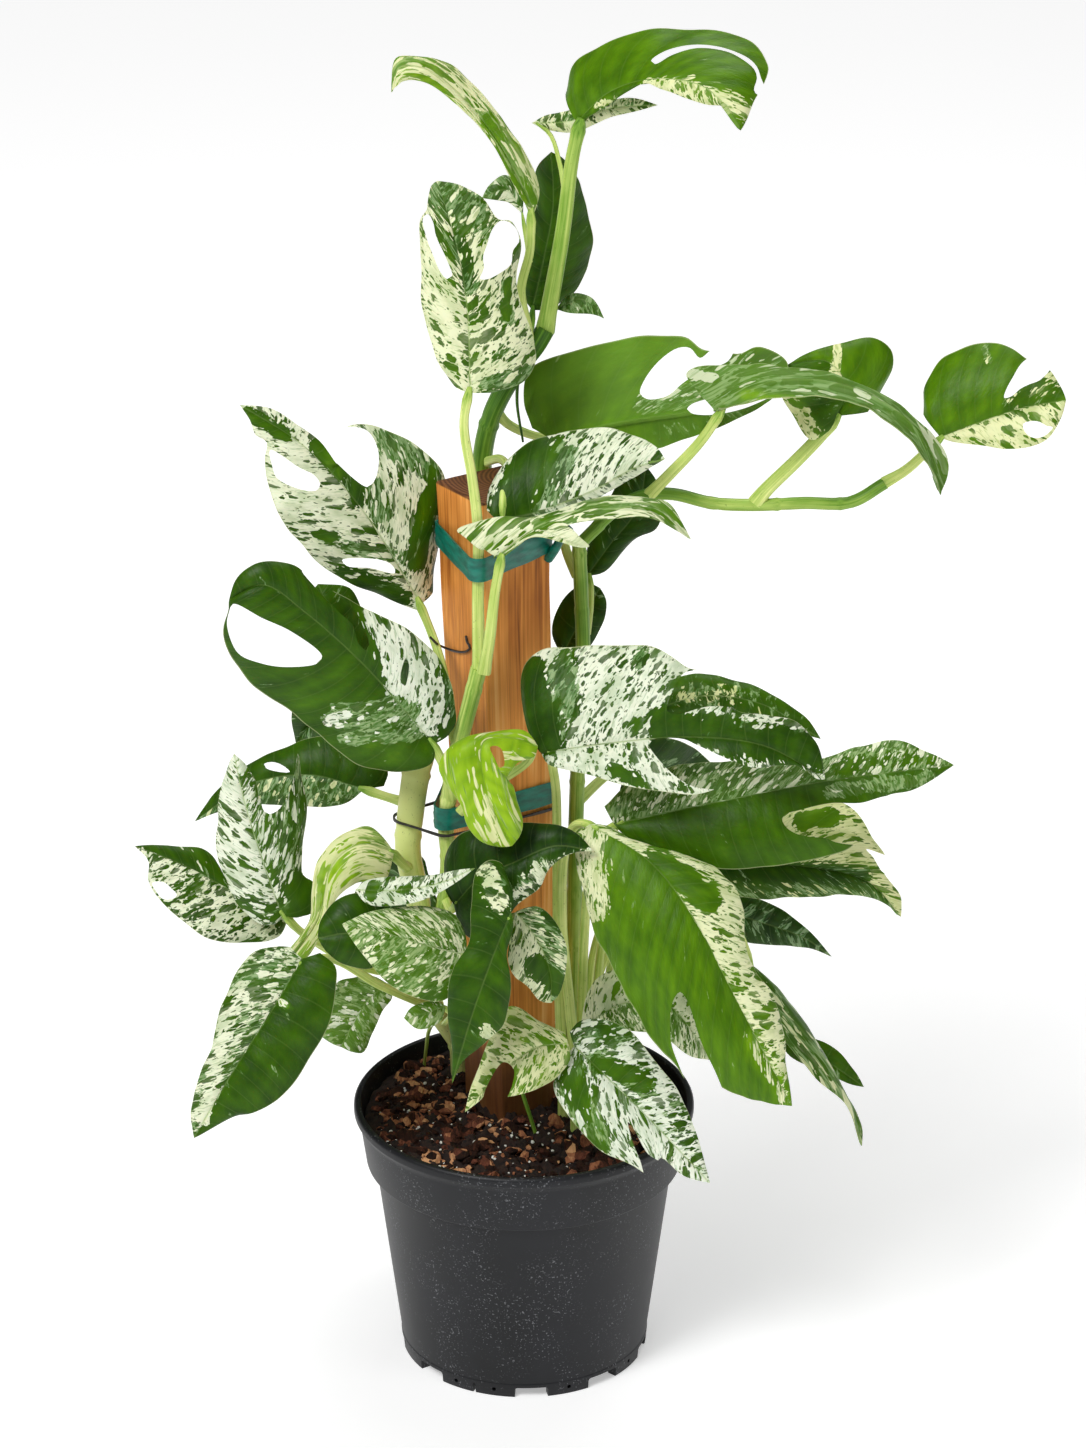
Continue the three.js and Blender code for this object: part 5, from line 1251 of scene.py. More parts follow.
LEAVES = {
    "leaf_crown": Leaf(rib=((577, 122, -38), (608, 93, -22), (652, 79, 0), (706, 88, 22), (741, 130, 40)),
        left=((0, 563, 94), (0.06, 570, 66), (0.16, 590, 47), (0.28, 634, 30), (0.4, 692, 25), (0.5, 742, 34),
            (0.58, 762, 47), (0.66, 770, 64), (0.74, 764, 84), (0.84, 756, 98), (0.93, 749, 116)),
        right=((0.14, 594, 114), (0.36, 628, 91), (0.46, 646, 83), (0.55, 664, 90), (0.74, 705, 104),
            (0.9, 734, 110)),
        slots=(((651, 61), (663, 52), (690, 45), (720, 47), (748, 58), (757, 67), (761, 78), (765, 90),
            (758, 95), (754, 90), (757, 78), (754, 69), (737, 56), (725, 51), (697, 48), (672, 55),
            (655, 64)),),
        stalk=((577, 122, -38), (572, 160, -39), (563, 230, -40), (545, 331, -40)),
        tilt=(-0.35, -0.5), girth=(6.4, 4.6), on="stem_main", bow=0.06),
    "leaf_crown_small": Leaf(rib=((532, 123, -60), (570, 121, -64), (612, 108, -64), (658, 105, -62)),
        left=((0.1, 545, 116), (0.3, 566, 111), (0.6, 604, 101), (0.82, 632, 98)),
        right=((0.1, 545, 129), (0.35, 575, 132), (0.62, 612, 117), (0.85, 640, 110)),
        stalk=((532, 123, -60), (550, 134, -61), (560, 165, -56), (566, 203, -41)),
        tilt=(-0.2, -0.3), girth=(2, 1.3), on="leaf_crown"),
    "leaf_curled": Leaf(rib=((534, 214, -26), (508, 158, -18), (470, 106, -10), (428, 70, 0), (400, 68, 6),
            (391, 92, 10)),
        left=((0.12, 520, 196), (0.32, 490, 140), (0.52, 456, 104), (0.7, 424, 82), (0.85, 399, 82)),
        right=((0.1, 540, 186), (0.28, 522, 148), (0.48, 492, 106), (0.64, 456, 67), (0.78, 424, 56),
            (0.9, 396, 58)),
        stalk=((534, 214, -26), (530, 250, -26), (521, 290, -28), (528, 330, -34), (530, 348, -38)),
        tilt=(0.5, -0.6), girth=(3.6, 3), on="stem_main"),
    "leaf_young_left": Leaf(rib=((523, 214, -46), (507, 190, -46), (482, 198, -44)),
        left=((0.3, 508, 202), (0.7, 496, 200)),
        right=((0.2, 522, 192), (0.5, 506, 175), (0.8, 490, 184)),
        stalk=((523, 214, -46), (526, 238, -40), (530, 262, -28)),
        tilt=(-0.2, -0.2), girth=(1.8, 1.2), on="leaf_curled"),
    "leaf_shade": Leaf(rib=((532, 310, -66), (543, 262, -66), (553, 205, -64), (551, 152, -60)),
        left=((0.08, 524, 296), (0.3, 527, 255), (0.55, 532, 205), (0.8, 537, 168)),
        right=((0, 552, 309), (0.1, 580, 286), (0.32, 594, 252), (0.52, 590, 214), (0.72, 578, 180),
            (0.9, 564, 159)),
        stalk=((532, 310, -66), (530, 336, -60), (526, 361, -45)),
        tilt=(-0.15, -0.25), girth=(2.8, 2.2), on="stem_main"),
    "leaf_young_right": Leaf(rib=((556, 309, -52), (582, 299, -50), (604, 318, -46)),
        left=((0.3, 570, 294), (0.7, 592, 298)),
        right=((0.3, 570, 313), (0.7, 592, 314)),
        stalk=((556, 309, -52), (551, 318, -52), (546, 332, -47)),
        tilt=(-0.2, 0.3), girth=(1.8, 1.3), on="stem_main"),
    "leaf_cream_upper": Leaf(rib=((470, 393, 44), (467, 306, 38), (455, 240, 30), (437, 181, 20)),
        left=((0, 453, 386), (0.1, 444, 374), (0.22, 433, 352), (0.38, 422, 310), (0.5, 420, 262),
            (0.62, 420, 220), (0.72, 425, 210), (0.8, 427, 204), (0.92, 431, 186)),
        right=((0, 500, 391), (0.05, 524, 384), (0.13, 538, 364), (0.26, 536, 342), (0.34, 525, 310),
            (0.42, 518, 282), (0.5, 522, 246), (0.62, 514, 222), (0.76, 499, 219), (0.86, 482, 197),
            (0.95, 460, 184)),
        slots=(((423, 218), (428, 214), (433, 222), (436, 236), (446, 258), (452, 276), (447, 279),
            (441, 273), (433, 255), (426, 236)), ((500, 221), (492, 230), (487, 245), (483, 257), (484, 268),
            (480, 279), (488, 279), (500, 273), (511, 264), (513, 250), (519, 242), (517, 230), (509, 222))),
        stalk=((470, 393, 44), (464, 424, 45), (472, 477, 48), (478, 530, 49), (478, 600, 50),
            (479, 672, 45)),
        tilt=(-0.12, -0.2), girth=(4.8, 3.1), on="vine_front"),
    "leaf_green_underside": Leaf(rib=((552, 440, -22), (612, 425, -14), (692, 413, 0), (773, 398, 16)),
        left=((0, 532, 428), (0, 524, 402), (0.02, 529, 374), (0.1, 552, 360), (0.2, 604, 346),
            (0.3, 652, 340), (0.38, 685, 341), (0.46, 703, 354), (0.58, 735, 358), (0.72, 762, 351),
            (0.86, 788, 366)),
        right=((0.06, 566, 452), (0.25, 610, 456), (0.5, 660, 446), (0.75, 721, 426), (0.9, 757, 409)),
        slots=(((700, 358), (690, 348), (678, 348), (660, 360), (645, 379), (640, 393), (647, 399),
            (667, 396), (683, 383), (700, 372), (728, 361), (733, 350), (712, 350)), ((687, 409), (692, 404),
            (709, 398), (735, 384), (765, 370), (790, 369), (790, 382), (776, 394), (762, 401), (745, 408),
            (725, 413), (703, 415), (691, 413))),
        stalk=((552, 440, -22), (548, 462, -30), (554, 495, -37), (561, 530, -40), (568, 556, -38),
            (577, 576, -31)),
        tilt=(-0.3, -0.3), girth=(3.6, 3), on="stem_right"),
    "leaf_side_on": Leaf(rib=((716, 412, 12), (775, 384, 32), (850, 390, 56), (912, 428, 74), (940, 495, 86)),
        left=((0, 700, 396, -8), (0.02, 687, 374, -20), (0.12, 722, 366, -26), (0.28, 768, 368, -32),
            (0.45, 830, 375, -36), (0.62, 892, 401, -32), (0.78, 934, 438, -24), (0.9, 949, 466, -10)),
        right=((0.1, 738, 405, 14), (0.3, 792, 398, 24), (0.5, 852, 404, 28), (0.7, 902, 434, 24),
            (0.88, 933, 473, 10)),
        stalk=((716, 412, 12), (700, 442, 4), (668, 476, -6), (648, 496, -17)),
        tilt=(0, 0), girth=(4.4, 3.4), on="runner"),
    "leaf_yellow_rib": Leaf(rib=((838, 416, -10), (848, 388, -14), (828, 362, -18), (789, 364, -18)),
        left=((0, 828, 432), (0.05, 812, 440), (0.25, 792, 416), (0.5, 780, 394), (0.78, 780, 374)),
        right=((0, 868, 412), (0.04, 884, 390), (0.14, 894, 368), (0.26, 892, 349), (0.42, 874, 337),
            (0.6, 843, 341), (0.82, 806, 354)),
        stalk=((838, 416, -10), (822, 434, -11), (797, 460, -13), (766, 490, -14), (755, 503, -14)),
        tilt=(-0.1, -0.25), girth=(5.2, 4.6), on="runner"),
    "leaf_far_right": Leaf(rib=((940, 437, -20), (985, 420, -15), (1030, 406, -10), (1066, 400, -6)),
        left=((0, 922, 414), (0, 921, 388), (0.06, 928, 374), (0.14, 940, 357), (0.24, 957, 349),
            (0.34, 976, 342), (0.46, 994, 341), (0.58, 1012, 348), (0.66, 1028, 359), (0.82, 1050, 369),
            (0.92, 1061, 386)),
        right=((0.05, 950, 441), (0.3, 985, 446), (0.5, 1008, 449), (0.66, 1032, 446), (0.8, 1049, 437),
            (0.92, 1061, 418)),
        slots=(((1030, 358), (1021, 364), (1013, 377), (1006, 390), (1004, 398), (1012, 396), (1020, 389),
            (1030, 384), (1040, 380), (1051, 366)), ((1023, 424), (1025, 432), (1031, 437), (1038, 438),
            (1046, 435), (1053, 427), (1047, 426), (1040, 422), (1033, 421))),
        stalk=((940, 437, -20), (926, 452, -19), (906, 470, -17), (884, 483, -16)),
        tilt=(-0.2, 0.25), girth=(4, 3), on="runner"),
    "leaf_over_stake_back": Leaf(rib=((497, 521, 50), (540, 511, 46), (596, 489, 43), (634, 468, 43),
            (665, 459, 43)),
        left=((0, 487, 510), (0.02, 489, 490), (0.08, 499, 469), (0.22, 521, 446), (0.42, 560, 430),
            (0.62, 608, 426), (0.8, 638, 436), (0.93, 657, 448)),
        right=((0.1, 520, 525, -16), (0.35, 560, 516, -24), (0.58, 600, 498, -22), (0.8, 636, 476, -12)),
        stalk=((497, 521, 50), (503, 494, 40), (507, 470, 8), (500, 459, -26), (485, 462, -53)),
        tilt=(-0.3, 0), girth=(3.4, 2.8), on="stem_main"),
    "leaf_over_stake_front": Leaf(rib=((497, 557, 64), (515, 543, 68), (545, 523, 74), (600, 506, 76),
            (655, 506, 74), (691, 539, 72)),
        left=((0, 478, 546, 0), (0, 457, 530, -4), (0.06, 478, 521, -10), (0.16, 505, 517, -14),
            (0.27, 540, 515, -16), (0.53, 600, 496, -18), (0.7, 645, 497, -16), (0.86, 668, 503, -10)),
        right=((0.06, 512, 549, 4), (0.14, 535, 536, 10), (0.2, 562, 541, 14), (0.23, 589, 547, 16),
            (0.28, 575, 533, 14), (0.34, 566, 526, 10), (0.55, 604, 519, 8), (0.78, 650, 518, 8)),
        stalk=((497, 557, 64), (495, 592, 63), (490, 636, 62), (484, 672, 53)),
        tilt=(0, 0), girth=(4.6, 3.2), on="vine_front"),
    "leaf_left_cream": Leaf(rib=((421, 604, -6), (364, 512, 2), (305, 447, 10), (240, 405, 16)),
        left=((0, 426, 613), (0.02, 408, 607), (0.1, 372, 594), (0.18, 340, 580), (0.26, 318, 566),
            (0.36, 305, 549), (0.46, 289, 532), (0.56, 276, 508), (0.65, 267, 480), (0.72, 265, 458),
            (0.78, 267, 443), (0.84, 256, 436), (0.92, 250, 420)),
        right=((0, 434, 592, -16), (0.04, 440, 560, -32), (0.1, 446, 520, -38), (0.18, 452, 483, -38),
            (0.27, 434, 456), (0.34, 410, 437), (0.42, 378, 425), (0.5, 347, 426), (0.62, 338, 464),
            (0.72, 320, 441), (0.82, 298, 425), (0.91, 270, 408)),
        slots=(((270, 450), (300, 468), (314, 475), (320, 484), (317, 490), (303, 490), (277, 478),
            (272, 465)), ((342, 560), (381, 560), (393, 566), (395, 573), (370, 568), (347, 566)),
            ((336, 430), (366, 430), (378, 450), (377, 474), (372, 484), (367, 487), (341, 467), (334, 458))),
        stalk=((421, 604, -6), (434, 640, 2), (444, 675, 20), (448, 715, 34), (456, 742, 42)),
        tilt=(0.1, -0.35), girth=(3.6, 3), on="vine_front"),
    "leaf_left_green": Leaf(rib=((434, 744, 56), (364, 665, 64), (305, 612, 72), (264, 585, 74),
            (229, 600, 72)),
        left=((0, 435, 752), (0.01, 432, 762), (0.05, 415, 770), (0.12, 388, 773), (0.2, 356, 765),
            (0.28, 330, 748), (0.35, 312, 732), (0.43, 288, 714), (0.52, 262, 697), (0.62, 238, 673),
            (0.71, 225, 648), (0.8, 223, 628), (0.9, 229, 606)),
        right=((0, 448, 735), (0.02, 456, 722), (0.1, 454, 695), (0.2, 440, 658), (0.3, 410, 630),
            (0.4, 378, 613), (0.5, 350, 599), (0.6, 318, 580), (0.7, 298, 567), (0.8, 278, 561),
            (0.88, 255, 564), (0.96, 236, 580)),
        slots=(((233, 604), (262, 618), (292, 632), (322, 656), (318, 663), (285, 667), (260, 663),
            (238, 653), (227, 625), (229, 612)), ((302, 571), (338, 595), (352, 608), (364, 628), (369, 645),
            (366, 650), (359, 644), (352, 624), (340, 613)), ((406, 658), (409, 664), (408, 676), (405, 686),
            (401, 683), (401, 672))),
        stalk=((434, 744, 56), (444, 766, 53), (451, 798, 41)),
        tilt=(-0.15, -0.1), girth=(4, 3.2), on="vine_front"),
    "leaf_left_behind": Leaf(rib=((364, 672, 12), (337, 628, 10), (318, 584, 6)),
        left=((0.25, 326, 656), (0.6, 306, 626), (0.85, 308, 598)),
        right=((0.2, 370, 640), (0.5, 364, 612), (0.8, 350, 588)),
        stalk=((364, 672, 12), (392, 715, 4), (414, 748, -2), (421, 752, 0)),
        tilt=(-0.2, -0.2), girth=(2.6, 2), on="stem_left"),
    "leaf_left_low_behind": Leaf(rib=((364, 789, -14), (310, 775, -22), (250, 784, -30), (195, 821, -38)),
        left=((0.12, 348, 802), (0.32, 312, 808), (0.5, 276, 806), (0.68, 244, 806), (0.85, 215, 813)),
        right=((0, 384, 786), (0, 388, 771), (0.1, 366, 752), (0.24, 332, 736), (0.4, 300, 740),
            (0.56, 270, 752), (0.75, 238, 770), (0.9, 212, 797)),
        slots=(((264, 764), (272, 762), (282, 765), (290, 772), (280, 772), (266, 768)),),
        stalk=((364, 789, -14), (384, 796, -8), (404, 802, 6)),
        tilt=(-0.15, -0.25), girth=(3.6, 3), on="stem_left"),
    "leaf_left_upright": Leaf(rib=((282, 915, 66), (262, 858, 74), (244, 800, 76), (234, 754, 74)),
        left=((0, 275, 925), (0.02, 264, 927), (0.08, 243, 913), (0.2, 228, 889), (0.36, 217, 855),
            (0.55, 217, 820), (0.75, 220, 790), (0.9, 228, 765)),
        right=((0, 300, 918), (0.01, 312, 914), (0.03, 319, 900), (0.06, 316, 884), (0.12, 305, 876),
            (0.2, 304, 852), (0.28, 307, 822), (0.35, 308, 797), (0.42, 304, 775), (0.48, 298, 751),
            (0.66, 262, 800), (0.8, 256, 782), (0.92, 245, 764)),
        slots=(((240, 745), (250, 769), (257, 784), (260, 797), (264, 811), (269, 814), (277, 811),
            (285, 801), (291, 788), (296, 764), (296, 745)),),
        stalk=((282, 915, 66), (304, 934, 58), (350, 953, 32), (420, 950, -16)),
        tilt=(-0.2, -0.15), girth=(3.6, 2.8), on="stem_left"),
    "leaf_left_far": Leaf(rib=((288, 919, 42), (236, 893, 48), (186, 866, 50), (135, 846, 50)),
        left=((0.05, 280, 936), (0.2, 244, 944), (0.38, 211, 940), (0.56, 185, 923), (0.72, 162, 902),
            (0.84, 148, 880), (0.92, 148, 860)),
        right=((0.1, 270, 896), (0.3, 226, 884), (0.45, 216, 858), (0.55, 202, 849), (0.7, 176, 846),
            (0.88, 152, 845)),
        slots=(((152, 883), (163, 882), (172, 889), (177, 895), (172, 899), (163, 899), (156, 891)),),
        stalk=((288, 919, 42), (312, 940, 36), (366, 968, 6), (425, 975, -29)),
        tilt=(0.15, -0.25), girth=(3.4, 2.6), on="stem_left"),
    "leaf_left_low": Leaf(rib=((302, 959, 100), (272, 1010, 112), (234, 1070, 124), (194, 1138, 130)),
        left=((0, 320, 953), (0.02, 335, 966), (0.12, 336, 986), (0.28, 329, 1024), (0.42, 311, 1057),
            (0.58, 288, 1091), (0.72, 264, 1110), (0.87, 235, 1117)),
        right=((0, 290, 947), (0.02, 276, 946), (0.1, 252, 953), (0.28, 223, 999), (0.5, 211, 1043),
            (0.7, 197, 1081), (0.88, 191, 1110)),
        stalk=((302, 959, 100), (326, 958, 90), (380, 985, 38), (435, 1008, -51)),
        tilt=(0.1, -0.2), girth=(3.8, 3), on="stem_left"),
    "leaf_pale_curled": Leaf(rib=((394, 852, 50), (360, 844, 62), (332, 866, 70), (318, 920, 72),
            (286, 966, 68)),
        left=((0.08, 388, 878, 8), (0.25, 356, 884, 12), (0.42, 337, 898, 8), (0.62, 326, 926, 5),
            (0.85, 302, 962, 3)),
        right=((0.08, 372, 826, -6), (0.22, 346, 832, -8), (0.4, 318, 860, -6), (0.64, 308, 922, -4),
            (0.85, 288, 952, -3)),
        stalk=((394, 852, 50), (402, 863, 36), (408, 868, 15)),
        tilt=(0, 0), girth=(4.2, 3.4), on="stem_left"),
    "leaf_cream_low": Leaf(rib=((465, 955, 116), (422, 944, 124), (382, 932, 126), (342, 924, 124)),
        left=((0.03, 462, 978), (0.15, 443, 1002), (0.36, 408, 996), (0.6, 382, 978), (0.82, 358, 948)),
        right=((0.02, 466, 936), (0.08, 453, 912), (0.3, 408, 905), (0.55, 379, 909), (0.8, 357, 917)),
        stalk=((465, 955, 116), (477, 966, 102), (478, 980, 72), (456, 990, 30), (449, 980, -37)),
        tilt=(0.05, -0.15), girth=(3.6, 2.8), on="vine_front"),
    "leaf_round_dark": Leaf(rib=((384, 955, 96), (352, 934, 100), (318, 938, 100)),
        left=((0.2, 372, 968), (0.55, 346, 966), (0.85, 326, 952)),
        right=((0.1, 382, 922), (0.35, 362, 894), (0.65, 334, 901), (0.88, 320, 920)),
        stalk=((384, 955, 96), (400, 957, 80), (413, 946, 46), (418, 930, -8)),
        tilt=(-0.1, -0.15), girth=(2.8, 2.2), on="stem_left"),
    "leaf_narrow_marbled": Leaf(rib=((355, 890, 104), (400, 890, 109), (440, 883, 111), (475, 868, 110)),
        left=((0.1, 366, 881), (0.35, 398, 876), (0.65, 433, 875), (0.86, 458, 870)),
        right=((0.1, 368, 904), (0.35, 400, 905), (0.6, 428, 898), (0.86, 458, 881)),
        stalk=((355, 890, 104), (368, 888, 88), (388, 890, 56), (413, 892, 12)),
        tilt=(-0.3, 0.2), girth=(3, 2.4), on="stem_left"),
    "leaf_long_dark": Leaf(rib=((511, 912, 134), (491, 962, 144), (470, 1022, 152), (452, 1084, 154)),
        left=((0.04, 513, 926), (0.18, 507, 955), (0.38, 511, 988), (0.56, 504, 1024), (0.76, 482, 1047),
            (0.9, 462, 1062)),
        right=((0, 513, 886), (0, 503, 862), (0, 488, 859), (0.04, 475, 872), (0.12, 471, 906),
            (0.28, 468, 944), (0.42, 453, 969), (0.6, 446, 999), (0.84, 452, 1052)),
        stalk=((511, 912, 134), (501, 930, 122), (490, 948, 96), (466, 954, 52), (443, 945, -13)),
        tilt=(-0.15, -0.15), girth=(3.6, 2.8), on="vine_front"),
    "leaf_marbled_low": Leaf(rib=((516, 912, 104), (537, 940, 108), (550, 972, 108), (551, 1003, 106)),
        left=((0.03, 536, 906), (0.2, 555, 921), (0.4, 566, 944), (0.65, 566, 970), (0.88, 560, 993)),
        right=((0, 510, 930), (0.25, 508, 960), (0.5, 516, 978), (0.7, 530, 990), (0.9, 540, 1001)),
        stalk=((516, 912, 104), (505, 920, 90), (484, 924, 60), (460, 920, 36), (441, 914, 5)),
        tilt=(-0.15, 0), girth=(3.2, 2.6), on="vine_front"),
    "leaf_dark_drape": Leaf(rib=((454, 905, 86), (480, 878, 92), (515, 862, 97), (555, 846, 99),
            (593, 851, 99)),
        left=((0, 443, 884), (0.03, 443, 857), (0.16, 456, 837), (0.38, 490, 825), (0.6, 526, 822),
            (0.78, 555, 824), (0.91, 576, 833)),
        right=((0.06, 462, 930), (0.22, 482, 944), (0.38, 504, 930), (0.5, 513, 911), (0.64, 540, 889),
            (0.78, 551, 867), (0.92, 576, 852)),
        stalk=((454, 905, 86), (451, 910, 60), (446, 899, 18)),
        tilt=(-0.25, -0.1), girth=(3.4, 2.8), on="vine_front"),
    "leaf_over_soil": Leaf(rib=((568, 1043, 98), (535, 1048, 110), (500, 1074, 122), (465, 1112, 128)),
        left=((0.04, 571, 1060), (0.16, 556, 1080), (0.38, 525, 1093), (0.56, 507, 1097), (0.64, 492, 1090),
            (0.84, 478, 1102)),
        right=((0, 564, 1032), (0.08, 538, 1017), (0.28, 510, 1005), (0.45, 497, 1022), (0.62, 486, 1048),
            (0.84, 471, 1086)),
        slots=(((484, 1100), (490, 1080), (504, 1062), (514, 1070), (503, 1102)),),
        stalk=((568, 1043, 98), (564, 1055, 84), (568, 1074, 56), (574, 1092, 36)),
        tilt=(0, -0.2), girth=(3.2, 2.6), on="soil"),
    "leaf_over_rim": Leaf(rib=((574, 1046, 90), (612, 1082, 104), (656, 1126, 122), (710, 1183, 142)),
        left=((0, 570, 1032), (0, 580, 1021), (0.07, 604, 1019), (0.2, 629, 1030), (0.38, 657, 1062),
            (0.56, 679, 1091), (0.75, 693, 1123), (0.9, 704, 1160)),
        right=((0.02, 562, 1064), (0.06, 554, 1087), (0.18, 568, 1116), (0.3, 596, 1148), (0.41, 629, 1166),
            (0.5, 652, 1179), (0.72, 660, 1158), (0.86, 684, 1176)),
        slots=(((628, 1122), (635, 1131), (641, 1143), (648, 1154), (664, 1166), (660, 1184), (648, 1182),
            (640, 1160), (632, 1140)),),
        stalk=((574, 1046, 90), (586, 1052, 80), (596, 1076, 62), (597, 1102, 50)),
        tilt=(-0.15, 0.05), girth=(3.2, 2.6), on="soil"),
    "leaf_front_right": Leaf(rib=((590, 824, 80), (650, 862, 100), (692, 916, 122), (736, 1000, 144),
            (792, 1106, 162)),
        left=((0.02, 610, 826), (0.07, 642, 844), (0.15, 692, 856), (0.25, 721, 870), (0.35, 736, 888),
            (0.44, 746, 918), (0.52, 746, 946), (0.62, 757, 970), (0.72, 775, 996), (0.82, 784, 1024),
            (0.92, 787, 1060)),
        right=((0, 573, 836), (0.03, 578, 880), (0.09, 587, 920), (0.18, 603, 958), (0.27, 620, 990),
            (0.36, 642, 1033), (0.45, 664, 1060), (0.54, 687, 1086), (0.7, 723, 1092), (0.82, 750, 1102),
            (0.92, 772, 1104)),
        slots=(((680, 992), (675, 997), (671, 1010), (670, 1030), (672, 1046), (678, 1063), (686, 1082),
            (700, 1112), (726, 1104), (723, 1091), (714, 1069), (706, 1053), (699, 1036), (692, 1013),
            (685, 997)),),
        stalk=((590, 824, 80), (578, 824, 68), (565, 850, 50), (562, 920, 36), (570, 1010, 24),
            (578, 1092, 20)),
        tilt=(-0.25, -0.15), girth=(4.4, 3.4), on="soil", bow=0.06),
    "leaf_right_long": Leaf(rib=((614, 824, 56), (713, 803, 62), (833, 780, 56), (954, 765, 44)),
        left=((0, 604, 806), (0.08, 640, 776), (0.25, 700, 762), (0.45, 780, 760), (0.6, 823, 757),
            (0.72, 858, 746), (0.84, 896, 740), (0.93, 928, 752)),
        right=((0.02, 626, 836), (0.1, 661, 852), (0.22, 695, 864), (0.34, 730, 870), (0.48, 782, 866),
            (0.6, 833, 856), (0.68, 858, 843), (0.8, 880, 800), (0.92, 915, 789)),
        slots=(((782, 819), (786, 814), (800, 810), (815, 806), (832, 803), (860, 803), (890, 797),
            (890, 815), (868, 846), (857, 845), (845, 844), (835, 842), (825, 838), (812, 837), (797, 834),
            (787, 828)),),
        stalk=((614, 824, 56), (601, 836, 46), (590, 870, 32), (584, 940, 18), (582, 1020, 6),
            (583, 1086, 0)),
        tilt=(-0.3, 0.1), girth=(4.2, 3.2), on="soil"),
    "leaf_right_marbled": Leaf(rib=((541, 753, 72), (612, 743, 88), (690, 737, 100), (765, 746, 108),
            (825, 779, 108)),
        left=((0, 530, 736), (0, 520, 712), (0.01, 517, 686), (0.04, 523, 662), (0.09, 540, 648),
            (0.18, 570, 645), (0.3, 620, 644), (0.4, 648, 644), (0.48, 672, 656), (0.54, 690, 667),
            (0.6, 724, 672), (0.7, 735, 707), (0.8, 768, 714), (0.88, 799, 722), (0.95, 818, 742)),
        right=((0.05, 548, 764), (0.14, 568, 770), (0.26, 594, 776), (0.36, 622, 785), (0.48, 665, 792),
            (0.56, 692, 795), (0.64, 720, 788), (0.78, 762, 769), (0.88, 798, 766), (0.96, 818, 779)),
        slots=(((727, 671), (690, 671), (683, 674), (673, 690), (668, 703), (667, 711), (672, 714),
            (684, 713), (700, 708), (715, 706), (740, 706), (755, 690)), ((649, 745), (652, 740), (683, 739),
            (697, 745), (735, 762), (755, 768), (772, 768), (760, 790), (724, 790), (700, 788), (690, 785),
            (675, 776), (655, 755))),
        stalk=((541, 753, 72), (552, 764, 56), (556, 790, 40), (557, 860, 26), (558, 960, 18),
            (563, 1092, 12)),
        tilt=(-0.2, 0.1), girth=(4.2, 3.2), on="soil"),
    "leaf_lime_twisted": Leaf(rib=((538, 746, 86), (512, 738, 92), (484, 742, 98), (486, 790, 108),
            (497, 817, 112), (512, 846, 110)),
        left=((0.06, 534, 757, 6), (0.12, 518, 763, 8), (0.18, 495, 797, 12), (0.3, 500, 780, 4),
            (0.46, 512, 782, 2), (0.6, 519, 800, 0), (0.74, 524, 818, 0), (0.88, 521, 834, 0)),
        right=((0.1, 525, 731), (0.24, 492, 732), (0.32, 465, 737), (0.38, 444, 752), (0.44, 437, 768),
            (0.52, 446, 788), (0.64, 460, 808), (0.76, 466, 827), (0.88, 480, 842), (0.96, 498, 847)),
        slots=(((490, 747), (497, 746), (502, 750), (504, 766), (500, 768), (495, 759)),),
        stalk=((538, 746, 86), (529, 760, 72), (508, 776, 58), (480, 792, 52), (460, 812, 45)),
        tilt=(0, -0.3), girth=(3.4, 2.8), on="vine_front", bow=0.1),
    "leaf_olive": Leaf(rib=((650, 712, 12), (700, 696, 10), (762, 704, 8), (821, 739, 4)),
        left=((0.12, 668, 682), (0.32, 692, 673), (0.55, 732, 678), (0.76, 778, 698), (0.9, 806, 718)),
        right=((0.2, 682, 718), (0.5, 732, 722), (0.8, 786, 730)),
        stalk=((650, 712, 12), (628, 720, -2), (604, 738, -18), (580, 764, -35)),
        tilt=(-0.25, -0.2), girth=(3.2, 2.6), on="stem_right"),
    "leaf_yellow_behind": Leaf(rib=((640, 850, 22), (720, 864, 14), (800, 866, 8), (868, 882, 0),
            (901, 917, -6)),
        left=((0.08, 664, 830), (0.26, 728, 808), (0.45, 790, 798), (0.56, 850, 804), (0.64, 874, 838),
            (0.7, 888, 858), (0.8, 884, 872), (0.9, 901, 896)),
        right=((0.15, 690, 884), (0.34, 748, 898), (0.54, 815, 897), (0.74, 860, 896), (0.9, 886, 904)),
        slots=(((893, 860), (879, 853), (866, 849), (873, 857), (884, 873), (893, 872)),),
        stalk=((640, 850, 22), (618, 872, 12), (602, 940, 0), (596, 1020, -8), (597, 1082, -12)),
        tilt=(-0.25, -0.15), girth=(3.6, 2.8), on="soil"),
    "leaf_right_low_grey": Leaf(rib=((700, 905, -10), (760, 922, -16), (804, 938, -22), (832, 957, -26)),
        left=((0.18, 736, 894), (0.5, 776, 906), (0.76, 808, 930)),
        right=((0.18, 722, 932), (0.42, 758, 945), (0.66, 790, 946), (0.85, 813, 949)),
        stalk=((700, 905, -10), (664, 905, -16), (622, 930, -22), (592, 1000, -28), (580, 1076, -28)),
        tilt=(-0.2, -0.2), girth=(3.2, 2.4), on="soil"),
    "leaf_droop_long": Leaf(rib=((748, 962, 52), (786, 1012, 62), (826, 1060, 68), (852, 1106, 70),
            (862, 1146, 68)),
        left=((0.08, 766, 976, -8), (0.25, 789, 1000, -14), (0.45, 812, 1033, -14), (0.7, 839, 1081, -10),
            (0.88, 862, 1127, -5)),
        right=((0.12, 757, 992, 8), (0.35, 786, 1040, 14), (0.62, 819, 1081, 12), (0.8, 847, 1106, 6)),
        stalk=((748, 962, 52), (736, 930, 50), (694, 905, 42), (648, 910, 32), (616, 950, 22),
            (604, 1020, 12), (601, 1088, 8)),
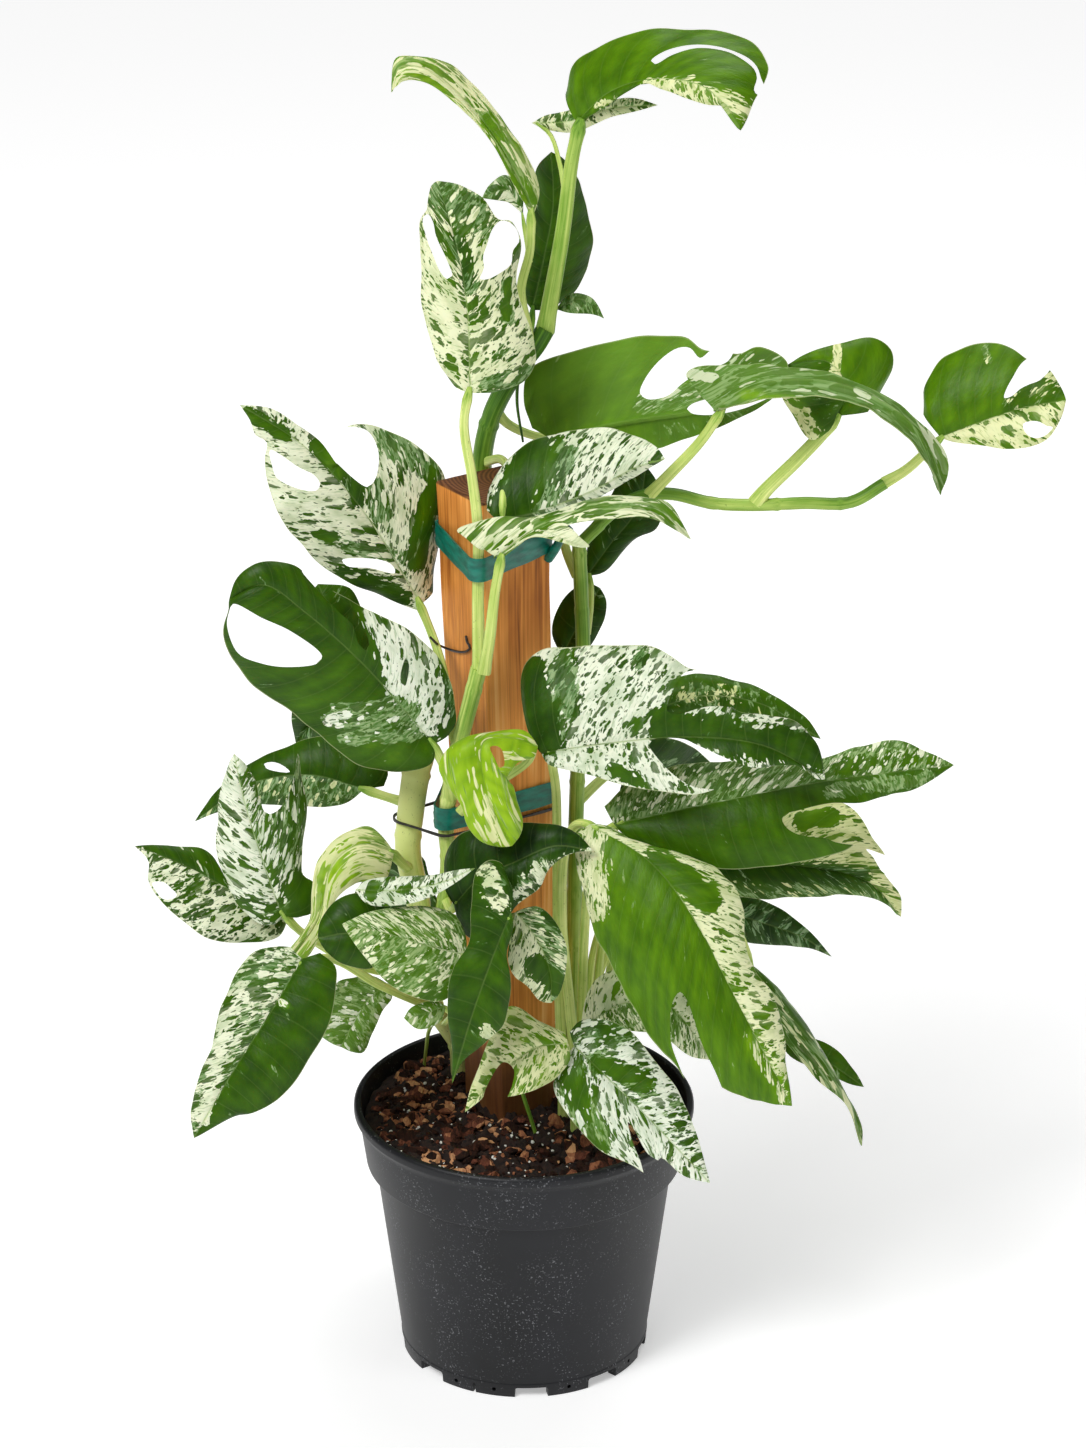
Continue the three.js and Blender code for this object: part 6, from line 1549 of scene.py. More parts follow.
        tilt=(0, 0), girth=(3.4, 2.6), on="soil"),
    "leaf_droop_short": Leaf(rib=((775, 1030, 26), (816, 1054, 32), (864, 1087, 34)),
        left=((0.3, 800, 1034), (0.6, 834, 1048), (0.85, 854, 1070)),
        right=((0.3, 790, 1056), (0.6, 824, 1072), (0.85, 850, 1084)),
        stalk=((775, 1030, 26), (738, 1004, 20), (690, 990, 12), (645, 1000, 4), (620, 1040, -2),
            (615, 1085, -5)),
        tilt=(-0.4, 0.3), girth=(3, 2.4), on="soil"),
    "leaf_pale_behind": Leaf(rib=((580, 1030, 36), (622, 1004, 42), (666, 1004, 46), (712, 1060, 48)),
        left=((0.18, 592, 982), (0.4, 632, 966), (0.62, 674, 980), (0.84, 704, 1014)),
        right=((0.15, 596, 1036), (0.35, 630, 1032), (0.6, 662, 1036), (0.82, 690, 1056)),
        stalk=((580, 1030, 36), (583, 1048, 34), (590, 1068, 30), (592, 1090, 28)),
        tilt=(-0.1, 0.1), girth=(3.2, 2.6), on="soil"),
    "leaf_grey_back_top": Leaf(rib=((587, 576, -52), (610, 545, -56), (638, 508, -62), (646, 466, -66)),
        left=((0.1, 586, 552), (0.34, 596, 520), (0.62, 612, 494), (0.86, 628, 466)),
        right=((0.06, 604, 572), (0.3, 634, 542), (0.5, 656, 528), (0.72, 664, 504), (0.9, 656, 480)),
        stalk=((587, 576, -52), (590, 604, -48), (586, 634, -38)),
        tilt=(-0.15, -0.2), girth=(3.2, 2.6), on="stem_right"),
    "leaf_grey_back_low": Leaf(rib=((562, 656, -52), (580, 622, -56), (600, 588, -60)),
        left=((0.2, 552, 634), (0.6, 562, 600), (0.9, 586, 583)),
        right=((0.2, 586, 650), (0.6, 602, 626), (0.9, 606, 600)),
        stalk=((562, 656, -52), (566, 680, -48), (576, 704, -41)),
        tilt=(-0.1, -0.15), girth=(2.8, 2.2), on="stem_right"),
    "leaf_grey_green_low": Leaf(rib=((388, 984, -14), (368, 1000, -18), (352, 1026, -22), (341, 1047, -24)),
        left=((0.15, 392, 998), (0.4, 382, 1012), (0.7, 372, 1034), (0.95, 361, 1054)),
        right=((0.1, 372, 976), (0.3, 352, 978), (0.5, 335, 984), (0.7, 331, 1010), (0.95, 321, 1037)),
        stalk=((388, 984, -14), (404, 986, -20), (429, 989, -40)),
        tilt=(0, -0.15), girth=(2.8, 2.2), on="stem_left"),
    "leaf_small_low": Leaf(rib=((446, 1006, 84), (426, 1013, 88), (404, 1018, 90)),
        left=((0.25, 440, 1022), (0.7, 418, 1029)),
        right=((0.25, 434, 1001), (0.7, 412, 1007)),
        stalk=((446, 1006, 84), (450, 1014, 64), (446, 1022, 10), (444, 1024, -56)),
        tilt=(-0.1, -0.15), girth=(2.4, 1.8), on="stem_left"),
    "leaf_back_right": Leaf(rib=((628, 770, -96), (668, 790, -140), (716, 838, -176), (752, 900, -196)),
        left=((0.02, 640, 742), (0.14, 676, 740), (0.36, 712, 764), (0.6, 744, 812), (0.84, 764, 868)),
        right=((0.04, 620, 794), (0.18, 626, 836), (0.4, 656, 866), (0.64, 698, 884), (0.86, 734, 902)),
        stalk=((628, 770, -96), (612, 772, -76), (579, 800, -41)),
        tilt=(0.2, 0.2), girth=(4, 3.2), on="stem_right"),
    "leaf_back_right_low": Leaf(rib=((618, 900, -104), (662, 912, -146), (706, 950, -176)),
        left=((0.04, 628, 876), (0.3, 668, 880), (0.7, 706, 916)),
        right=((0.04, 612, 922), (0.3, 636, 950), (0.7, 684, 966)),
        stalk=((618, 900, -104), (606, 915, -80), (592, 960, -60), (588, 1050, -52)),
        tilt=(0.2, 0.25), girth=(3.6, 2.8), on="soil"),
    "leaf_back_left": Leaf(rib=((420, 660, -92), (380, 668, -136), (330, 700, -176), (296, 744, -200)),
        left=((0.05, 424, 690), (0.25, 404, 722), (0.55, 362, 744), (0.82, 322, 752)),
        right=((0.04, 404, 636), (0.22, 362, 634), (0.5, 316, 666), (0.8, 292, 712)),
        stalk=((420, 660, -92), (448, 668, -86), (480, 692, -74), (494, 712, -66)),
        tilt=(0.15, 0.2), girth=(4, 3.2), on="stem_main"),
    "leaf_back_left_low": Leaf(rib=((430, 880, -88), (398, 896, -130), (360, 930, -164)),
        left=((0.05, 436, 908), (0.3, 418, 936), (0.7, 378, 952)),
        right=((0.05, 420, 856), (0.3, 382, 866), (0.7, 352, 900)),
        stalk=((430, 880, -88), (452, 888, -80), (478, 912, -72), (499, 936, -68)),
        tilt=(0.2, 0.2), girth=(3.6, 2.8), on="stem_main"),
    "leaf_back_middle": Leaf(rib=((502, 590, -98), (500, 640, -144), (496, 710, -180), (492, 790, -198)),
        left=((0.03, 530, 588), (0.16, 544, 614), (0.4, 542, 676), (0.7, 520, 740)),
        right=((0.03, 474, 594), (0.16, 456, 622), (0.4, 452, 684), (0.7, 470, 748)),
        stalk=((502, 590, -98), (503, 580, -84), (498, 592, -66)),
        tilt=(0.2, 0.2), girth=(4.2, 3.4), on="stem_main"),
    "leaf_back_top": Leaf(rib=((560, 438, -84), (588, 426, -124), (620, 428, -156), (652, 440, -176)),
        left=((0.05, 562, 414), (0.3, 592, 398), (0.6, 622, 402), (0.85, 642, 420)),
        right=((0.05, 566, 456), (0.3, 592, 462), (0.6, 624, 456), (0.85, 644, 450)),
        stalk=((560, 438, -84), (536, 436, -70), (508, 424, -52), (497, 412, -45)),
        tilt=(0.2, 0.2), girth=(3.6, 2.8), on="stem_main"),
}

STEMS = {
    "vine_front": Stem(path=((474, 1052, -64), (472, 1034, -62), (460, 1004, -56), (447, 972, -34),
            (441, 930, -4), (446, 890, 22), (448, 855, 34), (446, 825, 36), (453, 770, 40), (471, 700, 44),
            (479, 668, 45)), girth=(5.2, 6), foot="soil"),
    "stem_main": Stem(path=((508, 1050, -66), (508, 800, -66), (500, 640, -64), (488, 520, -60),
            (482, 466, -56), (492, 415, -48), (515, 372, -42), (536, 345, -40),
            (546, 328, -40)), girth=(7.5, 7), foot="soil"),
    "stem_left": Stem(path=((459, 1062, -62), (457, 1044, -62), (436, 1010, -52), (422, 965, -24),
            (418, 900, 4), (408, 850, 12), (411, 810, 12), (416, 775, 8),
            (424, 742, 0)), girth=(6, 10.5), foot="soil"),
    "stem_right": Stem(path=((571, 1068, -45), (574, 900, -42), (578, 760, -38), (583, 660, -34),
            (581, 590, -30), (579, 545, -28)), girth=(6.2, 5.2), foot="soil"),
    "runner": Stem(path=((578, 546, -29), (594, 530, -25), (614, 511, -22), (642, 496, -18), (672, 494, -16),
            (712, 503, -15), (754, 505, -14), (803, 503, -14), (851, 502, -15),
            (885, 483, -16)), girth=(4.6, 4.4), foot="stem_right"),
}


PLAIN = Marking((-0.6, 0.2, 0.25), (-0.6, 0.2, 0.25))

MARKINGS = {
    "leaf_crown": Marking((-0.6, 0, 0.6), (-0.6, 0, 0.52), warm=0.9, stalk_green=0.42,
        patches=(Patch((650, 86), (690, 88), 9, 0.9, 0.3, 0.7),
            Patch((690, 90), (748, 112), 11, 0.9, 0.3, 0.7),
            Patch((598, 105), (614, 100), 5, 0.6, 0.3, 0.6))),
    "leaf_crown_small": Marking((0.5, 0.9, 0.4), (0.8, 0.6, 0.4), warm=0.7),
    "leaf_curled": Marking((0.85, 0.9, 0.8), (0.6, 0.9, 0.75), warm=0.9, lengthwise=True,
        patches=(Patch((485, 118), (530, 200), 6, 0.1, 0.3, 0.75),)),
    "leaf_young_left": Marking((0.1, 1.1, 0.4), (0.0, 1.1, 0.4)),
    "leaf_shade": Marking((-0.6, 0, 0.3), (-0.6, 0, 0.36), stalk_green=0.5),
    "leaf_young_right": Marking((-0.1, 1.1, 0.4), (-0.1, 1.1, 0.4)),
    "leaf_cream_upper": Marking((0.85, 0.2, 0.5), (0.75, 0.4, 0.45), warm=0.65, stalk_green=0.17,
        patches=(Patch((440, 195), (475, 215), 18, 0.15, 1.0, 0.35),
            Patch((430, 225), (450, 250), 8, 0.0, 0.2, 0.4), Patch((458, 240), (470, 285), 9, 0.05, 0.5, 0.3),
            Patch((500, 290), (505, 360), 20, 0.6, 0.7, 0.4), Patch((508, 282), (505, 318), 4, -0.5, 0, 0.5),
            Patch((490, 385), (530, 375), 9, -0.1, 0.9, 0.35))),
    "leaf_green_underside": Marking((-0.6, 0, 0.66), (-0.6, 0, 0.6), seen=Face.UNDER,
        patches=(Patch((645, 402), (700, 392), 12, 0.2, 1.1, 0.4),
            Patch((660, 434), (745, 410), 11, -0.5, 0.4, 0.45),
            Patch((715, 362), (785, 360), 8, 0.25, 0.3, 0.3))),
    "leaf_side_on": Marking((-0.15, 1.3, 0.45), (-0.05, 1.2, 0.4), lengthwise=True, seen=Face.UNDER,
        patches=(Patch((690, 374), (715, 378), 5, 1.0, 0.4, 0.6),
            Patch((925, 415), (944, 452), 8, 1.0, 0.3, 0.6), Patch((745, 395), (800, 403), 6, 0.3, 0.6, 0.8),
            Patch((940, 440), (948, 470), 7, 1.1, 0.1, 0.6))),
    "leaf_yellow_rib": Marking((-0.2, 0.2, 0.4), (-0.6, 0, 0.6), warm=1,
        patches=(Patch((785, 400), (810, 432), 13, 0.95, 0, 0.7),
            Patch((838, 345), (835, 382), 6, 0.95, 0.1, 0.7))),
    "leaf_far_right": Marking((-0.5, 0, 0.58), (0.95, 0.05, 0.6), warm=0.9,
        patches=(Patch((985, 350), (990, 364), 4, 0.4, 1, 0.5),
            Patch((1015, 405), (1055, 380), 11, 0.45, 0.3, 0.45))),
    "leaf_over_stake_back": Marking((0.9, 0.3, 0.35), (0.85, 0.3, 0.35), warm=0.3,
        patches=(Patch((568, 452), (545, 505), 12, 0.2, 1.0, 0.3),
            Patch((535, 450), (510, 510), 18, -0.55, 0.05, 0.3),
            Patch((558, 440), (535, 500), 5, -0.2, 0.1, 0.42))),
    "leaf_over_stake_front": Marking((0.9, 0.8, 0.6), (1.2, 0.6, 0.6), warm=0.6, lengthwise=True,
        patches=(Patch((540, 525), (570, 520), 8, 0.2, 0.6, 0.6),
            Patch((585, 505), (680, 520), 14, 0.35, 0.8, 0.6))),
    "leaf_left_cream": Marking((0.95, 0.2, 0.35), (0.8, 0.5, 0.35), warm=0.4,
        patches=(Patch((248, 413), (286, 436), 6, -0.5, 0, 0.45),
            Patch((318, 447), (340, 472), 8, -0.6, 0, 0.5), Patch((352, 483), (358, 500), 6, -0.6, 0, 0.3),
            Patch((345, 575), (400, 595), 12, -0.1, 0.2, 0.3), Patch((318, 533), (330, 536), 5, -0.4, 0, 0.4),
            Patch((345, 545), (400, 556), 8, 0.2, 0.8, 0.35),
            Patch((390, 440), (425, 462), 16, 0.0, 1.0, 0.35),
            Patch((372, 490), (380, 515), 9, 0.0, 0.9, 0.3),
            Patch((425, 500), (415, 560), 8, -0.5, 0.1, 0.45), Patch((433, 470), (433, 510), 6, -0.4, 0, 0.5),
            Patch((425, 592), (440, 560), 7, 0.6, 0.3, 0.3))),
    "leaf_left_green": Marking((-0.6, 0, 0.34), (-0.6, 0, 0.3), warm=0.15,
        patches=(Patch((376, 612), (395, 668), 17, 0.95, 0.2, 0.4),
            Patch((408, 636), (430, 700), 24, 0.92, 0.3, 0.35),
            Patch((400, 690), (428, 728), 14, 0.85, 0.4, 0.35),
            Patch((448, 680), (450, 712), 5, 0.1, 0.8, 0.2),
            Patch((338, 716), (404, 712), 15, 0.15, 1.2, 0.4),
            Patch((345, 736), (415, 738), 8, 0.0, 1.2, 0.4), Patch((328, 722), (345, 714), 8, 0.75, 0.6, 0.4),
            Patch((370, 756), (425, 752), 13, -0.6, 0, 0.5),
            Patch((300, 695), (340, 680), 12, -0.6, 0, 0.48))),
    "leaf_left_behind": Marking((-0.5, 0.2, 0.35), (-0.5, 0.2, 0.35)),
    "leaf_left_low_behind": Marking((0.0, 1.1, 0.3), (-0.5, 0.1, 0.32), warm=0.8),
    "leaf_left_upright": Marking((0.8, 0.5, 0.42), (0.5, 0.4, 0.42), warm=0.2,
        patches=(Patch((297, 770), (285, 862), 10, 0.15, 0.5, 0.38),
            Patch((303, 892), (306, 908), 16, -0.6, 0, 0.42),
            Patch((245, 905), (275, 916), 11, 0.1, 0.3, 0.4), Patch((235, 756), (240, 766), 6, 0.9, 0, 0.7))),
    "leaf_left_far": Marking((0.6, 0.3, 0.35), (-0.1, 0.1, 0.35), warm=0.4),
    "leaf_left_low": Marking((-0.6, 0.05, 0.34), (0.42, 0.8, 0.35), warm=0.4,
        patches=(Patch((232, 1000), (205, 1120), 7, 0.9, 0.4, 0.4),
            Patch((282, 1002), (288, 1006), 3, 0.95, 0, 0.9))),
    "leaf_pale_curled": Marking((0.75, 1.1, 0.9), (0.5, 1.1, 0.9), warm=1, lengthwise=True),
    "leaf_cream_low": Marking((0.35, 1.0, 0.55), (0.42, 1.0, 0.55), warm=0.6,
        patches=(Patch((425, 1000), (450, 990), 7, 0, 0.2, 0.5),
            Patch((462, 915), (474, 940), 7, -0.5, 0, 0.6))),
    "leaf_round_dark": Marking((-0.6, 0, 0.32), (-0.6, 0, 0.3)),
    "leaf_narrow_marbled": Marking((0.7, 0.5, 0.42), (0.8, 0.4, 0.42), warm=0.2,
        patches=(Patch((370, 896), (374, 886), 5, -0.5, 0, 0.5),
            Patch((405, 892), (410, 886), 3, -0.4, 0, 0.5))),
    "leaf_long_dark": Marking((-0.6, 0, 0.34), (-0.6, 0, 0.3), warm=0.6,
        patches=(Patch((486, 870), (500, 903), 12, 0.75, 0.3, 0.3),
            Patch((486, 1032), (494, 1046), 9, 0.85, 0.2, 0.4))),
    "leaf_marbled_low": Marking((0.35, 0.9, 0.35), (0.8, 0.4, 0.45), warm=0.6,
        patches=(Patch((535, 965), (558, 985), 10, -0.6, 0, 0.35),
            Patch((545, 912), (560, 930), 5, -0.2, 0.4, 0.2))),
    "leaf_dark_drape": Marking((-0.6, 0, 0.12), (-0.6, 0, 0.15), warm=0.4,
        patches=(Patch((520, 895), (545, 868), 14, 0.6, 0.6, 0.3),
            Patch((560, 860), (590, 851), 5, 0.75, 0.3, 0.3))),
    "leaf_over_soil": Marking((0.72, 0.8, 0.75), (0.8, 0.8, 0.75), warm=0.9,
        patches=(Patch((500, 1070), (470, 1105), 12, 0.75, 0.3, 0.5),)),
    "leaf_over_rim": Marking((0.62, 0.7, 0.35), (0.66, 0.7, 0.45), warm=0.1,
        patches=(Patch((580, 1030), (625, 1034), 12, 0.2, 0.5, 0.3),
            Patch((598, 1062), (645, 1085), 9, -0.3, 0.1, 0.45),
            Patch((572, 1075), (600, 1142), 13, 0.0, 0.3, 0.48),
            Patch((604, 1082), (625, 1128), 8, 0.9, 0.3, 0.4))),
    "leaf_front_right": Marking((0.9, 0.15, 0.6), (-0.6, 0, 0.6), warm=0.75,
        patches=(Patch((590, 840), (594, 905), 19, 1.05, 0.1, 0.65),
            Patch((655, 862), (708, 898), 12, -0.6, 0, 0.52),
            Patch((752, 1040), (790, 1100), 10, 0.4, 0.3, 0.75))),
    "leaf_right_long": Marking((0.25, 1.2, 0.46), (-0.6, 0, 0.44), warm=0.4,
        patches=(Patch((840, 768), (940, 755), 12, 0.35, 0.4, 0.5),
            Patch((830, 792), (930, 778), 7, -0.2, 1.0, 0.45))),
    "leaf_right_marbled": Marking((0.8, 0.4, 0.35), (0.8, 0.4, 0.4), warm=0.2,
        patches=(Patch((563, 662), (568, 705), 11, -0.2, 0.8, 0.3),
            Patch((528, 675), (545, 735), 17, -0.6, 0.05, 0.22),
            Patch((642, 652), (638, 668), 8, 0.1, 0.6, 0.3), Patch((665, 726), (815, 752), 17, -0.6, 0, 0.28),
            Patch((614, 770), (640, 782), 6, -0.3, 0.1, 0.4))),
    "leaf_lime_twisted": Marking((-0.15, 0.4, 0.93), (0.15, 0.4, 0.93), warm=1, wave=0.3, lengthwise=True,
        patches=(Patch((488, 800), (492, 838), 5, 0.8, 0, 0.9),)),
    "leaf_olive": Marking((-0.4, 0.3, 0.42), (-0.3, 0.3, 0.4), warm=1,
        patches=(Patch((680, 697), (735, 693), 8, 0.5, 0.6, 0.4),)),
    "leaf_yellow_behind": Marking((1.0, 0.4, 0.65), (0.1, 0.5, 0.42), warm=1,
        patches=(Patch((802, 823), (832, 818), 9, -0.5, 0, 0.62),
            Patch((848, 800), (880, 868), 12, 1.0, 0.2, 0.6),
            Patch((720, 868), (860, 875), 10, -0.5, 0.3, 0.25))),
    "leaf_right_low_grey": Marking((-0.5, 0.5, 0.2), (-0.5, 0.5, 0.2)),
    "leaf_droop_long": Marking((0.4, 0.8, 0.45), (0.35, 0.8, 0.45), warm=0.8, lengthwise=True),
    "leaf_droop_short": Marking((-0.4, 0.2, 0.42), (-0.4, 0.2, 0.42)),
    "leaf_pale_behind": Marking((0.8, 1.0, 0.6), (0.5, 1.2, 0.55), warm=0.5),
    "leaf_grey_green_low": Marking((0.1, 1.1, 0.6), (0.3, 1.1, 0.6), warm=0.3),
    "leaf_small_low": Marking((0.3, 0.9, 0.6), (0.3, 0.9, 0.6)),
}


@dataclass
class Foliage:
    """All leaves, each with its stalk, in the marbled finish."""

    blade_material: bpy.types.Material
    stalk_material: bpy.types.Material
    stalk_foot: float = 178.0
    stalk_sides: int = 14
    neck: float = 0.03
    collar: float = 0.16
    foot_swell: float = 0.12
    swell_length: float = 9.0

    def stalk(self, blade: Blade) -> bpy.types.Mesh:
        """A leaf's stalk, swollen where it meets the blade.

        Args:
            blade: the leaf's blade.

        Returns:
            The stalk's mesh.
        """
        leaf = blade.leaf
        seen = np.array(leaf.stalk, float)
        path = SIGHT.place(seen)[::-1]
        path[-1] = SIGHT.place(blade.rib.at(self.neck)[0])
        if leaf.on == "soil":
            path = np.vstack([[path[0][0], path[0][1], self.stalk_foot], path])
        fine = spread(path, 5.0)
        t = np.linspace(0, 1, len(fine))
        run = t * np.linalg.norm(np.diff(fine, axis=0), axis=1).sum()
        radii = leaf.girth[0] + (leaf.girth[1] - leaf.girth[0]) * t
        collar = self.collar * np.exp(-((run[-1] - run - self.swell_length) / 6) ** 2)
        radii = radii * (1 + collar + self.foot_swell * np.exp(-(run / self.swell_length) ** 2))
        radii[-1] *= 0.55
        radii[-2] *= 0.85
        green = blade.marking.stalk_green + 0.25 * (1 - ease(run[-1] - run, 4, 16))
        shell = tube(fine, radii, self.stalk_sides, green, groove=0.3)
        return to_corners(shell.mesh("stalk"))

    def build(self) -> None:
        """Builds every leaf."""
        materials = [self.blade_material, self.stalk_material]
        for seed, (name, leaf) in enumerate(LEAVES.items()):
            blade = Blade(name, leaf, MARKINGS.get(name, PLAIN), seed)
            piece = joined(f"{name}_fine", [blade.mesh(), self.stalk(blade)], materials, 60)
            hand_over(piece, name)


@dataclass
class Vines:
    """The stems, the runner and the roots on them."""

    material: bpy.types.Material
    wire: bpy.types.Material
    foot_z: float = 148.0
    sides: int = 20
    node_gap: float = 46.0
    node_height: float = 0.1
    wire_radius: float = 0.9
    wire_seen: tuple[Seen, ...] = (
        (430, 637, 9), (436, 643, 8), (441, 646, -6), (448, 649, -10), (455, 651, -3), (461, 652, 4),
        (467, 651, 10), (470, 647, 13), (467, 642, 11), (466, 636, 11))

    def path(self, stem: Stem) -> np.ndarray:
        """A stem's middle in mm, from its foot up."""
        path = SIGHT.place(np.array(stem.path, float))
        if stem.foot == "soil":
            path = np.vstack([[path[0][0], path[0][1], self.foot_z], path])
        return path

    def rod(self, stem: Stem, green: float) -> bpy.types.Mesh:
        """A stem with raised nodes.

        Args:
            stem: the stem.
            green: how green it is.

        Returns:
            The mesh.
        """
        fine = spread(self.path(stem), 3.0)
        t = np.linspace(0, 1, len(fine))
        run = t * np.linalg.norm(np.diff(fine, axis=0), axis=1).sum()
        radii = stem.girth[0] + (stem.girth[1] - stem.girth[0]) * t
        beat = (run % self.node_gap) - self.node_gap / 2
        ring, dip = np.exp(-(beat / 1.8) ** 2), 0.4 * np.exp(-((beat - 4) / 2.5) ** 2)
        radii = radii * (1 + self.node_height * ring - self.node_height * dip)
        return to_corners(tube(fine, radii, self.sides, green + 0.12 * np.sin(run / 31)).mesh("stem"))

    def twig(self, seen: tuple[Seen, ...], girth: tuple[float, float], green: float) -> bpy.types.Mesh:
        """A thin root or nub along seen points.

        Args:
            seen: the points.
            girth: the radius at both ends.
            green: how green it is.

        Returns:
            The mesh.
        """
        fine = spread(SIGHT.place(np.array(seen, float)), 2.5)
        radii = np.linspace(girth[0], girth[1], len(fine))
        return to_corners(tube(fine, radii, 8, green).mesh("twig"))

    def build(self) -> None:
        """Builds the five stems."""
        for name, stem in STEMS.items():
            meshes = [self.rod(stem, STEM_GREENS[name])]
            meshes += [self.twig(*twig) for twig in TWIGS.get(name, ())]
            if name == "vine_front":
                meshes.append(in_slot(self.twig(self.wire_seen, (self.wire_radius, self.wire_radius), 0), 2))
            hand_over(joined(f"{name}_fine", meshes, [self.material, self.material, self.wire], 60), name)


STEM_GREENS = {"vine_front": 0.3, "stem_main": 0.75, "stem_left": -0.08, "stem_right": 0.45, "runner": 0.54}

TWIGS = {
    "stem_left": (
        (((442, 1012, -52), (430, 1028, -58), (426, 1050, -68), (423, 1078, -78)), (1.6, 1.3), 0.3),
        (((520, 1084, 62), (524, 1098, 54), (530, 1116, 47), (537, 1138, 43)), (1.5, 1.5), 0.6),
    ),
    "stem_main": (
        (((530, 352, -42), (520, 372, -33), (517, 400, -30), (523, 442, -30)), (1.5, 0.8), 0.95),
    ),
}


def outward(points: np.ndarray, faces: list[Ring]) -> list[Ring]:
    """Turns a closed shape's faces outwards.

    Args:
        points: its points.
        faces: its faces, all turned the same way.

    Returns:
        The faces.
    """
    volume = 0.0
    for face in faces:
        for b, c in zip(face[1:-1], face[2:]):
            volume += float(np.dot(points[face[0]], np.cross(points[b], points[c])))
    return faces if volume > 0 else [face[::-1] for face in faces]


def closed_out(shape: tuple[np.ndarray, list[Ring]]) -> tuple[np.ndarray, list[Ring]]:
    """Points and faces of a closed shape, with the faces turned outwards."""
    points, faces = shape
    return points, outward(points, faces)


@dataclass
class Pot:
    """The round plastic pot: a lathed wall with a wide rim band, drain notches and small holes."""

    material: bpy.types.Material
    height: float = 204.0
    foot: float = 93.2
    ring_inside: float = 85.7
    band_foot: float = 156.0
    lip_foot: float = 197.0
    body_top: float = 112.0
    lip: float = 127.5
    notch_height: float = 8.4
    notch_margin: float = 7.0
    sides: int = 160
    notches: tuple[tuple[float, float], ...] = (
        (-84, 13), (-48.5, 15.3), (-23.5, 1.4), (3.5, 15.4), (39.5, 16.6), (74, 13), (110, 15), (146, 15),
        (182, 15), (218, 15), (248, 13))
    holes: tuple[float, ...] = (-76, -32.9, -13.8, 21.2, 57.6)
    hole_radius: float = 1.6
    hole_z: float = 6.0

    def profile(self) -> list[tuple[float, float, float]]:
        """Radius, height and rounding of each corner, from the middle of the underside round."""
        foot, inside = self.foot, self.ring_inside
        return [
            (0, 0, 0), (58, 0, 0.6), (62, 7, 0.6), (inside - 1, 7, 0.5), (inside, 0, 0.4), (foot, 0, 0.8),
            (foot + 0.9, 11, 0.5), (foot + 0.5, 11.8, 0.4), (self.body_top, self.band_foot, 0.5),
            (118.5, self.band_foot, 1.6), (123.5, 192, 2), (self.lip, self.lip_foot, 0.8),
            (self.lip, self.height - 2, 1.6), (125.5, self.height, 1.2), (122.3, self.height - 0.4, 0.8),
            (120.9, self.lip_foot, 1.5), (115.9, 158, 1), (109.4, 154, 1), (foot - 1.6, 13.2, 1.5),
            (foot - 4.6, 10.2, 1), (62, 10.2, 1), (58, 3.2, 1), (0, 3.2, 0)]

    def section(self) -> np.ndarray:
        """The profile with rounded corners, and long stretches divided."""
        rows = self.profile()
        out = [np.array(rows[0][:2], float)]
        for before, (radius, level, rounding), after in zip(rows, rows[1:], rows[2:]):
            corner = np.array((radius, level), float)
            a, b = np.array(before[:2], float), np.array(after[:2], float)
            back = min(rounding, np.linalg.norm(a - corner) * 0.45, np.linalg.norm(b - corner) * 0.45)
            start = corner + unit(a - corner) * back
            end = corner + unit(b - corner) * back
            for t in (0, 0.33, 0.67, 1):
                out.append(start * (1 - t) ** 2 + corner * 2 * t * (1 - t) + end * t ** 2)
        out.append(np.array(rows[-1][:2], float))
        return np.array(out)

    def shell(self) -> Shell:
        """The lathed body."""
        section = self.section()
        angle = 2 * np.pi * np.arange(self.sides) / self.sides
        ring = np.column_stack([np.sin(angle), -np.cos(angle)])
        middle = section[1:-1]
        points = np.concatenate([np.column_stack([radius * ring, np.full(self.sides, level)])
                                 for radius, level in middle])
        count = len(points)
        points = np.vstack([points, [[0, 0, section[0][1]], [0, 0, section[-1][1]]]])
        faces = []
        for i in range(len(middle) - 1):
            for j in range(self.sides):
                a, b = i * self.sides + j, i * self.sides + (j + 1) % self.sides
                faces.append((a, b, b + self.sides, a + self.sides))
        last = (len(middle) - 1) * self.sides
        for j in range(self.sides):
            k = (j + 1) % self.sides
            faces.append((count, k, j))
            faces.append((count + 1, last + j, last + k))
        shell = Shell()
        shell.add(points, outward(points, faces), 0)
        return shell

    def blocks(self) -> bpy.types.Mesh:
        """The shapes of all notches and holes."""
        shell = Shell()
        top = self.notch_height
        for middle, width in self.notches:
            low, high = math.radians(middle - width / 2), math.radians(middle + width / 2)
            soft = min(2.0, width * 0.5)
            bend, turn = math.radians(soft * 0.18), math.radians(soft * 0.6)
            rows = [(low, -self.notch_margin), (high, -self.notch_margin), (high, top - soft),
                    (high - bend, top - soft * 0.3), (high - turn, top), (low + turn, top),
                    (low + bend, top - soft * 0.3), (low, top - soft)]
            shell.add(*closed_out(prism([
                np.array([(reach * math.sin(a), -reach * math.cos(a), z) for a, z in rows])
                for reach in (self.ring_inside - self.notch_margin, self.foot + self.notch_margin)])), 0)
        for middle in self.holes:
            way = np.array([math.sin(math.radians(middle)), -math.cos(math.radians(middle)), 0])
            side = np.array([way[1], -way[0], 0])
            turn = 2 * np.pi * np.arange(12) / 12
            ring = np.cos(turn)[:, None] * side + np.sin(turn)[:, None] * np.array([0, 0, 1])
            ring = self.hole_radius * ring + np.array([0, 0, self.hole_z])
            shell.add(*closed_out(prism([ring + way * (self.foot + reach) for reach in (-2.4, 6)])), 0)
        return shell.mesh("notches")

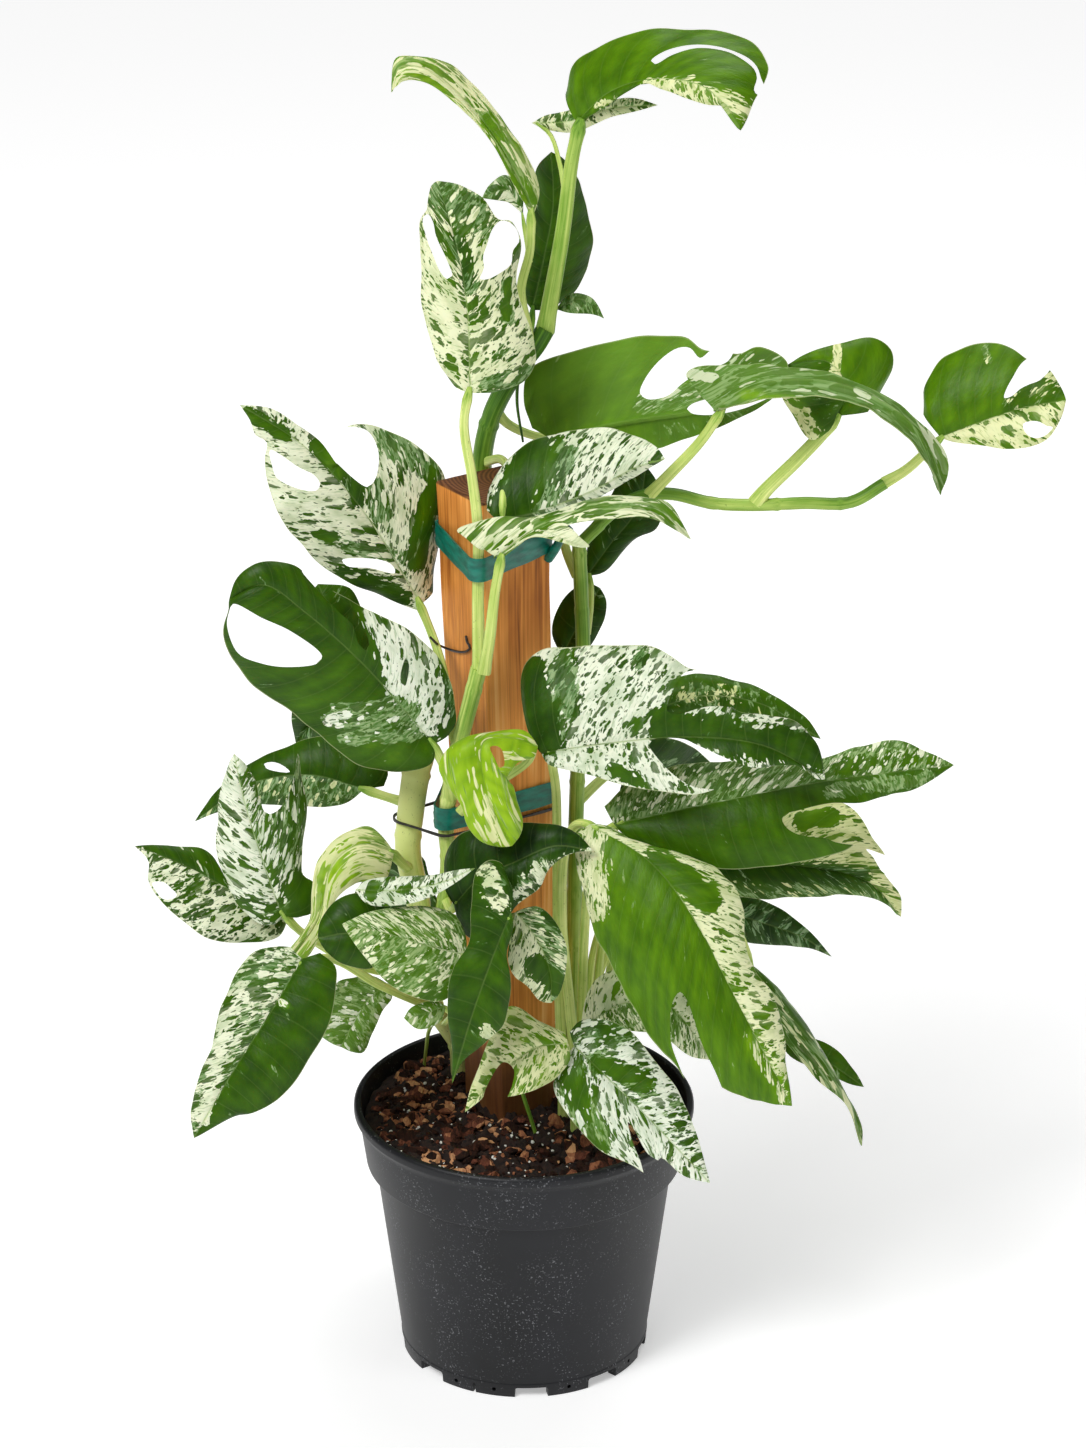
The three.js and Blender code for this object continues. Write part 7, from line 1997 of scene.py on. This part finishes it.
    def build(self) -> None:
        """Builds the pot."""
        made = cut(self.shell().mesh("pot"), self.blocks())
        hand_over(put(made, "pot_fine", [self.material], 38), "pot")


@dataclass
class Soil:
    """The potting mix: a lumpy mound with bark, crumbs and perlite on it."""

    material: bpy.types.Material
    bark: bpy.types.Material
    perlite: bpy.types.Material
    level: float = 193.0
    radius: float = 119.2
    mound: float = 6.0
    edge_fall: float = 3.0
    lump: float = 2.6
    stake_circle: tuple[float, float, float] = (-9.8, 14.0, 34.0)
    base: tuple[tuple[float, float], ...] = ((115.2, 156.0), (108.6, 152.0), (90.5, 14.0))
    waves: tuple[tuple[float, float, float, float], ...] = (
        (1, 0.21, 0.19, 0.6), (0.8, 0.43, -0.37, 0), (0.5, 0.71, 0.59, 2))
    rings: int = 60
    sectors: int = 180
    lump_noise: float = 260
    lump_push: float = 0.9

    def height(self, x: np.ndarray, y: np.ndarray) -> np.ndarray:
        """The mound's height at plan points."""
        t = np.hypot(x, y) / self.radius
        wave = sum(share * np.sin(a * x + b * y + c) for share, a, b, c in self.waves)
        fine = 0.5 * np.sin(1.3 * x + 0.9 * y) * np.sin(0.8 * x - 1.5 * y + 1)
        dome = self.level - self.edge_fall + self.mound * (1 - t ** 2)
        return dome + (self.lump * wave + fine) * (1 - 0.7 * t ** 6)

    def shell(self) -> Shell:
        """The mound as a closed body, with free ground marked."""
        angle = 2 * np.pi * np.arange(self.sectors) / self.sectors
        ring = np.column_stack([np.cos(angle), np.sin(angle)])
        rows = []
        for i in range(1, self.rings + 1):
            plan = ring * self.radius * i / self.rings
            rows.append(np.column_stack([plan, self.height(plan[:, 0], plan[:, 1])]))
        for radius, level in self.base:
            rows.append(np.column_stack([ring * radius, np.full(self.sectors, level)]))
        points = np.concatenate(rows)
        count = len(points)
        peak = float(self.height(np.zeros(1), np.zeros(1))[0])
        points = np.vstack([points, [[0, 0, peak], [0, 0, self.base[-1][1]]]])
        faces = []
        for i in range(len(rows) - 1):
            for j in range(self.sectors):
                a, b = i * self.sectors + j, i * self.sectors + (j + 1) % self.sectors
                faces.append((a, a + self.sectors, b + self.sectors, b))
        last = (len(rows) - 1) * self.sectors
        for j in range(self.sectors):
            k = (j + 1) % self.sectors
            faces.append((count, j, k))
            faces.append((count + 1, last + k, last + j))
        open_ground = np.hypot(points[:, 0], points[:, 1]) < self.radius - 5
        free = np.where(points[:, 2] > 180, 1.0, 0.0) * open_ground
        for x, y, reach in self.taken():
            free *= np.hypot(points[:, 0] - x, points[:, 1] - y) > reach
        shell = Shell()
        shell.add(points, outward(points, faces), 0, free=free[:, None])
        return shell

    def taken(self) -> list[tuple[float, float, float]]:
        """Plan circles that stay free of bark: the stake, stems and stalks."""
        feet = [(leaf.stalk[-1], leaf.girth[0]) for leaf in LEAVES.values() if leaf.on == "soil"]
        feet += [(stem.path[0], stem.girth[0]) for stem in STEMS.values() if stem.foot == "soil"]
        roots = [(SIGHT.place(np.array(seen, float)), girth) for seen, girth in feet]
        return [self.stake_circle] + [(root[0], root[1], girth + 3) for root, girth in roots]

    def chips(self, base: bpy.types.Object, seed: int, density: float, size: tuple[float, float],
              shape: tuple[float, float, float], material: bpy.types.Material, level: int
              ) -> bpy.types.Mesh:
        """Scatters rough lumps over the free ground.

        Args:
            base: the mound.
            seed: the scatter's seed.
            density: lumps for each square metre.
            size: the smallest and the largest radius in mm.
            shape: a lump's length, width and height, relative.
            material: the lumps' material.
            level: how finely a lump is divided.

        Returns:
            The lumps as one mesh.
        """
        tree = bpy.data.node_groups.new("scatter", "GeometryNodeTree")
        inputs = {"Density": density, "Smallest": size[0] * MM, "Largest": size[1] * MM, "Seed": seed}
        tree.interface.new_socket("Geometry", in_out="INPUT", socket_type="NodeSocketGeometry")
        known = {}
        for name in inputs:
            kind = "NodeSocketInt" if name == "Seed" else "NodeSocketFloat"
            known[name] = tree.interface.new_socket(name, in_out="INPUT", socket_type=kind).identifier
        tree.interface.new_socket("Geometry", in_out="OUTPUT", socket_type="NodeSocketGeometry")

        given = add_node(tree, "NodeGroupInput", {}, {}).outputs
        free = add_node(tree, "GeometryNodeInputNamedAttribute", {"data_type": "FLOAT"}, {"Name": "free"})
        thinned = add_node(tree, "ShaderNodeMath", {"operation": "MULTIPLY"},
                           {0: given["Density"], 1: free.outputs["Attribute"]})
        spots = add_node(tree, "GeometryNodeDistributePointsOnFaces", {}, {
            "Mesh": given["Geometry"], "Density": thinned.outputs[0], "Seed": given["Seed"]})
        lump = add_node(tree, "GeometryNodeMeshIcoSphere", {}, {"Radius": 1.0, "Subdivisions": level})
        turn = add_node(tree, "FunctionNodeRandomValue", {"data_type": "FLOAT_VECTOR"}, {
            0: (-0.5, -0.5, 0), 1: (0.5, 0.5, 6.28), "Seed": given["Seed"]})
        width = add_node(tree, "FunctionNodeRandomValue", {"data_type": "FLOAT"}, {
            2: given["Smallest"], 3: given["Largest"], "Seed": given["Seed"]})
        stretch = add_node(tree, "ShaderNodeVectorMath", {"operation": "SCALE"},
                           {0: shape, "Scale": width.outputs[1]})
        copies = add_node(tree, "GeometryNodeInstanceOnPoints", {}, {
            "Points": spots.outputs["Points"], "Instance": lump.outputs["Mesh"],
            "Rotation": turn.outputs[0], "Scale": stretch.outputs["Vector"]})
        real = add_node(tree, "GeometryNodeRealizeInstances", {}, {"Geometry": copies.outputs["Instances"]})
        place = add_node(tree, "GeometryNodeInputPosition", {}, {})
        noise = add_node(tree, "ShaderNodeTexNoise", {},
                         {"Vector": place.outputs[0], "Scale": self.lump_noise, "Detail": 2})
        centred = add_node(tree, "ShaderNodeVectorMath", {"operation": "SUBTRACT"},
                           {0: noise.outputs["Color"], 1: (0.5, 0.5, 0.5)})
        push = add_node(tree, "ShaderNodeVectorMath", {"operation": "SCALE"},
                        {0: centred.outputs[0], "Scale": size[1] * self.lump_push * MM})
        rough = add_node(tree, "GeometryNodeSetPosition", {},
                         {"Geometry": real.outputs["Geometry"], "Offset": push.outputs[0]})
        dress = add_node(tree, "GeometryNodeSetMaterial", {},
                         {"Geometry": rough.outputs["Geometry"], "Material": material})
        add_node(tree, "NodeGroupOutput", {}, {0: dress.outputs["Geometry"]})

        modifier = base.modifiers.new("scatter", "NODES")
        modifier.node_group = tree
        for name, value in inputs.items():
            modifier[known[name]] = value
        made = evaluated(base)
        base.modifiers.remove(modifier)
        return made

    def build(self) -> None:
        """Builds the mound and strews it."""
        base = put(self.shell().mesh("soil"), "soil_fine", [self.material], 60)
        lots = [
            (3, 26000, (0.7, 2.2), (1.2, 0.8, 0.7), self.material, 1),
            (4, 15000, (1.4, 4.4), (1.5, 0.9, 0.6), self.bark, 1),
            (5, 2600, (4.0, 7.5), (1.6, 0.9, 0.55), self.bark, 2),
            (6, 7500, (0.7, 1.8), (1, 0.9, 0.9), self.perlite, 1),
        ]
        meshes = [self.chips(base, *lot) for lot in lots]
        for mesh in meshes:
            mesh.polygons.foreach_set("use_smooth", np.zeros(len(mesh.polygons), bool))
        fuse([base] + [stand(f"strewn_{i}", mesh) for i, mesh in enumerate(meshes)])
        hand_over(base, "soil")


@dataclass
class Stake:
    """The square wooden stake, leaning and tapered, with worn edges and drying cracks."""

    material: bpy.types.Material
    top_side: float = 58.6
    soil_side: float = 49.5
    top_z: float = 690.0
    foot_z: float = 22.0
    soil_z: float = 193.0
    top_centre: tuple[float, float] = (-21.7, 10.0)
    soil_centre: tuple[float, float] = (-9.8, 14.0)
    turn: float = 10.2
    edge: float = 1.8
    crack_lines: tuple[tuple[tuple[int, int], tuple[int, int], float], ...] = (
        ((524, 590), (523, 742), 1.1), ((502, 676), (503, 722), 1.0), ((456, 520), (457, 640), 0.6),
        ((541, 590), (540, 700), 0.4), ((514, 580), (514, 640), 0.4))

    def frame(self, z: float) -> tuple[np.ndarray, float, np.ndarray, np.ndarray]:
        """Middle, side, and the two side directions of the section at a height."""
        t = (z - self.soil_z) / (self.top_z - self.soil_z)
        side = self.soil_side + (self.top_side - self.soil_side) * t
        middle = np.array(self.soil_centre) * (1 - t) + np.array(self.top_centre) * t
        angle = math.radians(-45 - self.turn)
        first = np.array([math.cos(angle), math.sin(angle)])
        return middle, side, first, np.array([-first[1], first[0]])

    def corners(self, z: float) -> np.ndarray:
        """The section's corners at a height."""
        middle, side, first, second = self.frame(z)
        signs = ((1, 1), (-1, 1), (-1, -1), (1, -1))
        return np.array([middle + side / 2 * (a * first + b * second) for a, b in signs])

    def ring(self, z: float, inset: float) -> np.ndarray:
        """The section as points along its rounded outline."""
        middle, side, first, second = self.frame(z)
        half = side / 2 - inset
        points = []
        sides = ((first, -second), (second, first), (-first, second), (-second, -first))
        for k, (along, out) in enumerate(sides):
            edge = self.edge * (1 + 0.35 * math.sin(z / 17 + k * 2.1 + 0.4))
            for t in np.linspace(-half + edge, half - edge, 18):
                dent = 0.16 * math.sin(t / 3.1 + k + z / 90) + 0.12 * math.sin(t / 1.3 - z / 140 + k * 2)
                points.append(middle + along * t + out * (half - abs(dent)))
            for turn in (22.5, 45, 67.5):
                a = math.radians(turn)
                points.append(middle + along * (half - edge + edge * math.sin(a))
                              + out * (half - edge + edge * math.cos(a)))
        return np.column_stack([np.array(points), np.full(len(points), z)])

    def cracks(self) -> bpy.types.Mesh:
        """Thin wedges along the grain, as seen."""
        shell = Shell()
        for (c1, r1), (c2, r2), width in self.crack_lines:
            rings = []
            for depth, share in ((80.0, 1.0), (32.0, 0.4)):
                w, c, r = width * share, c1 + (c2 - c1) / 2, (r1 + r2) / 2
                high, low = (r1 * 3 + r2) / 4, (r1 + r2 * 3) / 4
                ring = [(c1, r1), (c1 + w, high), (c + w, r), (c2 + w, low), (c2, r2), (c2 - w, low),
                        (c - w, r), (c1 - w, high)]
                rings.append(SIGHT.place(np.array([(*spot, depth) for spot in ring], float)))
            shell.add(*closed_out(prism(rings)), 0)
        return shell.mesh("cracks")

    def build(self) -> None:
        """Builds the stake."""
        levels = [self.foot_z, *np.linspace(self.foot_z + 2, self.top_z - 1.6, 90)]
        levels += [self.top_z - 0.6, self.top_z]
        insets = [1.5] + [0.0] * (len(levels) - 3) + [0.5, 1.8]
        shell = Shell()
        shell.add(*closed_out(prism([self.ring(z, inset) for z, inset in zip(levels, insets)])), 0)
        made = cut(shell.mesh("stake"), self.cracks())
        hand_over(put(made, "stake_fine", [self.material], 50), "stake")


def hull(points: np.ndarray) -> np.ndarray:
    """Convex outline of plan points, counter-clockwise.

    Args:
        points: the plan points.

    Returns:
        The outline's points.
    """
    rows = sorted({(round(float(x), 6), round(float(y), 6)) for x, y in points})

    def chain(items: list[tuple[float, float]]) -> list[tuple[float, float]]:
        """One side of the outline."""
        out: list[tuple[float, float]] = []
        for p in items:
            while len(out) > 1 and ((out[-1][0] - out[-2][0]) * (p[1] - out[-2][1])
                                    - (out[-1][1] - out[-2][1]) * (p[0] - out[-2][0])) <= 1e-9:
                out.pop()
            out.append(p)
        return out[:-1]

    return np.array(chain(rows) + chain(rows[::-1]))


@dataclass
class Ties:
    """Green garden tape in two places, and a thin wire."""

    tape: bpy.types.Material
    wire: bpy.types.Material
    stake: Stake
    vines: Vines
    gap: float = 0.3
    lean: float = 0.35
    tape_width: float = 17.0
    tape_thickness: float = 0.9
    tape_rows: int = 9
    wire_width: float = 1.6
    wire_thickness: float = 1.4
    upper_z: float = 650
    lower_z: float = 453
    wire_z: float = 440
    stalk_radius: float = 6
    stem_radius: float = 7.5
    sheath_radius: float = 10.5
    knot_seen: tuple[Seen, ...] = ((548, 558, -3), (555, 549, 3), (562, 537, 7), (571, 527, 6))

    def passing(self, path: np.ndarray, z: float) -> np.ndarray:
        """Where a path passes a height."""
        fine = Curve(path, 40).samples
        return fine[np.argmin(np.abs(fine[:, 2] - z))]

    def band(self, z: float, width: float, thickness: float, held: list[tuple[np.ndarray, float]],
             folds: float) -> Shell:
        """A band round the stake and what it holds.

        Args:
            z: the height of its middle.
            width: its width.
            thickness: its thickness.
            held: middles and radii of the stems inside.
            folds: height of its folds in mm.

        Returns:
            The band.
        """
        def outline(grow: float) -> np.ndarray:
            """The band's outline, grown outwards."""
            angle = 2 * np.pi * np.arange(28) / 28
            circles = [middle[:2] + (radius + grow) * np.column_stack([np.cos(angle), np.sin(angle)])
                       for middle, radius in held]
            rounds = [corner + grow * np.column_stack([np.cos(angle), np.sin(angle)])
                      for corner in self.stake.corners(z)]
            return hull(np.vstack(circles + rounds))

        ring = outline(self.gap + self.lean)
        closed = np.vstack([ring, ring[:1]])
        run = np.concatenate([[0], np.cumsum(np.linalg.norm(np.diff(closed, axis=0), axis=1))])
        count = max(80, round(run[-1] / 1.6))
        at = np.linspace(0, run[-1], count, endpoint=False)
        inner = np.column_stack([np.interp(at, run, closed[:, k]) for k in (0, 1)])
        ahead = unit(np.roll(inner, -1, axis=0) - np.roll(inner, 1, axis=0))
        out = np.column_stack([ahead[:, 1], -ahead[:, 0]])
        across = np.linspace(-0.5, 0.5, self.tape_rows)
        rings = []
        for u in across:
            fold = folds * (0.5 + 0.5 * np.sin(u * 16 + at / 9 + 1.2 * np.sin(at / 23))) * (1 - abs(u) * 0.8)
            edge = width * u + 0.35 * np.sin(at / 7 + u * 3) * (abs(u) > 0.4)
            rings.append(np.column_stack([inner + out * (thickness + fold)[:, None], z + edge]))
        back = [np.column_stack([inner, np.full(count, z + width * u)]) for u in across[::-1]]
        loop = rings + back
        points = np.vstack(loop)
        faces = []
        total = len(loop)
        for i in range(total):
            for j in range(count):
                a, b = i * count + j, i * count + (j + 1) % count
                c, d = ((i + 1) % total) * count + (j + 1) % count, ((i + 1) % total) * count + j
                faces.append((a, b, c, d))
        shell = Shell()
        shell.add(points, outward(points, faces), 0)
        return shell

    def build(self) -> None:
        """Builds the tapes and the wire."""
        front = self.vines.path(STEMS["vine_front"])
        main = self.vines.path(STEMS["stem_main"])
        sheath = self.vines.path(STEMS["stem_left"])
        stalk = SIGHT.place(np.array(LEAVES["leaf_cream_upper"].stalk, float))[::-1]
        upper = self.band(self.upper_z, self.tape_width, self.tape_thickness, [
            (self.passing(stalk, self.upper_z), self.stalk_radius),
            (self.passing(main, self.upper_z), self.stem_radius)], 0.9)
        knot = spread(SIGHT.place(np.array(self.knot_seen, float)), 2)
        bow = tube(knot, np.linspace(4, 2.4, len(knot)), 14, 0)
        pieces = [in_slot(to_corners(upper.mesh("band")), 0), in_slot(to_corners(bow.mesh("knot")), 0)]
        hand_over(joined("tie_tape_upper_fine", pieces, [self.tape]), "tie_tape_upper")
        lower = self.band(self.lower_z, self.tape_width, self.tape_thickness, [
            (self.passing(front, self.lower_z), self.stem_radius)], 0.7)
        hand_over(put(lower.mesh("band"), "tie_tape_lower_fine", [self.tape]), "tie_tape_lower")
        wire = self.band(self.wire_z, self.wire_width, self.wire_thickness, [
            (self.passing(front, self.wire_z), self.stem_radius),
            (self.passing(sheath, self.wire_z), self.sheath_radius)], 0.0)
        hand_over(put(wire.mesh("band"), "wire_tie_fine", [self.wire]), "wire_tie")


@dataclass
class Studio:
    """The pale studio: a glowing floor, dimmer near the pot as painted shade, soft lights and the
    photograph's camera.
    """

    floor_size: float = 40.0
    # the floor's glow near the pot and far from it; the dimmer glow near the pot is painted shade
    glow_dimmed_near_pot: tuple[int, int] = (0xDADADA, 0xFFFFFF)
    sky_strength: float = 0.1
    sun_power: float = 1.15
    sun_softness: float = 36
    aim: tuple[float, float, float] = (0, 0, 0.5)
    lights: tuple[tuple[str, tuple[float, float, float], float, float], ...] = (
        ("key", (-1.5, -1.9, 2.7), 0.9, 44), ("fill", (2.6, -1.6, 1.5), 1.4, 10),
        ("top", (0.5, 1.0, 2.9), 1.6, 30))

    def light(self, name: str, place: tuple[float, float, float], size: float, power: float) -> None:
        """Hangs a soft square light that looks at the plant's middle.

        Args:
            name: its name.
            place: where it hangs, in metres.
            size: its side in metres.
            power: its power in watts.
        """
        data = bpy.data.lights.new(name, "AREA")
        data.size = size
        data.energy = power
        lamp = stand(name, data)
        lamp.location = place
        way = np.array(self.aim) - np.array(place)
        yaw = math.atan2(way[1], way[0]) - math.pi / 2
        lamp.rotation_euler = (math.acos(-way[2] / np.linalg.norm(way)), 0, yaw)

    def build(self) -> None:
        """Builds the floor, the lights and the camera."""
        shader = Shader("pale_floor", Base_Color=(0.86, 0.86, 0.86, 1), Roughness=0.8, Emission_Strength=0.54,
                        Specular_IOR_Level=0.1)
        x, y, _ = shader.split(shader.place())
        # painted shade: the floor glows less near the pot, darkening the ground round its foot
        far = (x * x + y * y).math("SQRT").step(0.4, 2.2)
        glow_dimmed_near_pot = shader.blend(far, *self.glow_dimmed_near_pot)
        shader.tree.links.new(glow_dimmed_near_pot, shader.surface.inputs["Emission Color"])
        half = self.floor_size / 2
        mesh = bpy.data.meshes.new("floor")
        corners = [(-half, -half, 0), (half, -half, 0), (half, half, 0), (-half, half, 0)]
        mesh.from_pydata(corners, [], [(0, 1, 2, 3)])
        put(mesh, "floor", [shader.material])
        world = bpy.data.worlds.new("studio")
        world.use_nodes = True
        sky = world.node_tree.nodes["Background"].inputs
        sky["Color"].default_value = (1, 1, 1, 1)
        sky["Strength"].default_value = self.sky_strength
        bpy.context.scene.world = world
        for lamp in self.lights:
            self.light(*lamp)
        sun = bpy.data.lights.new("sun", "SUN")
        sun.energy = self.sun_power
        sun.angle = math.radians(self.sun_softness)
        lamp = stand("sun", sun)
        lamp.rotation_euler = (math.radians(30), math.radians(-22), 0)
        camera = bpy.data.cameras.new("photograph")
        camera.sensor_fit = "VERTICAL"
        camera.sensor_height = 36
        camera.sensor_width = 36
        camera.lens = 36 * SIGHT.focal_rows / SIGHT.rows
        camera.clip_end = 50
        holder = stand("camera", camera)
        holder.location = SIGHT.eye() * MM
        holder.rotation_euler = (math.pi / 2 - SIGHT.pitch, 0, 0)
        bpy.context.scene.camera = holder
        bpy.context.scene.view_settings.view_transform = "Standard"


def simple_finish(name: str, dark: int, light: int, stretch: tuple[float, float, float], rough: float,
                  relief: float = 0.0004) -> bpy.types.Material:
    """A plain material between two colours.

    Args:
        name: its name.
        dark: its darker colour.
        light: its lighter colour.
        stretch: blotches for each metre along each axis.
        rough: its roughness.
        relief: depth of its relief in metres.

    Returns:
        The material.
    """
    shader = Shader(name, Roughness=rough)
    blotch = shader.noise(shader.place(), stretch, 4, 0.6)
    colour = shader.blend(blotch.step(0.3, 0.7), dark, light)
    return shader.finish(colour, None, blotch, relief, 0.5)


def main() -> None:
    """Builds the plant in order, then the studio."""
    logging.basicConfig(level=logging.INFO, format="%(name)s: %(message)s")
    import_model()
    tape = simple_finish("green_tape", 0x00594A, 0x007A66, (90, 90, 240), 0.4)
    wire = simple_finish("dark_wire", 0x1E1C1A, 0x35322E, (200, 200, 200), 0.5)
    soil = simple_finish("potting_mix", 0x0E0806, 0x2E1B12, (300, 300, 300), 0.95, 0.001)
    bark = BarkFinish().material()
    perlite = simple_finish("perlite", 0xD8D6CE, 0xF2F1EA, (300, 300, 300), 0.9, 0.0005)
    Pot(PotFinish().material()).build()
    Soil(soil, bark, perlite).build()
    stake = Stake(WoodFinish().material())
    stake.build()
    stalks = StalkFinish().material()
    vines = Vines(stalks, wire)
    vines.build()
    Ties(tape, wire, stake, vines).build()
    Foliage(BladeFinish().material(), stalks).build()
    Studio().build()
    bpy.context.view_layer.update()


if __name__ == "__main__":
    main()
